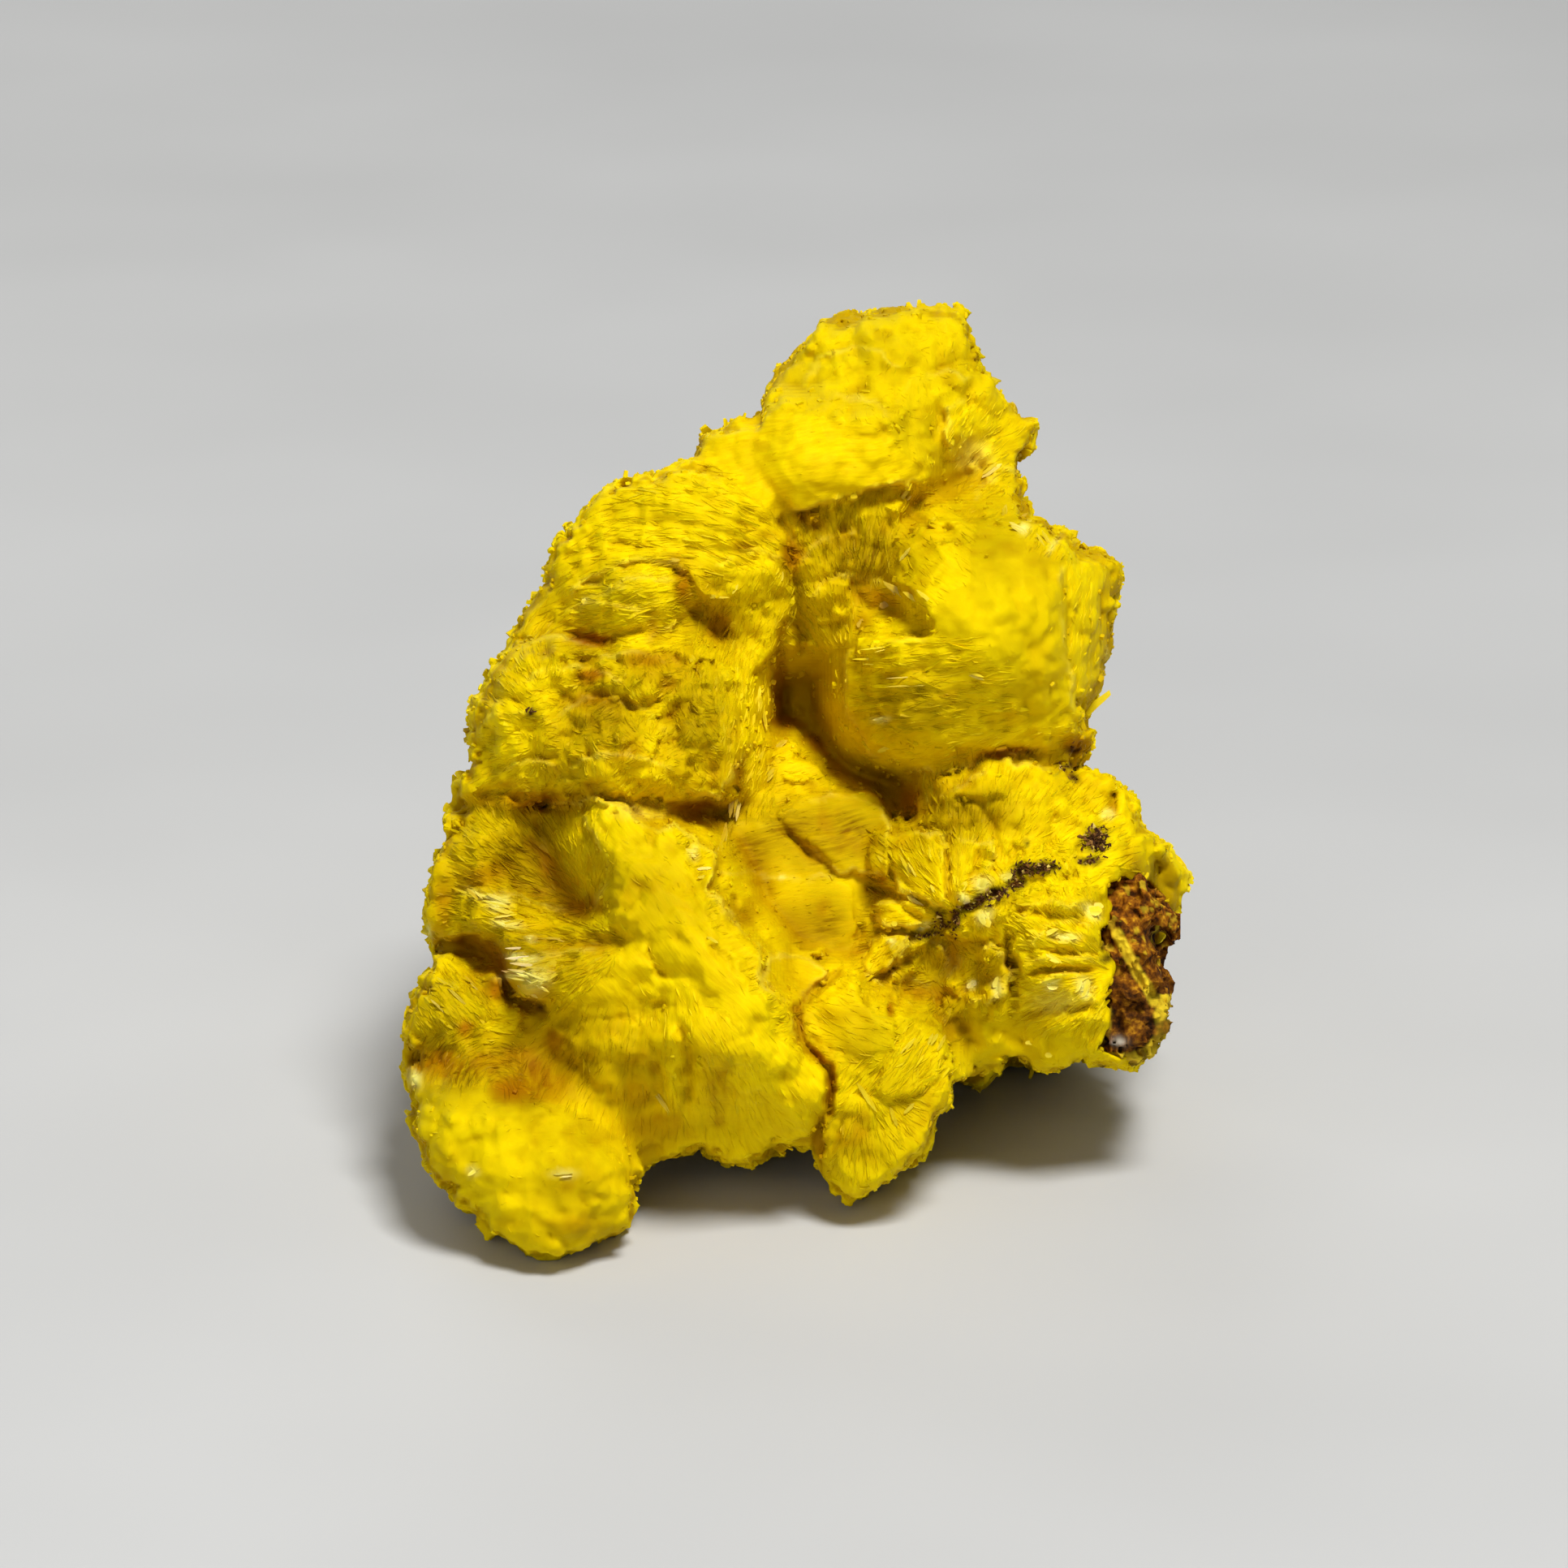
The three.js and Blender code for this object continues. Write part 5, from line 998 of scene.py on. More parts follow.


#                   inner rounding, growth mm, rounding where it joins the rest
GROUPS = {
    "core": (0.8, 0.0, 0.3), "S": (0.8, 0.0, 0.5), "R": (0.7, 0.0, 0.5), "Q": (0.7, 0.05, 0.3), "P": (0.6, 0.05, 0.3),
    "M": (0.6, 0.0, 0.4), "L": (1.3, 0.04, 0.25), "C": (0.9, 0.05, 0.5), "A": (0.6, 0.03, 0.4), "B": (0.8, 0.05, 0.6),
    "D": (0.8, 0.04, 0.35), "E": (0.8, 0.03, 0.45), "F": (0.8, 0.05, 0.4), "O": (0.9, 0.05, 0.3), "N": (1.1, 0.05, 0.4),
    "K": (0.8, 0.12, 0.2), "K5": (0.5, 0.16, 0.15), "I": (0.6, 0.06, 0.3), "G": (0.9, 0.04, 0.35), "H": (0.8, 0.02, 0.4),
}
UPPER = {"A", "B", "C", "D", "E", "M", "N"}
UPPER_ROWS = {"core1", "core3", "core4", "S1", "S2", "S3", "S4", "S5", "S6", "S10"}


def soften(m, r):
    """Three passes of a box filter, r map cells wide each side."""
    for _ in range(3):
        for ax in (0, 1):
            q = np.concatenate([np.repeat(np.take(m, [0], ax), r + 1, ax), m, np.repeat(np.take(m, [-1], ax), r, ax)], ax)
            cs = np.cumsum(q, ax)
            n = m.shape[ax]
            m = (np.take(cs, np.arange(2 * r + 1, 2 * r + 1 + n), ax) - np.take(cs, np.arange(0, n), ax)) / (2 * r + 1)
    return m


def rough(p):
    """Lumps with sharp creases between them, and page edges, at points in mm."""
    h = 0.62 * np.abs(noise3(p / 0.95, 31)) + 0.40 * np.abs(noise3(p / 0.46, 32)) + 0.20 * np.abs(noise3(p / 0.24, 33)) - 0.31
    q = p @ np.array([[0.6, 0.3, -0.2], [-0.4, 0.7, 0.2], [0.3, 0.1, 0.8]])
    u = p @ np.array([[0.3, -0.5, 0.6], [0.5, 0.6, 0.3], [-0.7, 0.2, 0.4]])
    w = step((noise3(p / 1.4, 36) + 0.15) / 0.3)
    a = 1 - 2 * np.abs(noise3(q / np.array([0.17, 0.8, 0.6]), 34))
    b = 1 - 2 * np.abs(noise3(u / np.array([0.19, 0.7, 0.7]), 37))
    return h + 0.085 * (a * w + b * (1 - w))


def build(rows_all):
    F = np.full(SHAPE, 1.5, np.float32)
    for name, (inner, grow, outer) in GROUPS.items():
        rows = [r for r in rows_all if group_of(r[0]) == name]
        if not rows:
            continue
        sp = np.array([span(r, 0.55) for r in rows])
        b = [sp[:, 0].min(), sp[:, 1].max(), sp[:, 2].min(), sp[:, 3].max(), sp[:, 4].min(), sp[:, 5].max()]
        sub = np.full((b[1] - b[0], b[3] - b[2], b[5] - b[4]), 1.5, np.float32)
        for r, (i0, i1, j0, j1, k0, k1) in zip(rows, sp):
            K = KK[None, None, k0:k1].astype(np.float32)
            wx, wy, wz = (w[i0:i1, j0:j1, k0:k1] for w in WARP)
            x = VX[i0:i1, None, None].astype(np.float32) * K + wx
            y = VY[None, j0:j1, None].astype(np.float32) * K + wy
            z = GD[None, None, k0:k1].astype(np.float32) + wz
            d = (lobe_at(r, x, y, z) - grow).astype(np.float32)
            sl = (slice(i0 - b[0], i1 - b[0]), slice(j0 - b[2], j1 - b[2]), slice(k0 - b[4], k1 - b[4]))
            sub[sl] = smin(sub[sl], np.minimum(d, 1.5), inner)
        if name in TRIM:
            gx, gy = np.meshgrid(GX[b[0]:b[1]], GY[b[2]:b[3]], indexing="ij")
            jx, jy = read(JX, gx, gy), read(JY, gx, gy)
            s = (inside(TRIM[name], jx, jy) / PXMM).astype(np.float32)
            sub = smax(sub, -s[:, :, None], 0.12)
        sl = (slice(b[0], b[1]), slice(b[2], b[3]), slice(b[4], b[5]))
        F[sl] = smin(F[sl], sub, outer)
    return F


gx, gy = np.meshgrid(GX, GY, indexing="ij")
s_out = (read(SOUT, gx, gy) / PXMM).astype(np.float32)
up_rows = [r for r in LOBES if (group_of(r[0]) in UPPER and r[0] != "L4") or r[0] in UPPER_ROWS]
lo_rows = [r for r in LOBES if r not in up_rows]
ZW = (TZ + VY[None, :, None] * KK[None, None, :] * UP[2] + GD[None, None, :] * NEAR[2]).astype(np.float32)
cr = np.full(SHAPE, 1.5, np.float32)
for r in CRUMB:
    i0, i1, j0, j1, k0, k1 = span(r, 0.5)
    K = KK[None, None, k0:k1]
    d = lobe_at(r, VX[i0:i1, None, None] * K, VY[None, j0:j1, None] * K, GD[None, None, k0:k1] + 0 * K)
    cr[i0:i1, j0:j1, k0:k1] = smin(cr[i0:i1, j0:j1, k0:k1], np.minimum(d, 1.5).astype(np.float32), 0.3)


def front_depth(F):
    neg = F[:, :, ::-1] < 0
    hit = neg.any(2)
    k = len(GD) - 1 - neg.argmax(2)
    k = np.clip(k, 0, len(GD) - 2)
    i, j = np.indices(k.shape)
    a, b = F[i, j, k], F[i, j, k + 1]
    t = np.clip(a / (a - b - 1e-9), 0, 1)
    return np.where(hit, GD[k] + t * (GD[k + 1] - GD[k]), -99.0)


FIELDS = []
BITE = (0.34 * np.abs(grid_noise(AX[0] / 0.80, AX[1] / 0.80, AX[2] / 0.62, 71)) + 0.20 * np.abs(grid_noise(AX[0] / 0.34, AX[1] / 0.34, AX[2] / 0.27, 72))
        + 0.10 * np.abs(grid_noise(AX[0] / 0.17, AX[1] / 0.17, AX[2] / 0.15, 73))).astype(np.float32)
for rows in (up_rows, lo_rows):
    F = build(rows)
    F = smax(F, 0.75 * BITE - 0.04 - s_out[:, :, None], 0.10)
    F = np.maximum(F, -ZW)
    FIELDS.append(F)
DF0 = front_depth(np.minimum(FIELDS[0], FIELDS[1]))
# the forms are grown into each other: the gaps between them close to a skin
ok = ((DF0 > -50) & (s_out > 0.03)).astype(float)
sk = np.log(soften(ok * np.exp(1.6 * np.clip(DF0, -6, 6)), 4) / np.maximum(soften(ok, 4), 1e-4) + 1e-9) / 1.6
skin = sk - 0.13 - np.maximum(read(swells(HOLLOW), gx, gy), -0.3)
up = (inside(SPLIT, gx, gy) / PXMM).astype(np.float32)
for n, F in enumerate(FIELDS):
    s = np.minimum(s_out - 0.30, up + 0.06 if n == 0 else 0.06 - up)
    lay = (skin - 0.015 * n).astype(np.float32)[:, :, None]
    f = smax(GD.astype(np.float32)[None, None, :] - lay, lay - 2.2 - GD.astype(np.float32)[None, None, :], 0.2)
    f = smax(f, -s.astype(np.float32)[:, :, None], 0.15)
    F[:] = np.maximum(smin(F, np.minimum(f, 1.5), 0.28), -ZW)
DF0 = front_depth(np.minimum(FIELDS[0], FIELDS[1]))
hm = read(HMAP, gx, gy).astype(np.float32)
s_ce = (inside(CEDGE, read(JX, gx, gy), read(JY, gx, gy)) / PXMM).astype(np.float32)
CRD = np.maximum(front_depth(cr), -2.2)
for n, F in enumerate(FIELDS):
    band = np.argwhere(np.abs(F) < 1.1)
    i, j, k = band.T
    fm = step((GD[k] - (DF0[i, j] - 0.9)) / 0.5)
    inner = np.abs(F[i, j, k]) < 0.45
    disp = fm * hm[i, j]
    # what the picture does not show: lumps and page edges all round
    bi = band[inner]
    p = world(GX[bi[:, 0]], GY[bi[:, 1]], GD[bi[:, 2]])
    lump = rough(p)
    disp[inner] += lump * (1 - 0.85 * fm[inner]) + 0.03 * fm[inner] * noise3(p / 0.5, 35)
    F[i, j, k] -= disp.astype(np.float32)
    F[:] = np.maximum(F, -ZW)
    F[:] = np.maximum(F, 0.02 - cr)
    F[:] = smax(F, np.minimum(s_ce[:, :, None], GD.astype(np.float32)[None, None, :] - (CRD - 0.7)[:, :, None]), 0.06).astype(np.float32)
    FIELDS[n] = F
DFR = front_depth(np.minimum(np.minimum(FIELDS[0], FIELDS[1]), cr))


def read_depth(px, py):
    """Front depth, the farther one where the surface jumps, and the jump."""
    x = np.clip((px - GX[0]) / STEP, 0, len(GX) - 1.001)
    y = np.clip((py - GY[0]) / STEP, 0, len(GY) - 1.001)
    i, j = x.astype(int), y.astype(int)
    fx, fy = x - i, y - j
    c = np.stack([DFR[i, j], DFR[i + 1, j], DFR[i, j + 1], DFR[i + 1, j + 1]])
    lin = (c[0] * (1 - fx) + c[1] * fx) * (1 - fy) + (c[2] * (1 - fx) + c[3] * fx) * fy
    jump = c.max(0) - c.min(0)
    return np.where(jump > 0.35, c.min(0), lin), jump


def to_mesh(name, verts_mm, faces, smooth=True):
    me = bpy.data.meshes.new(name)
    verts = np.ascontiguousarray(np.asarray(verts_mm) * 0.001, np.float32)
    faces = np.ascontiguousarray(faces, np.int32)
    k = faces.shape[1]
    me.vertices.add(len(verts))
    me.vertices.foreach_set("co", verts.ravel())
    me.loops.add(faces.size)
    me.loops.foreach_set("vertex_index", faces.ravel())
    me.polygons.add(len(faces))
    me.polygons.foreach_set("loop_start", np.arange(0, faces.size, k, dtype=np.int32))
    me.polygons.foreach_set("use_smooth", np.full(len(faces), smooth))
    me.update(calc_edges=True)
    me.validate()
    ob = bpy.data.objects.new(name, me)
    bpy.context.scene.collection.objects.link(ob)
    return ob


def attribute(ob, name, values):
    values = np.asarray(values, np.float32)
    kind = "FLOAT_VECTOR" if values.ndim == 2 else "FLOAT"
    a = ob.data.attributes.new(name, kind, "POINT")
    a.data.foreach_set("vector" if values.ndim == 2 else "value", values.ravel())


def outward(p, f):
    q = p[f]
    n = np.cross(q[:, 1] - q[:, 0], q[:, 2] - q[:, 0])
    return f if (q[:, 0] * n).sum() > 0 else f[:, ::-1]


def whole(p, q):
    """Drops crumbs of surface that hang free of the main body."""
    lab = np.arange(len(p))
    for _ in range(60):
        m = lab[q].min(1)
        new = lab.copy()
        for k in range(4):
            np.minimum.at(new, q[:, k], m)
        new = new[new]
        if np.array_equal(new, lab):
            break
        lab = new
    for _ in range(20):
        lab = lab[lab]
    size = np.bincount(lab[q[:, 0]], minlength=len(p))
    q = q[size[lab[q[:, 0]]] > 1500]
    used = np.zeros(len(p), bool)
    used[q.ravel()] = True
    num = np.cumsum(used) - 1
    return p[used], num[q]


def surface(F, gx, gy, gd):
    grid = openvdb.FloatGrid()
    grid.background = 1.5
    grid.copyFromArray(np.clip(F, -1.5, 1.5).astype(np.float64))
    pts, quads = grid.convertToQuads(0.0)
    px = np.interp(pts[:, 0], np.arange(len(gx)), gx)
    py = np.interp(pts[:, 1], np.arange(len(gy)), gy)
    d = np.interp(pts[:, 2], np.arange(len(gd)), gd)
    p = world(px, py, d)
    p[:, 2] = np.maximum(p[:, 2], 0.0)
    return p, outward(p, quads)


def tint(ob, p, shade=1.0):
    """Colour attributes (stain with painted shade, painted shade, painted highlight, dark spots) and page attributes at
    points p (mm).
    """
    px, py, d = view(p)
    df = read(M_DEPTH, px, py)
    front = step((d - (df - 0.9)) / 0.5) * step((read(SOUT, px, py) + 12) / 8.0)
    # painted shade in the creases of the hidden sides, where the lumps dip, and painted highlight specks there
    crease_shade = np.clip(0.55 - rough(p) / 0.16, 0, 1) * (1 - front)
    more = {"stain_and_shade": 0.34 * crease_shade * step((noise3(p / 0.9, 38) + 0.1) / 0.5), "painted_shade": 0.50 * crease_shade,
            "painted_highlight": 0.10 * (1 - front) * step((noise3(p / 0.5, 39) - 0.2) / 0.4)}
    for nm, m in (("stain_and_shade", M_STAIN_AND_SHADE), ("painted_shade", M_PAINTED_SHADE), ("painted_highlight", M_PAINTED_HIGHLIGHT), ("dark", M_DARK)):
        attribute(ob, nm, read(m, px, py) * front * shade + more.get(nm, 0.0))
    gid = pick(GID, px, py)
    page = np.stack([p[:, 0] * 7.0, p[:, 1] * 7.0, p[:, 2] * 7.0], 1)
    isf = front > 0.5
    for gi, g in enumerate(GRAIN):
        s = isf & (gid == gi)
        if s.any():
            u, v, _, _ = grain_coords(g, 1000 + 20 * gi, px[s], py[s])
            f = 4.5 if g["k"] != "grain" else 9.0
            page[s] = np.stack([u / f, v / (f * 7 if g["k"] != "grain" else f), d[s] * 1.5 + 11.0 * gi], 1)
    attribute(ob, "page", page)
    return front


M_DEPTH = np.interp(MX.ravel(), GX, np.arange(len(GX))), np.interp(MY.ravel(), GY, np.arange(len(GY)))
_i, _j = np.rint(M_DEPTH[0]).astype(int), np.rint(M_DEPTH[1]).astype(int)
M_DEPTH = DFR[_i, _j].reshape(MX.shape)
M_DEPTH = np.where(M_DEPTH < -50, -5.0, M_DEPTH)


_d = np.where(SOUT > 0, M_DEPTH, np.nan)
_ok = np.isfinite(_d).astype(float)
_z = np.where(np.isfinite(_d), _d, 0.0)
# CAV measures how far the front lies below its surroundings; below it adds painted shade in the cavities to the stain
# and shade masks
CAV = np.zeros_like(MX)
for r_, k_ in ((3, 0.10), (9, 0.35), (20, 0.9)):
    avg = soften(_z, r_) / np.maximum(soften(_ok, r_), 1e-3)
    CAV += 0.55 * np.clip((avg - M_DEPTH) / k_ - 0.12, 0, 1.2) ** 1.2
CAV = np.clip(CAV, 0, 1.3) * (SOUT > 0)
blotch = np.clip(noise2(MX / 26, MY / 26, 901) + 0.6 * noise2(MX / 11, MY / 11, 902) - 0.25, 0, 1)
M_STAIN_AND_SHADE = np.clip(M_STAIN_AND_SHADE + (0.32 * CAV + 0.38 * blotch * (M_PAINTED_SHADE > 0.1)) * (1 - M_STAIN_AND_SHADE), 0, 1)
M_PAINTED_SHADE = np.clip(M_PAINTED_SHADE * (1 + 0.35 * noise2(MX / 30, MY / 30, 903)) + 0.24 * CAV, 0, 1)
# painted highlight along the rims of the ledges
M_PAINTED_HIGHLIGHT = np.clip(M_PAINTED_HIGHLIGHT + 0.10 * RIM * (M_PAINTED_SHADE < 0.7), 0, 1)

pieces = []
masses = []
for name, F in (("crystals_upper", FIELDS[0]), ("crystals_lower", FIELDS[1])):
    p, q = whole(*surface(F, GX, GY, GD))
    ob = to_mesh(name, p, q)
    n0 = len(q) * 2
    # the far side carries fewer, larger faces
    tgt = 194000
    if n0 > tgt:
        nv = len(ob.data.vertices)
        nrm = np.zeros(nv * 3, np.float32)
        ob.data.vertices.foreach_get("normal", nrm)
        nrm = nrm.reshape(-1, 3)
        px, py, d = view(p)
        far = step((read(M_DEPTH, px, py) - 1.2 - d) / 0.8)
        print(name, "quads", len(q), "far", round(float(far.mean()), 3))
        vg = ob.vertex_groups.new(name="far")
        ids = np.nonzero(far > 0.5)[0]
        vg.add(ids.tolist(), 1.0, "REPLACE")
        rest = np.nonzero(far <= 0.5)[0]
        vg.add(rest.tolist(), 0.40, "REPLACE")
        md = ob.modifiers.new("thin", "DECIMATE")
        md.ratio = tgt / n0
        md.vertex_group = "far"
        md.vertex_group_factor = 0.02
        dg = bpy.context.evaluated_depsgraph_get()
        me = bpy.data.meshes.new_from_object(ob.evaluated_get(dg))
        ob.modifiers.clear()
        old = ob.data
        ob.data = me
        bpy.data.meshes.remove(old)
        ob.vertex_groups.clear()
        me.name = name
        me.polygons.foreach_set("use_smooth", np.full(len(me.polygons), True))
    nv = len(ob.data.vertices)
    co = np.zeros(nv * 3, np.float32)
    ob.data.vertices.foreach_get("co", co)
    p = co.reshape(-1, 3).astype(float) * 1000
    tint(ob, p)
    attribute(ob, "rnd", 0.5 + 0.5 * noise3(p / 0.3, 77))
    pieces.append(ob)
    ob.data.calc_loop_triangles()
    print(name, "quads", len(q), "tris", len(ob.data.loop_triangles))
    nr = np.zeros(nv * 3, np.float32)
    ob.data.vertices.foreach_get("normal", nr)
    masses.append((p, nr.reshape(-1, 3).astype(float)))
# ------------------------------------------------------------------ plates on the front
def ribbons(name, count, seed, wide=0.11, high=0.42, long=1.0, K=5):
    r = np.random.default_rng(seed)
    slope_i, slope_j = np.gradient(M_DEPTH, RS / PXMM)
    steep = np.clip(np.hypot(slope_i, slope_j), 0, 3.0)
    w = G_DENS * (SOUT > 1.0) * np.where(steep > 2.9, 0.2, 1.0) * (1 + 0.5 * np.minimum(steep, 2))
    w = w * (inside([(1357, 1085), (1445, 1075), (1450, 1310), (1350, 1305), (1362, 1240)], MX, MY) < 0)
    cum = np.cumsum(w.ravel())
    idx = np.searchsorted(cum, r.random(count * 2) * cum[-1])
    x = MX.ravel()[idx] + r.uniform(-1, 1, len(idx))
    y = MY.ravel()[idx] + r.uniform(-1, 1, len(idx))
    L = pick(G_LEN, x, y) * long * r.lognormal(0, 0.35, len(idx))
    # march along the grain both ways
    pts = np.zeros((len(idx), K, 2))
    mid = (K - 1) // 2
    pts[:, mid] = np.stack([x, y], 1)
    sway = r.normal(0, 0.22, len(idx))
    for sgn in (1, -1):
        cx, cy = x.copy(), y.copy()
        dx, dy = pick(GDX, cx, cy) * sgn, pick(GDY, cx, cy) * sgn
        c, s = np.cos(sway), np.sin(sway)
        dx, dy = c * dx - s * dy, s * dx + c * dy
        rng_k = range(mid + 1, K) if sgn > 0 else range(mid - 1, -1, -1)
        for k in rng_k:
            cx, cy = cx + dx * L / (K - 1), cy + dy * L / (K - 1)
            pts[:, k, 0], pts[:, k, 1] = cx, cy
            nx, ny = pick(GDX, cx, cy), pick(GDY, cx, cy)
            f = np.sign(nx * dx + ny * dy)
            f[f == 0] = 1
            nx, ny = nx * f, ny * f
            turn = (nx * dx + ny * dy) > 0.75
            dx, dy = np.where(turn, 0.6 * dx + 0.4 * nx, dx), np.where(turn, 0.6 * dy + 0.4 * ny, dy)
    D, jump = read_depth(pts[..., 0], pts[..., 1])
    ok = (jump.max(1) < 0.6) & (D.min(1) > -9) & ((D.max(1) - D.min(1)) < L / PXMM * 2.2 + 0.15)
    ok &= read(SOUT, pts[..., 0], pts[..., 1]).min(1) > -1.0
    ok = np.nonzero(ok)[0][:count]
    pts, D, x, y = pts[ok], D[ok], x[ok], y[ok]
    n = len(ok)
    e = 3.0
    nrm = []
    for k in (0, mid, K - 1):
        a = world(pts[:, k, 0] + e, pts[:, k, 1], read_depth(pts[:, k, 0] + e, pts[:, k, 1])[0])
        b = world(pts[:, k, 0] - e, pts[:, k, 1], read_depth(pts[:, k, 0] - e, pts[:, k, 1])[0])
        c = world(pts[:, k, 0], pts[:, k, 1] + e, read_depth(pts[:, k, 0], pts[:, k, 1] + e)[0])
        d = world(pts[:, k, 0], pts[:, k, 1] - e, read_depth(pts[:, k, 0], pts[:, k, 1] - e)[0])
        m = unit(np.cross(a - b, d - c))
        m = np.where(((m @ NEAR) < 0)[:, None], -m, m)
        nrm.append(unit(m + 0.35 * NEAR))
    nm = unit(nrm[0] + nrm[1] + nrm[2])
    P = world(pts[..., 0], pts[..., 1], D)
    tan = unit(P[:, -1] - P[:, 0])
    acr = unit(np.cross(nm, tan))
    # plates lean a little to either side, at random
    lean = r.normal(0, 0.45, n)
    out = unit(nm + lean[:, None] * acr)
    W = wide * (0.4 + 8.0 * pick(G_OUT, x, y)) * r.lognormal(0, 0.32, n)
    t = np.linspace(-1, 1, K)
    prof = 1 - 0.55 * np.abs(t)[None, :] ** 3 + r.normal(0, 0.10, (n, K))
    w = W[:, None] * prof
    h = (W * high * r.uniform(0.5, 1.3, n))[:, None] * (1 - 0.8 * np.abs(t)[None, :] ** 4 + r.normal(0, 0.12, (n, K)))
    skew = r.uniform(-0.38, 0.38, n)[:, None]
    A = P - acr[:, None] * (w / 2)[..., None] - nm[:, None] * 0.03
    B = P + acr[:, None] * (w / 2)[..., None] - nm[:, None] * 0.03
    C = P + out[:, None] * h[..., None] + acr[:, None] * (skew * w)[..., None]
    V = np.stack([A, B, C], 2).reshape(n, 3 * K, 3)
    tri = [(0, 1, 2), (3 * K - 3, 3 * K - 1, 3 * K - 2)]
    for k in range(K - 1):
        o = 3 * k
        for u, v in ((0, 1), (1, 2), (2, 0)):
            tri.append((o + u, o + 3 + u, o + v))
            tri.append((o + v, o + 3 + u, o + 3 + v))
    tri = np.array(tri, np.int32)
    f = (tri[None] + (np.arange(n) * 3 * K)[:, None, None]).reshape(-1, 3)
    V = V.reshape(-1, 3)
    V[:, 2] = np.maximum(V[:, 2], 0.003)
    ob = to_mesh(name, V, f, smooth=False)
    tint(ob, V)
    attribute(ob, "rnd", np.repeat(r.random(n), 3 * K))
    pieces.append(ob)
    print(name, n, "tris", len(f))
    return ob


# ------------------------------------------------------------------ plates all round
CORES = [r for r in LOBES]
LC = np.array([view_c for view_c in [world(r[1], r[2], r[3]) for r in CORES]])
LR = np.array([[r[4] / PXMM, r[5] / PXMM, r[6]] for r in CORES])


def near_lobe(p):
    best = np.full(len(p), 1e9)
    who = np.zeros(len(p), int)
    px, py, d = view(p)
    k = 1 - d / DIST
    x, y = (px - 966) / PXMM * k, (966 - py) / PXMM * k
    for i, r in enumerate(CORES):
        v = lobe_at(r, x, y, d)
        u = v < best
        best[u], who[u] = v[u], i
    return who


def flakes(name, count, seed, wide, high, thick, wob, seg=3):
    r = np.random.default_rng(seed)
    P = np.concatenate([m[0] for m in masses])
    N = np.concatenate([m[1] for m in masses])
    px, py, d = view(P)
    hid = step((read(M_DEPTH, px, py) - 0.5 - d) / 0.5)
    edge = np.clip(1.3 - 2.6 * np.abs(N @ NEAR), 0, 1)
    w = np.maximum(hid * 0.8, edge) * (P[:, 2] > 0.08) * (0.35 + 0.65 * (P[:, 2] > 0.6))
    cum = np.cumsum(w)
    idx = np.searchsorted(cum, r.random(count) * cum[-1])
    p, n = P[idx] + r.normal(0, 0.03, (count, 3)), N[idx]
    w = near_lobe(p)
    rad = unit(p - LC[w])
    fine = 0.34 + 0.66 * hid[idx]
    out = unit(0.25 * rad + 0.75 * n + wob * fine[:, None] * r.normal(0, 1, (count, 3)))
    ax = np.random.default_rng(9).normal(0, 1, (len(CORES), 3))
    a = unit(ax)[w] + r.normal(0, 0.35, (count, 3))
    alo = unit(a - (a * out).sum(-1, keepdims=True) * out)
    nor = np.cross(out, alo)
    W = wide * fine * r.lognormal(0, 0.32, count)
    H = high * fine * r.uniform(0.1, 1.3, count)
    T = thick * r.uniform(0.6, 1.4, count)
    K = seg + 3
    th = np.linspace(-1, 1, seg + 1)
    s, t = np.zeros((count, K)), np.zeros((count, K))
    s[:, : seg + 1] = th * W[:, None] / 2
    rim = 1 - 0.45 * th[None] ** 2 + r.normal(0, 0.16, (count, seg + 1))
    t[:, : seg + 1] = H[:, None] * rim - (0.10 * W)[:, None] * th ** 2
    s[:, seg + 1], s[:, seg + 2] = W * 0.36, -W * 0.36
    t[:, seg + 1 :] = -0.16
    tt = np.ones(K)
    tt[: seg + 1] = 0.6
    V = np.zeros((count, 2, K, 3))
    for side, sg in ((0, 0.5), (1, -0.5)):
        off = sg * T[:, None] * tt
        V[:, side] = p[:, None] + s[..., None] * alo[:, None] + t[..., None] * out[:, None] + off[..., None] * nor[:, None]
    V = V.reshape(-1, 3)
    tris = []
    for j in range(1, K - 1):
        tris += [(0, j, j + 1), (K, K + j + 1, K + j)]
    for j in range(K):
        k = (j + 1) % K
        tris += [(j, K + j, k), (k, K + j, K + k)]
    tri = np.array(tris, np.int32)
    f = (tri[None] + (np.arange(count) * 2 * K)[:, None, None]).reshape(-1, 3)
    V[:, 2] = np.maximum(V[:, 2], 0.003)
    ob = to_mesh(name, V, f, smooth=False)
    tint(ob, V)
    attribute(ob, "rnd", np.repeat(r.random(count), 2 * K))
    pieces.append(ob)
    print(name, count, "tris", len(f))
    return ob


ribbons("plates_front_a", 6600, 201, 0.070, 0.24, 0.80, 4)
ribbons("plates_front_b", 6600, 202, 0.048, 0.30, 0.60, 4)
flakes("plates_round", 6400, 203, 0.30, 0.030, 0.085, 0.20)

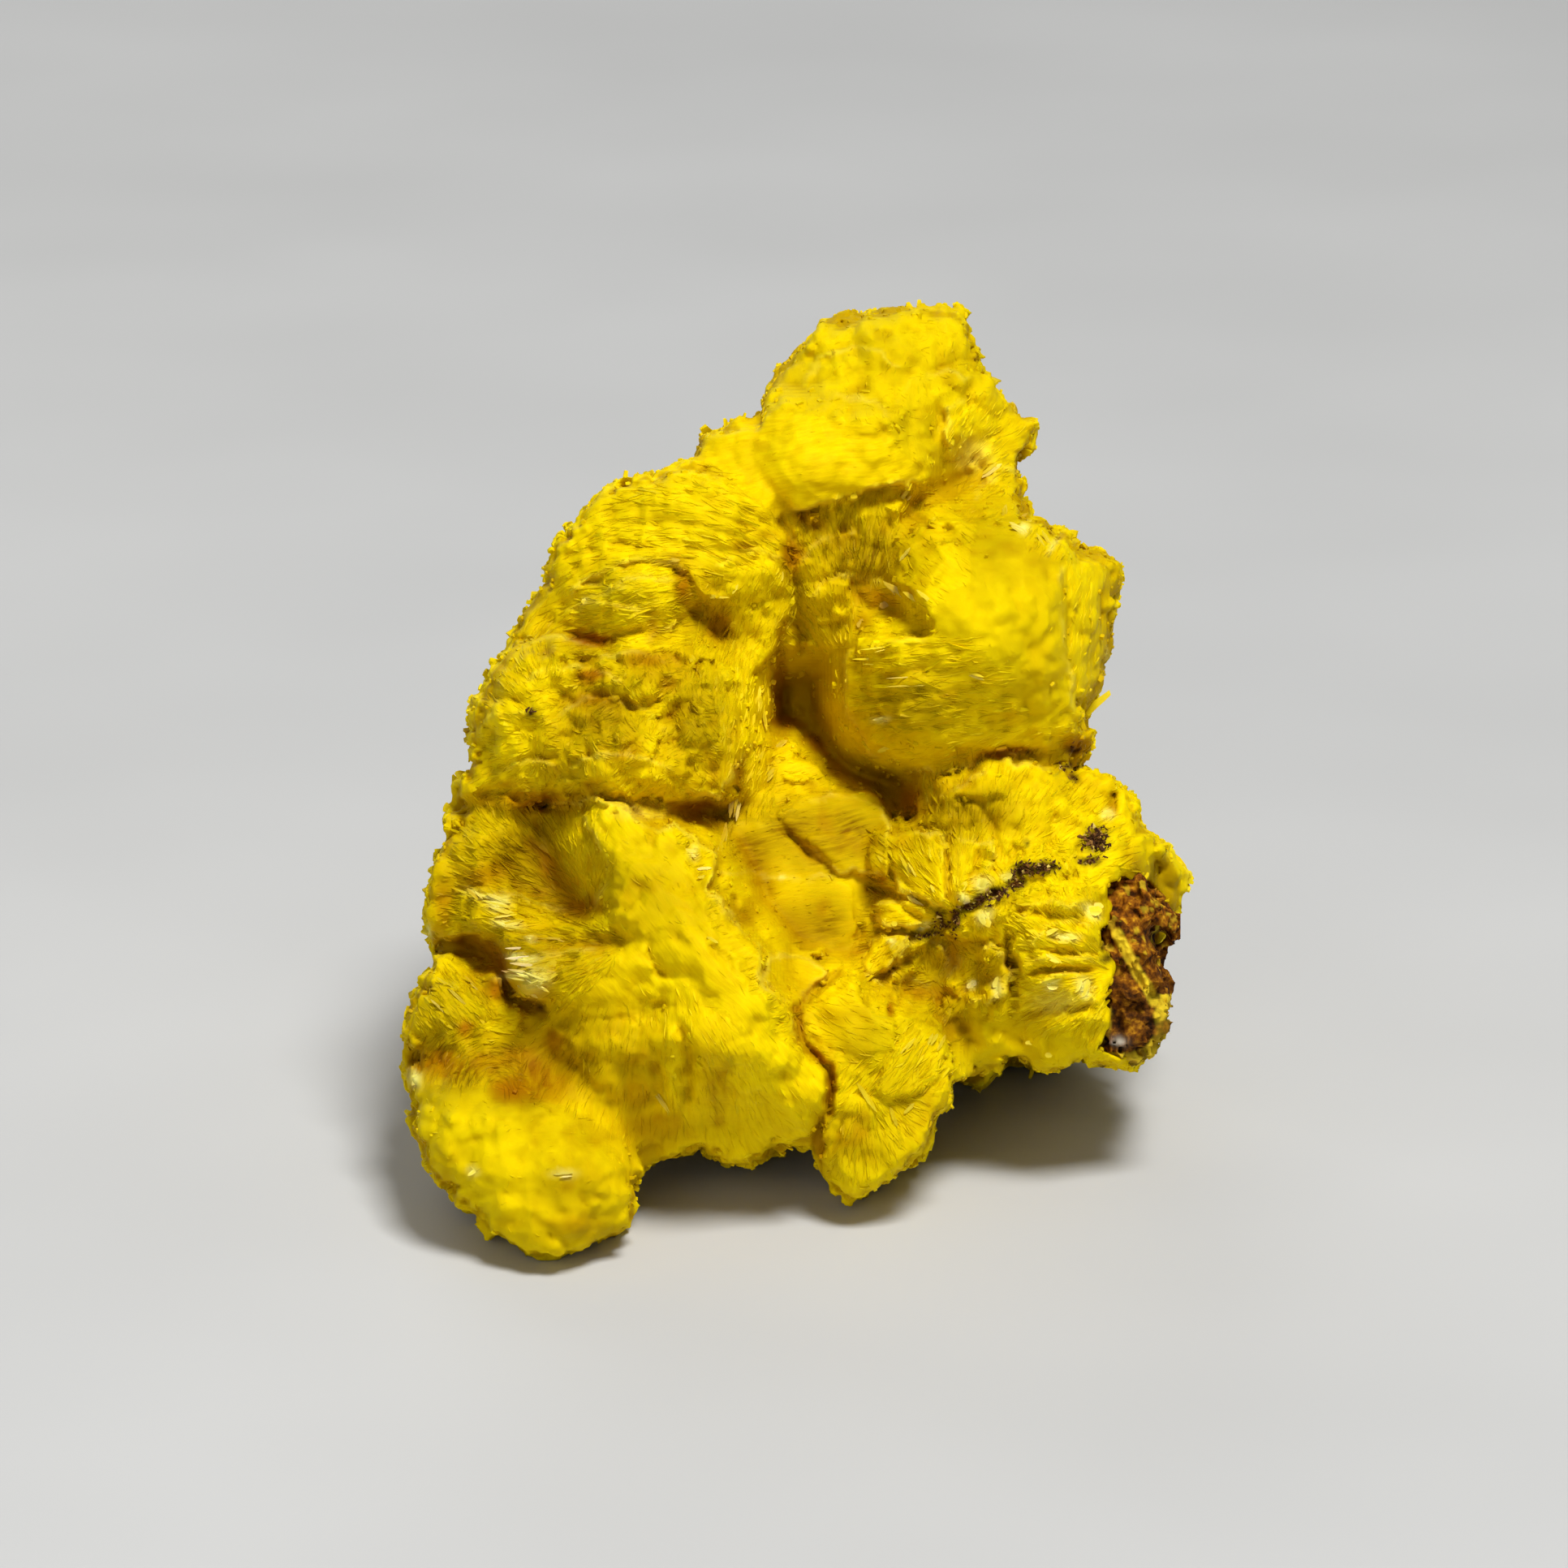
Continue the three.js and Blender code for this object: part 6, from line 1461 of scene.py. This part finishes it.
# ------------------------------------------------------------------ the brown crumb
CS = 2.3
cgx, cgy, cgd = np.arange(1335.0, 1456.0, CS), np.arange(1064.0, 1318.0, CS), np.arange(-3.0, 1.5, 0.042)
ck = (1 - cgd / DIST)[None, None, :]
CF = np.full((len(cgx), len(cgy), len(cgd)), 1.5)
X = (cgx[:, None, None] - 966) / PXMM * ck + np.zeros(CF.shape)
Y = (966 - cgy[None, :, None]) / PXMM * ck + np.zeros(CF.shape)
Z = cgd[None, None, :] + np.zeros(CF.shape)
for r_ in CRUMB:
    CF = smin(CF, lobe_at(r_, X, Y, Z) - 0.06, 0.35)
g1, g2 = np.meshgrid(cgx, cgy, indexing="ij")
ce = inside(CEDGE, g1 + 4 * noise2(g1 / 12, g2 / 12, 801) + 2 * noise2(g1 / 5, g2 / 5, 803),
            g2 + 4 * noise2(g1 / 12, g2 / 12, 802) + 2 * noise2(g1 / 5, g2 / 5, 804)) / PXMM
CF = smax(CF, -ce[:, :, None], 0.2)
P3 = np.stack([X, Y, Z], -1)
band = np.abs(CF) < 0.5
pb = P3[band]
dd = 0.05 + 0.12 * noise3(pb / 0.45, 41) - 0.16 * np.abs(noise3(pb / 0.24, 42)) - 0.13 * np.abs(noise3(pb / 0.12, 43)) + 0.11
sl_ = pb @ np.array([[0.8, -0.6, 0], [0.6, 0.8, 0], [0, 0, 1.0]])
dd += 0.09 * (1 - 2.2 * np.abs(noise3(sl_ / np.array([0.24, 0.5, 0.4]), 44)))
dd -= 0.14 * step((noise3(pb / 0.3, 45) - 0.15) / 0.25)
CF[band] -= dd
px3, py3 = np.broadcast_arrays(cgx[:, None, None], cgy[None, :, None])
CF -= -0.45 * np.exp(-(((px3 - 1425) / 14) ** 2 + ((py3 - 1152) / 16) ** 2))
cp, cq = surface(CF, cgx, cgy, cgd)
crumb = to_mesh("matrix_crumb", cp, cq)
attribute(crumb, "rnd", 0.5 + 0.5 * noise3(cp / 0.12, 78))
cpx, cpy, cpd = view(cp)
attribute(crumb, "black", step((cpy - 1175) / 60) * (0.60 + 0.40 * noise3(cp / 0.2, 79))
          + np.exp(-(((cpx - 1425) / 13) ** 2 + ((cpy - 1153) / 15) ** 2)))
sd, st = along([(1376, 1150), (1388, 1172), (1402, 1200), (1414, 1216), (1422, 1234)], cpx, cpy)
rimd = -inside(CEDGE, cpx, cpy)
attribute(crumb, "yellow", np.maximum(step((9 - sd) / 5), step((rimd + 5) / 5) * (cpy > 1225)
          * (0.25 + 0.75 * step((noise3(cp / 0.3, 81) + 0.25) / 0.3)) + 0.5 * step((noise3(cp / 0.16, 80) - 0.35) / 0.2) * (cpy < 1190)))
attribute(crumb, "grey", np.exp(-(((cpx - 1379) / 9) ** 2 + ((cpy - 1283) / 6) ** 2)))
print("crumb quads", len(cq))


def chips(name, pl, seed, mat_slot):
    """Small angular grains: px, py, size px, count."""
    r = np.random.default_rng(seed)
    V, Fc = [], []
    for px, py, rx, ry, turn, size, cnt in pl:
        a = math.radians(turn)
        for _ in range(cnt):
            u, v = r.normal(0, 0.5, 2)
            x = px + u * rx * math.cos(a) + v * ry * math.sin(a)
            y = py - u * rx * math.sin(a) + v * ry * math.cos(a)
            d, j = read_depth(np.array([x]), np.array([y]))
            c = world(x, y, d[0] - 0.01)
            s = size / PXMM * r.uniform(0.7, 1.5)
            ax = unit(r.normal(0, 1, (3, 3)))
            q = []
            for k in range(3):
                e = np.zeros(3)
                e = ax[k] * s * r.uniform(0.45, 1.0)
                q += [c + e, c - e * r.uniform(0.6, 1.0)]
            o = len(V)
            V += q
            Fc += [(o + a_, o + b_, o + c_) for a_, b_, c_ in ((0, 2, 4), (2, 1, 4), (1, 3, 4), (3, 0, 4), (2, 0, 5), (1, 2, 5), (3, 1, 5), (0, 3, 5))]
    return np.array(V), np.array(Fc, np.int32)


vein = [(1350, 1034, 15, 14, 0, 5, 170), (1342, 1061, 18, 5, 12, 4, 30), (1134, 1154, 16, 4, 5, 3.5, 24), (1152, 1150, 20, 3, 8, 3, 20),
        (1177, 1132, 8, 18, 5, 4, 44), (1160, 1138, 8, 14, 25, 4, 36), (1196, 1118, 16, 6, 20, 4, 36), (1216, 1106, 18, 10, 20, 4, 54),
        (1238, 1098, 12, 6, 25, 4, 26), (1254, 1088, 10, 9, 0, 4, 30), (1262, 1070, 18, 9, 5, 4.5, 60), (1290, 1068, 18, 8, 10, 4.5, 56),
        (1325, 922, 10, 6, 0, 4, 16), (1313, 945, 12, 6, 0, 4, 20), (1324, 959, 6, 9, 40, 4, 14), (655, 877, 6, 7, 0, 4, 8)]
vv, vf = chips("vein", vein, 301, 0)
vein_ob = to_mesh("vein_grains", vv, vf, smooth=False)
attribute(vein_ob, "rnd", np.repeat(np.random.default_rng(5).random(len(vv) // 6), 6))


def slab(poly, d0, thick, gx=0.0, gy=0.0):
    """A thin plate with a traced outline, leaning by gx, gy mm per mm."""
    mx, my = np.mean(np.array(poly), 0)
    V = []
    for side in (0.0, -thick):
        for x, y in poly:
            V.append(world(x, y, d0 + side + ((x - mx) * gx + (y - my) * gy) / PXMM))
    n = len(poly)
    F = [(0, k, k + 1) for k in range(1, n - 1)] + [(n, n + k + 1, n + k) for k in range(1, n - 1)]
    for k in range(n):
        m = (k + 1) % n
        F += [(k, n + k, m), (m, n + k, n + m)]
    return np.array(V), np.array(F, np.int32)


# bright single plates: px, py, length px, width px, turn deg, lean right, lean down
GLINT = [
    (935, 862, 34, 5, 84, 0.3, 0), (928, 888, 18, 5, 75, 0.3, 0), (941, 880, 40, 5, 100, -0.2, 0), (936, 872, 22, 5, 78, 0.4, 0),
    (934, 936, 26, 5, 56, 0.3, 0), (947, 955, 22, 5, 52, 0.2, 0), (902, 985, 46, 6, 84, 0.4, 0), (911, 990, 44, 5, 80, -0.3, 0),
    (893, 1035, 44, 6, 84, 0.3, 0), (888, 1050, 30, 5, 86, 0.4, 0), (962, 918, 20, 5, 35, 0, 0.3), (1108, 730, 40, 7, -38, 0, 0.3),
    (1128, 738, 36, 6, -30, 0, 0.4), (1086, 885, 22, 3, 12, 0, 0.3), (1092, 922, 24, 5, 18, 0, 0.4), (1115, 683, 22, 4, 50, 0.3, 0),
    (1113, 612, 26, 5, 52, 0.3, 0), (1222, 580, 30, 6, 35, 0, 0.4), (1238, 632, 22, 5, 80, 0.3, 0), (1255, 650, 26, 5, -32, 0, 0.4),
    (1268, 645, 22, 5, 45, 0, 0.3), (1292, 668, 34, 5, -60, 0.3, 0), (1300, 664, 30, 5, -58, 0.3, 0), (1090, 745, 14, 9, 20, 0, 0),
    (627, 1137, 38, 5, 10, 0, 0.4), (620, 1128, 34, 4, 4, 0, 0.3), (606, 1107, 34, 4, -20, 0, 0.3), (612, 1114, 36, 4, -16, 0, 0.3),
    (618, 1121, 32, 4, -12, 0, 0.3), (645, 1180, 46, 4, 3, 0, 0.4), (650, 1189, 44, 4, -4, 0, 0.4), (640, 1201, 46, 4, -14, 0, 0.4),
    (655, 1206, 40, 4, -20, 0, 0.3), (662, 1214, 34, 4, -26, 0, 0.3), (650, 1222, 30, 4, -32, 0, 0.3), (668, 1196, 36, 4, -10, 0, 0.3), (588, 1106, 34, 6, -42, 0, 0.4), (657, 1158, 12, 8, 40, 0, 0), (690, 1157, 34, 3, -6, 0, 0.3),
    (565, 1230, 36, 3, -42, 0, 0.3), (548, 1212, 26, 3, -40, 0, 0.3), (583, 1212, 30, 3, -44, 0, 0.3), (540, 1240, 26, 3, -44, 0, 0.3),
    (810, 1352, 46, 3, -54, 0.2, 0), (855, 1052, 14, 6, 60, 0, 0), (848, 1048, 20, 6, -10, 0, 0.3), (868, 1070, 18, 4, 5, 0, 0.3),
    (868, 1080, 18, 4, 8, 0, 0.3), (878, 1158, 16, 4, -30, 0, 0.3), (1068, 1352, 44, 6, -58, 0.3, 0), (1101, 1376, 26, 5, -70, 0.4, 0),
    (1120, 1366, 18, 5, 45, 0, 0.3), (1160, 1285, 22, 5, 62, 0.3, 0), (1148, 1284, 26, 5, 55, 0.3, 0), (1118, 1290, 30, 5, 50, 0.3, 0),
    (1345, 1122, 26, 13, 0, 0.2, 0.4), (1312, 1154, 30, 7, -8, 0, 0.5), (1297, 1215, 14, 10, 0, 0, 0.4), (1336, 1219, 26, 12, 65, 0.3, 0.2),
    (1197, 1213, 14, 9, 35, 0, 0.4), (1228, 1210, 16, 9, 60, 0.2, 0.2), (1230, 1226, 12, 8, 10, 0, 0.4), (1210, 1090, 18, 12, 60, 0.2, 0),
    (1188, 1108, 16, 10, -25, 0, 0.4), (1213, 1132, 24, 12, -60, 0.3, 0), (1138, 1141, 18, 5, -10, 0, 0.4), (1102, 1138, 8, 6, 0, 0, 0),
    (1150, 1096, 14, 4, -60, 0.3, 0), (1128, 1112, 26, 6, -38, 0, 0.3), (1120, 1102, 24, 5, -40, 0, 0.3), (1118, 1070, 40, 5, -60, 0.3, 0),
    (1187, 1092, 14, 7, 60, 0.2, 0), (1240, 1080, 16, 9, 20, 0, 0.3), (1292, 1180, 30, 6, -25, 0, 0.4), (1290, 1150, 30, 6, 20, 0, 0.4),
    (1385, 1088, 16, 8, 50, 0, 0.3), (1365, 1003, 16, 10, 0, 0, 0.3), (510, 1330, 22, 10, 55, 0.3, 0), (505, 1322, 18, 9, 80, 0.3, 0),
    (529, 1148, 16, 6, 80, 0.2, 0), (583, 1444, 16, 5, 35, 0.2, 0.2), (694, 1446, 24, 3, 5, 0, 0.3), (878, 735, 8, 6, 0, 0, 0),
    (890, 736, 18, 2.5, 0, 0, 0.2), (906, 726, 14, 4, 60, 0.2, 0), (964, 710, 12, 3, 86, 0.3, 0), (1060, 768, 12, 7, 60, 0.2, 0),
    (1120, 845, 60, 2, 3, 0, 0.3), (1085, 798, 50, 2, 5, 0, 0.3), (1070, 812, 40, 2.5, 2, 0, 0.3), (1200, 830, 26, 4, -20, 0, 0.3),
    (720, 741, 8, 8, 0, 0, 0), (830, 690, 16, 5, 0, 0, 0.3), (1268, 1285, 10, 5, 0, 0, 0), (1292, 1300, 9, 7, 0, 0, 0),
]
r_ = np.random.default_rng(77)
GV_, GF_ = [], []
for x, y, L, W, turn, gx_, gy_ in GLINT:
    a = math.radians(turn)
    for rep in range(1 if L < 20 else 2):
        s = 1.0 if rep == 0 else r_.uniform(0.5, 0.85)
        cx = x + (0 if rep == 0 else r_.normal(0, L * 0.14))
        cy = y + (0 if rep == 0 else r_.normal(0, L * 0.14))
        a2 = a + r_.normal(0, 0.10 if rep else 0.02)
        k = 7
        tt = np.linspace(-1, 1, k)
        up = [(t * L / 2 * s, W / 2 * s * ((1 - abs(t) ** 4) * 0.85 + 0.15) * r_.uniform(0.75, 1.15)) for t in tt]
        dn = [(t * L / 2 * s, -W / 2 * s * ((1 - abs(t) ** 4) * 0.85 + 0.15) * r_.uniform(0.75, 1.15)) for t in tt[::-1]]
        poly = [(cx + u * math.cos(a2) + v * math.sin(a2), cy - u * math.sin(a2) + v * math.cos(a2)) for u, v in up + dn]
        dd_, jj = read_depth(np.array([q[0] for q in poly]), np.array([q[1] for q in poly]))
        if dd_.min() < -9:
            continue
        base = np.median(dd_)
        V, F = slab(poly, base + 0.035 + (0.02 * rep), 0.035, gx_ * 0.5 + r_.normal(0, 0.12), gy_ * 0.5 + r_.normal(0, 0.12))
        o = sum(len(q) for q in GV_)
        GV_.append(V)
        GF_.append(F + o)
flake_poly = [(1334, 884), (1341, 872), (1350, 862), (1360, 855), (1367, 850), (1369, 856), (1361, 864), (1351, 873), (1342, 882)]
V, F = slab(flake_poly, -1.35, 0.05, 0.25, 0.1)
GF_.append(F + sum(len(q) for q in GV_))
GV_.append(V)
gv, gf = np.concatenate(GV_), np.concatenate(GF_)
glint = to_mesh("bright_plates", gv, gf, smooth=False)
tint(glint, gv)
attribute(glint, "rnd", np.random.default_rng(6).random(len(gv)))
print("glints", len(gf))

# ------------------------------------------------------------------ materials
def new_mat(name):
    m = bpy.data.materials.new(name)
    m.use_nodes = True
    nt = m.node_tree
    return m, nt, nt.nodes["Principled BSDF"]


def ramp(nt, stops, fac):
    r = nt.nodes.new("ShaderNodeValToRGB")
    e = r.color_ramp.elements
    e[0].position, e[0].color = stops[0][0], (*stops[0][1], 1)
    e[1].position, e[1].color = stops[-1][0], (*stops[-1][1], 1)
    for pos, col in stops[1:-1]:
        x = e.new(pos)
        x.color = (*col, 1)
    nt.links.new(fac, r.inputs["Fac"])
    return r.outputs["Color"]


def tex_noise(nt, scale, coord, detail=3.0, rough=0.55):
    n = nt.nodes.new("ShaderNodeTexNoise")
    n.inputs["Scale"].default_value = scale
    n.inputs["Detail"].default_value = detail
    n.inputs["Roughness"].default_value = rough
    nt.links.new(coord, n.inputs["Vector"])
    return n.outputs["Fac"]


def attr(nt, name, vector=False):
    a = nt.nodes.new("ShaderNodeAttribute")
    a.attribute_name = name
    return a.outputs["Vector" if vector else "Fac"]


def times(nt, a, k, add=0.0):
    m = nt.nodes.new("ShaderNodeMath")
    m.operation = "MULTIPLY_ADD"
    m.use_clamp = True
    nt.links.new(a, m.inputs[0])
    if isinstance(k, (int, float)):
        m.inputs[1].default_value = k
    else:
        nt.links.new(k, m.inputs[1])
    m.inputs[2].default_value = add
    return m.outputs[0]


def mix(nt, a, b, fac, mode="MIX"):
    m = nt.nodes.new("ShaderNodeMix")
    m.data_type = "RGBA"
    m.blend_type = mode
    for sock, val in ((m.inputs[0], fac), (m.inputs[6], a), (m.inputs[7], b)):
        if hasattr(val, "is_output"):
            nt.links.new(val, sock)
        elif isinstance(val, (int, float)):
            sock.default_value = val
        else:
            sock.default_value = (*val, 1)
    return m.outputs[2]


def crystal_material(name, gloss, spec, lift, fine):
    m, nt, b = new_mat(name)
    co = nt.nodes.new("ShaderNodeTexCoord").outputs["Object"]
    page = attr(nt, "page", True)
    n1 = tex_noise(nt, 520.0, co, 4.0, 0.6)
    n2 = tex_noise(nt, 1.0, page, 3.0, 0.6)
    c = ramp(nt, [(0.34, (0.70, 0.46, 0.0)), (0.50, (0.80, 0.565, 0.0)), (0.68, (0.86, 0.64, 0.0))], n1)
    streak = ramp(nt, [(0.36, (0.60, 0.38, 0.0)), (0.60, (0.90, 0.69, 0.0))], n2)
    c = mix(nt, c, streak, 0.36)
    # lift lightens the colour: random tone per plate, and on the glint material a painted highlight
    c = mix(nt, c, (0.94, 0.76, 0.0), times(nt, attr(nt, "rnd"), 0.22 + lift, -0.04))
    # painted shade: darker gold-brown where shade falls
    c = mix(nt, c, (0.215, 0.112, 0.0), times(nt, attr(nt, "painted_shade"), times(nt, n2, 1.7, -0.06)))
    # orange-brown stain, partly painted shade in crevices and hollows
    c = mix(nt, c, (0.33, 0.112, 0.0), times(nt, attr(nt, "stain_and_shade"), times(nt, n1, 1.5, 0.15)))
    # painted highlight: pale glints and lit spots
    c = mix(nt, c, (0.95, 0.90, 0.22), times(nt, attr(nt, "painted_highlight"), 0.85))
    c = mix(nt, c, (0.050, 0.016, 0.003), times(nt, attr(nt, "dark"), 1.15))
    nt.links.new(c, b.inputs["Base Color"])
    b.inputs["Roughness"].default_value = gloss
    b.inputs["Specular IOR Level"].default_value = spec
    b.inputs["Subsurface Weight"].default_value = 0.22
    b.inputs["Subsurface Radius"].default_value = (1.0, 0.75, 0.02)
    b.inputs["Subsurface Scale"].default_value = 0.00035
    bump = nt.nodes.new("ShaderNodeBump")
    bump.inputs["Strength"].default_value = fine
    bump.inputs["Distance"].default_value = 0.00003
    nt.links.new(n2, bump.inputs["Height"])
    nt.links.new(bump.outputs["Normal"], b.inputs["Normal"])
    return m


def crumb_material():
    m, nt, b = new_mat("limonite_brown")
    co = nt.nodes.new("ShaderNodeTexCoord").outputs["Object"]
    n1 = tex_noise(nt, 1700.0, co, 5.0, 0.65)
    n2 = tex_noise(nt, 5200.0, co, 3.0, 0.6)
    c = ramp(nt, [(0.34, (0.030, 0.009, 0.001)), (0.45, (0.125, 0.036, 0.002)), (0.56, (0.29, 0.10, 0.004)), (0.70, (0.60, 0.30, 0.01))], n2)
    dk = ramp(nt, [(0.36, (0.008, 0.003, 0.001)), (0.53, (0.055, 0.018, 0.002)), (0.68, (0.26, 0.10, 0.006))], n2)
    c = mix(nt, c, dk, times(nt, attr(nt, "black"), 1.0))
    c = mix(nt, c, (0.80, 0.58, 0.02), times(nt, attr(nt, "yellow"), times(nt, n1, 2.2, -0.35)))
    c = mix(nt, c, (0.42, 0.38, 0.30), times(nt, attr(nt, "grey"), 0.9))
    nt.links.new(c, b.inputs["Base Color"])
    b.inputs["Roughness"].default_value = 0.85
    b.inputs["Specular IOR Level"].default_value = 0.08
    bump = nt.nodes.new("ShaderNodeBump")
    bump.inputs["Strength"].default_value = 0.6
    bump.inputs["Distance"].default_value = 0.00004
    nt.links.new(n2, bump.inputs["Height"])
    nt.links.new(bump.outputs["Normal"], b.inputs["Normal"])
    return m


def vein_material():
    m, nt, b = new_mat("vein_dark")
    c = ramp(nt, [(0.0, (0.035, 0.012, 0.003)), (0.55, (0.10, 0.036, 0.008)), (0.86, (0.26, 0.12, 0.02)), (1.0, (0.70, 0.52, 0.10))],
             attr(nt, "rnd"))
    nt.links.new(c, b.inputs["Base Color"])
    b.inputs["Roughness"].default_value = 0.7
    b.inputs["Specular IOR Level"].default_value = 0.15
    return m


YM = crystal_material("vanuralite_yellow", 0.65, 0.025, 0.0, 0.45)
YP = crystal_material("vanuralite_plates", 0.55, 0.05, 0.14, 0.2)
# glint plates: glossier, and lighter in colour as a painted highlight
YG = crystal_material("vanuralite_painted_glint", 0.34, 0.32, 0.40, 0.1)
for ob in pieces:
    ob.data.materials.append(YM if ob.name.startswith("crystals") else YP)
glint.data.materials.append(YG)
pieces.append(glint)
crumb.data.materials.append(crumb_material())
vein_ob.data.materials.append(vein_material())
for ob in pieces:
    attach(ob, "root")
    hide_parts("vanuralite_crystals")
for ob in (crumb, vein_ob):
    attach(ob, "root")
    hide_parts("limonite_matrix" if ob is crumb else "vanuralite_crystals")

# ------------------------------------------------------------------ stage
me = bpy.data.meshes.new("floor")
s = 1.5
me.from_pydata([(-s, -s, 0), (s, -s, 0), (s, s, 0), (-s, s, 0)], [], [(0, 1, 2, 3)])
fl = bpy.data.objects.new("floor", me)
bpy.context.scene.collection.objects.link(fl)
m, nt, b = new_mat("pale_floor")
co = nt.nodes.new("ShaderNodeTexCoord").outputs["Object"]
n = tex_noise(nt, 60.0, co, 2.0, 0.5)
c = ramp(nt, [(0.3, (0.50, 0.50, 0.49)), (0.7, (0.54, 0.54, 0.53))], n)
nt.links.new(c, b.inputs["Base Color"])
b.inputs["Roughness"].default_value = 0.75
me.materials.append(m)


def area(name, pos, target, size, power, color=(1, 1, 1)):
    d = bpy.data.lights.new(name, "AREA")
    d.shape = "SQUARE"
    d.size = size
    d.energy = power
    d.color = color
    ob = bpy.data.objects.new(name, d)
    ob.location = pos
    v = Vector(target) - Vector(pos)
    ob.rotation_euler = v.to_track_quat("-Z", "Y").to_euler()
    bpy.context.scene.collection.objects.link(ob)


area("key", (0.07, -0.145, 0.295), (0, 0, 0.008), 0.09, 1.29)
area("front", (-0.10, -0.34, 0.14), (0, 0, 0.008), 0.20, 0.26)
area("back", (-0.12, 0.30, 0.15), (0, 0, 0.007), 0.22, 0.30)
w = bpy.data.worlds.new("studio")
bpy.context.scene.world = w
w.use_nodes = True
w.node_tree.nodes["Background"].inputs["Color"].default_value = (0.95, 0.97, 1.0, 1)
w.node_tree.nodes["Background"].inputs["Strength"].default_value = 0.13

cam_d = bpy.data.cameras.new("camera")
cam_d.sensor_width = 36.0
cam_d.lens = 36.0 * PXMM * DIST / 1932.0
cam_d.clip_start = 0.005
cam_d.clip_end = 10
cam = bpy.data.objects.new("camera", cam_d)
cam.location = (TARGET + NEAR * DIST) * 0.001
cam.rotation_euler = (math.pi / 2 - ELEV, 0, 0)
bpy.context.scene.collection.objects.link(cam)
bpy.context.scene.camera = cam
bpy.context.scene.view_settings.view_transform = "Standard"

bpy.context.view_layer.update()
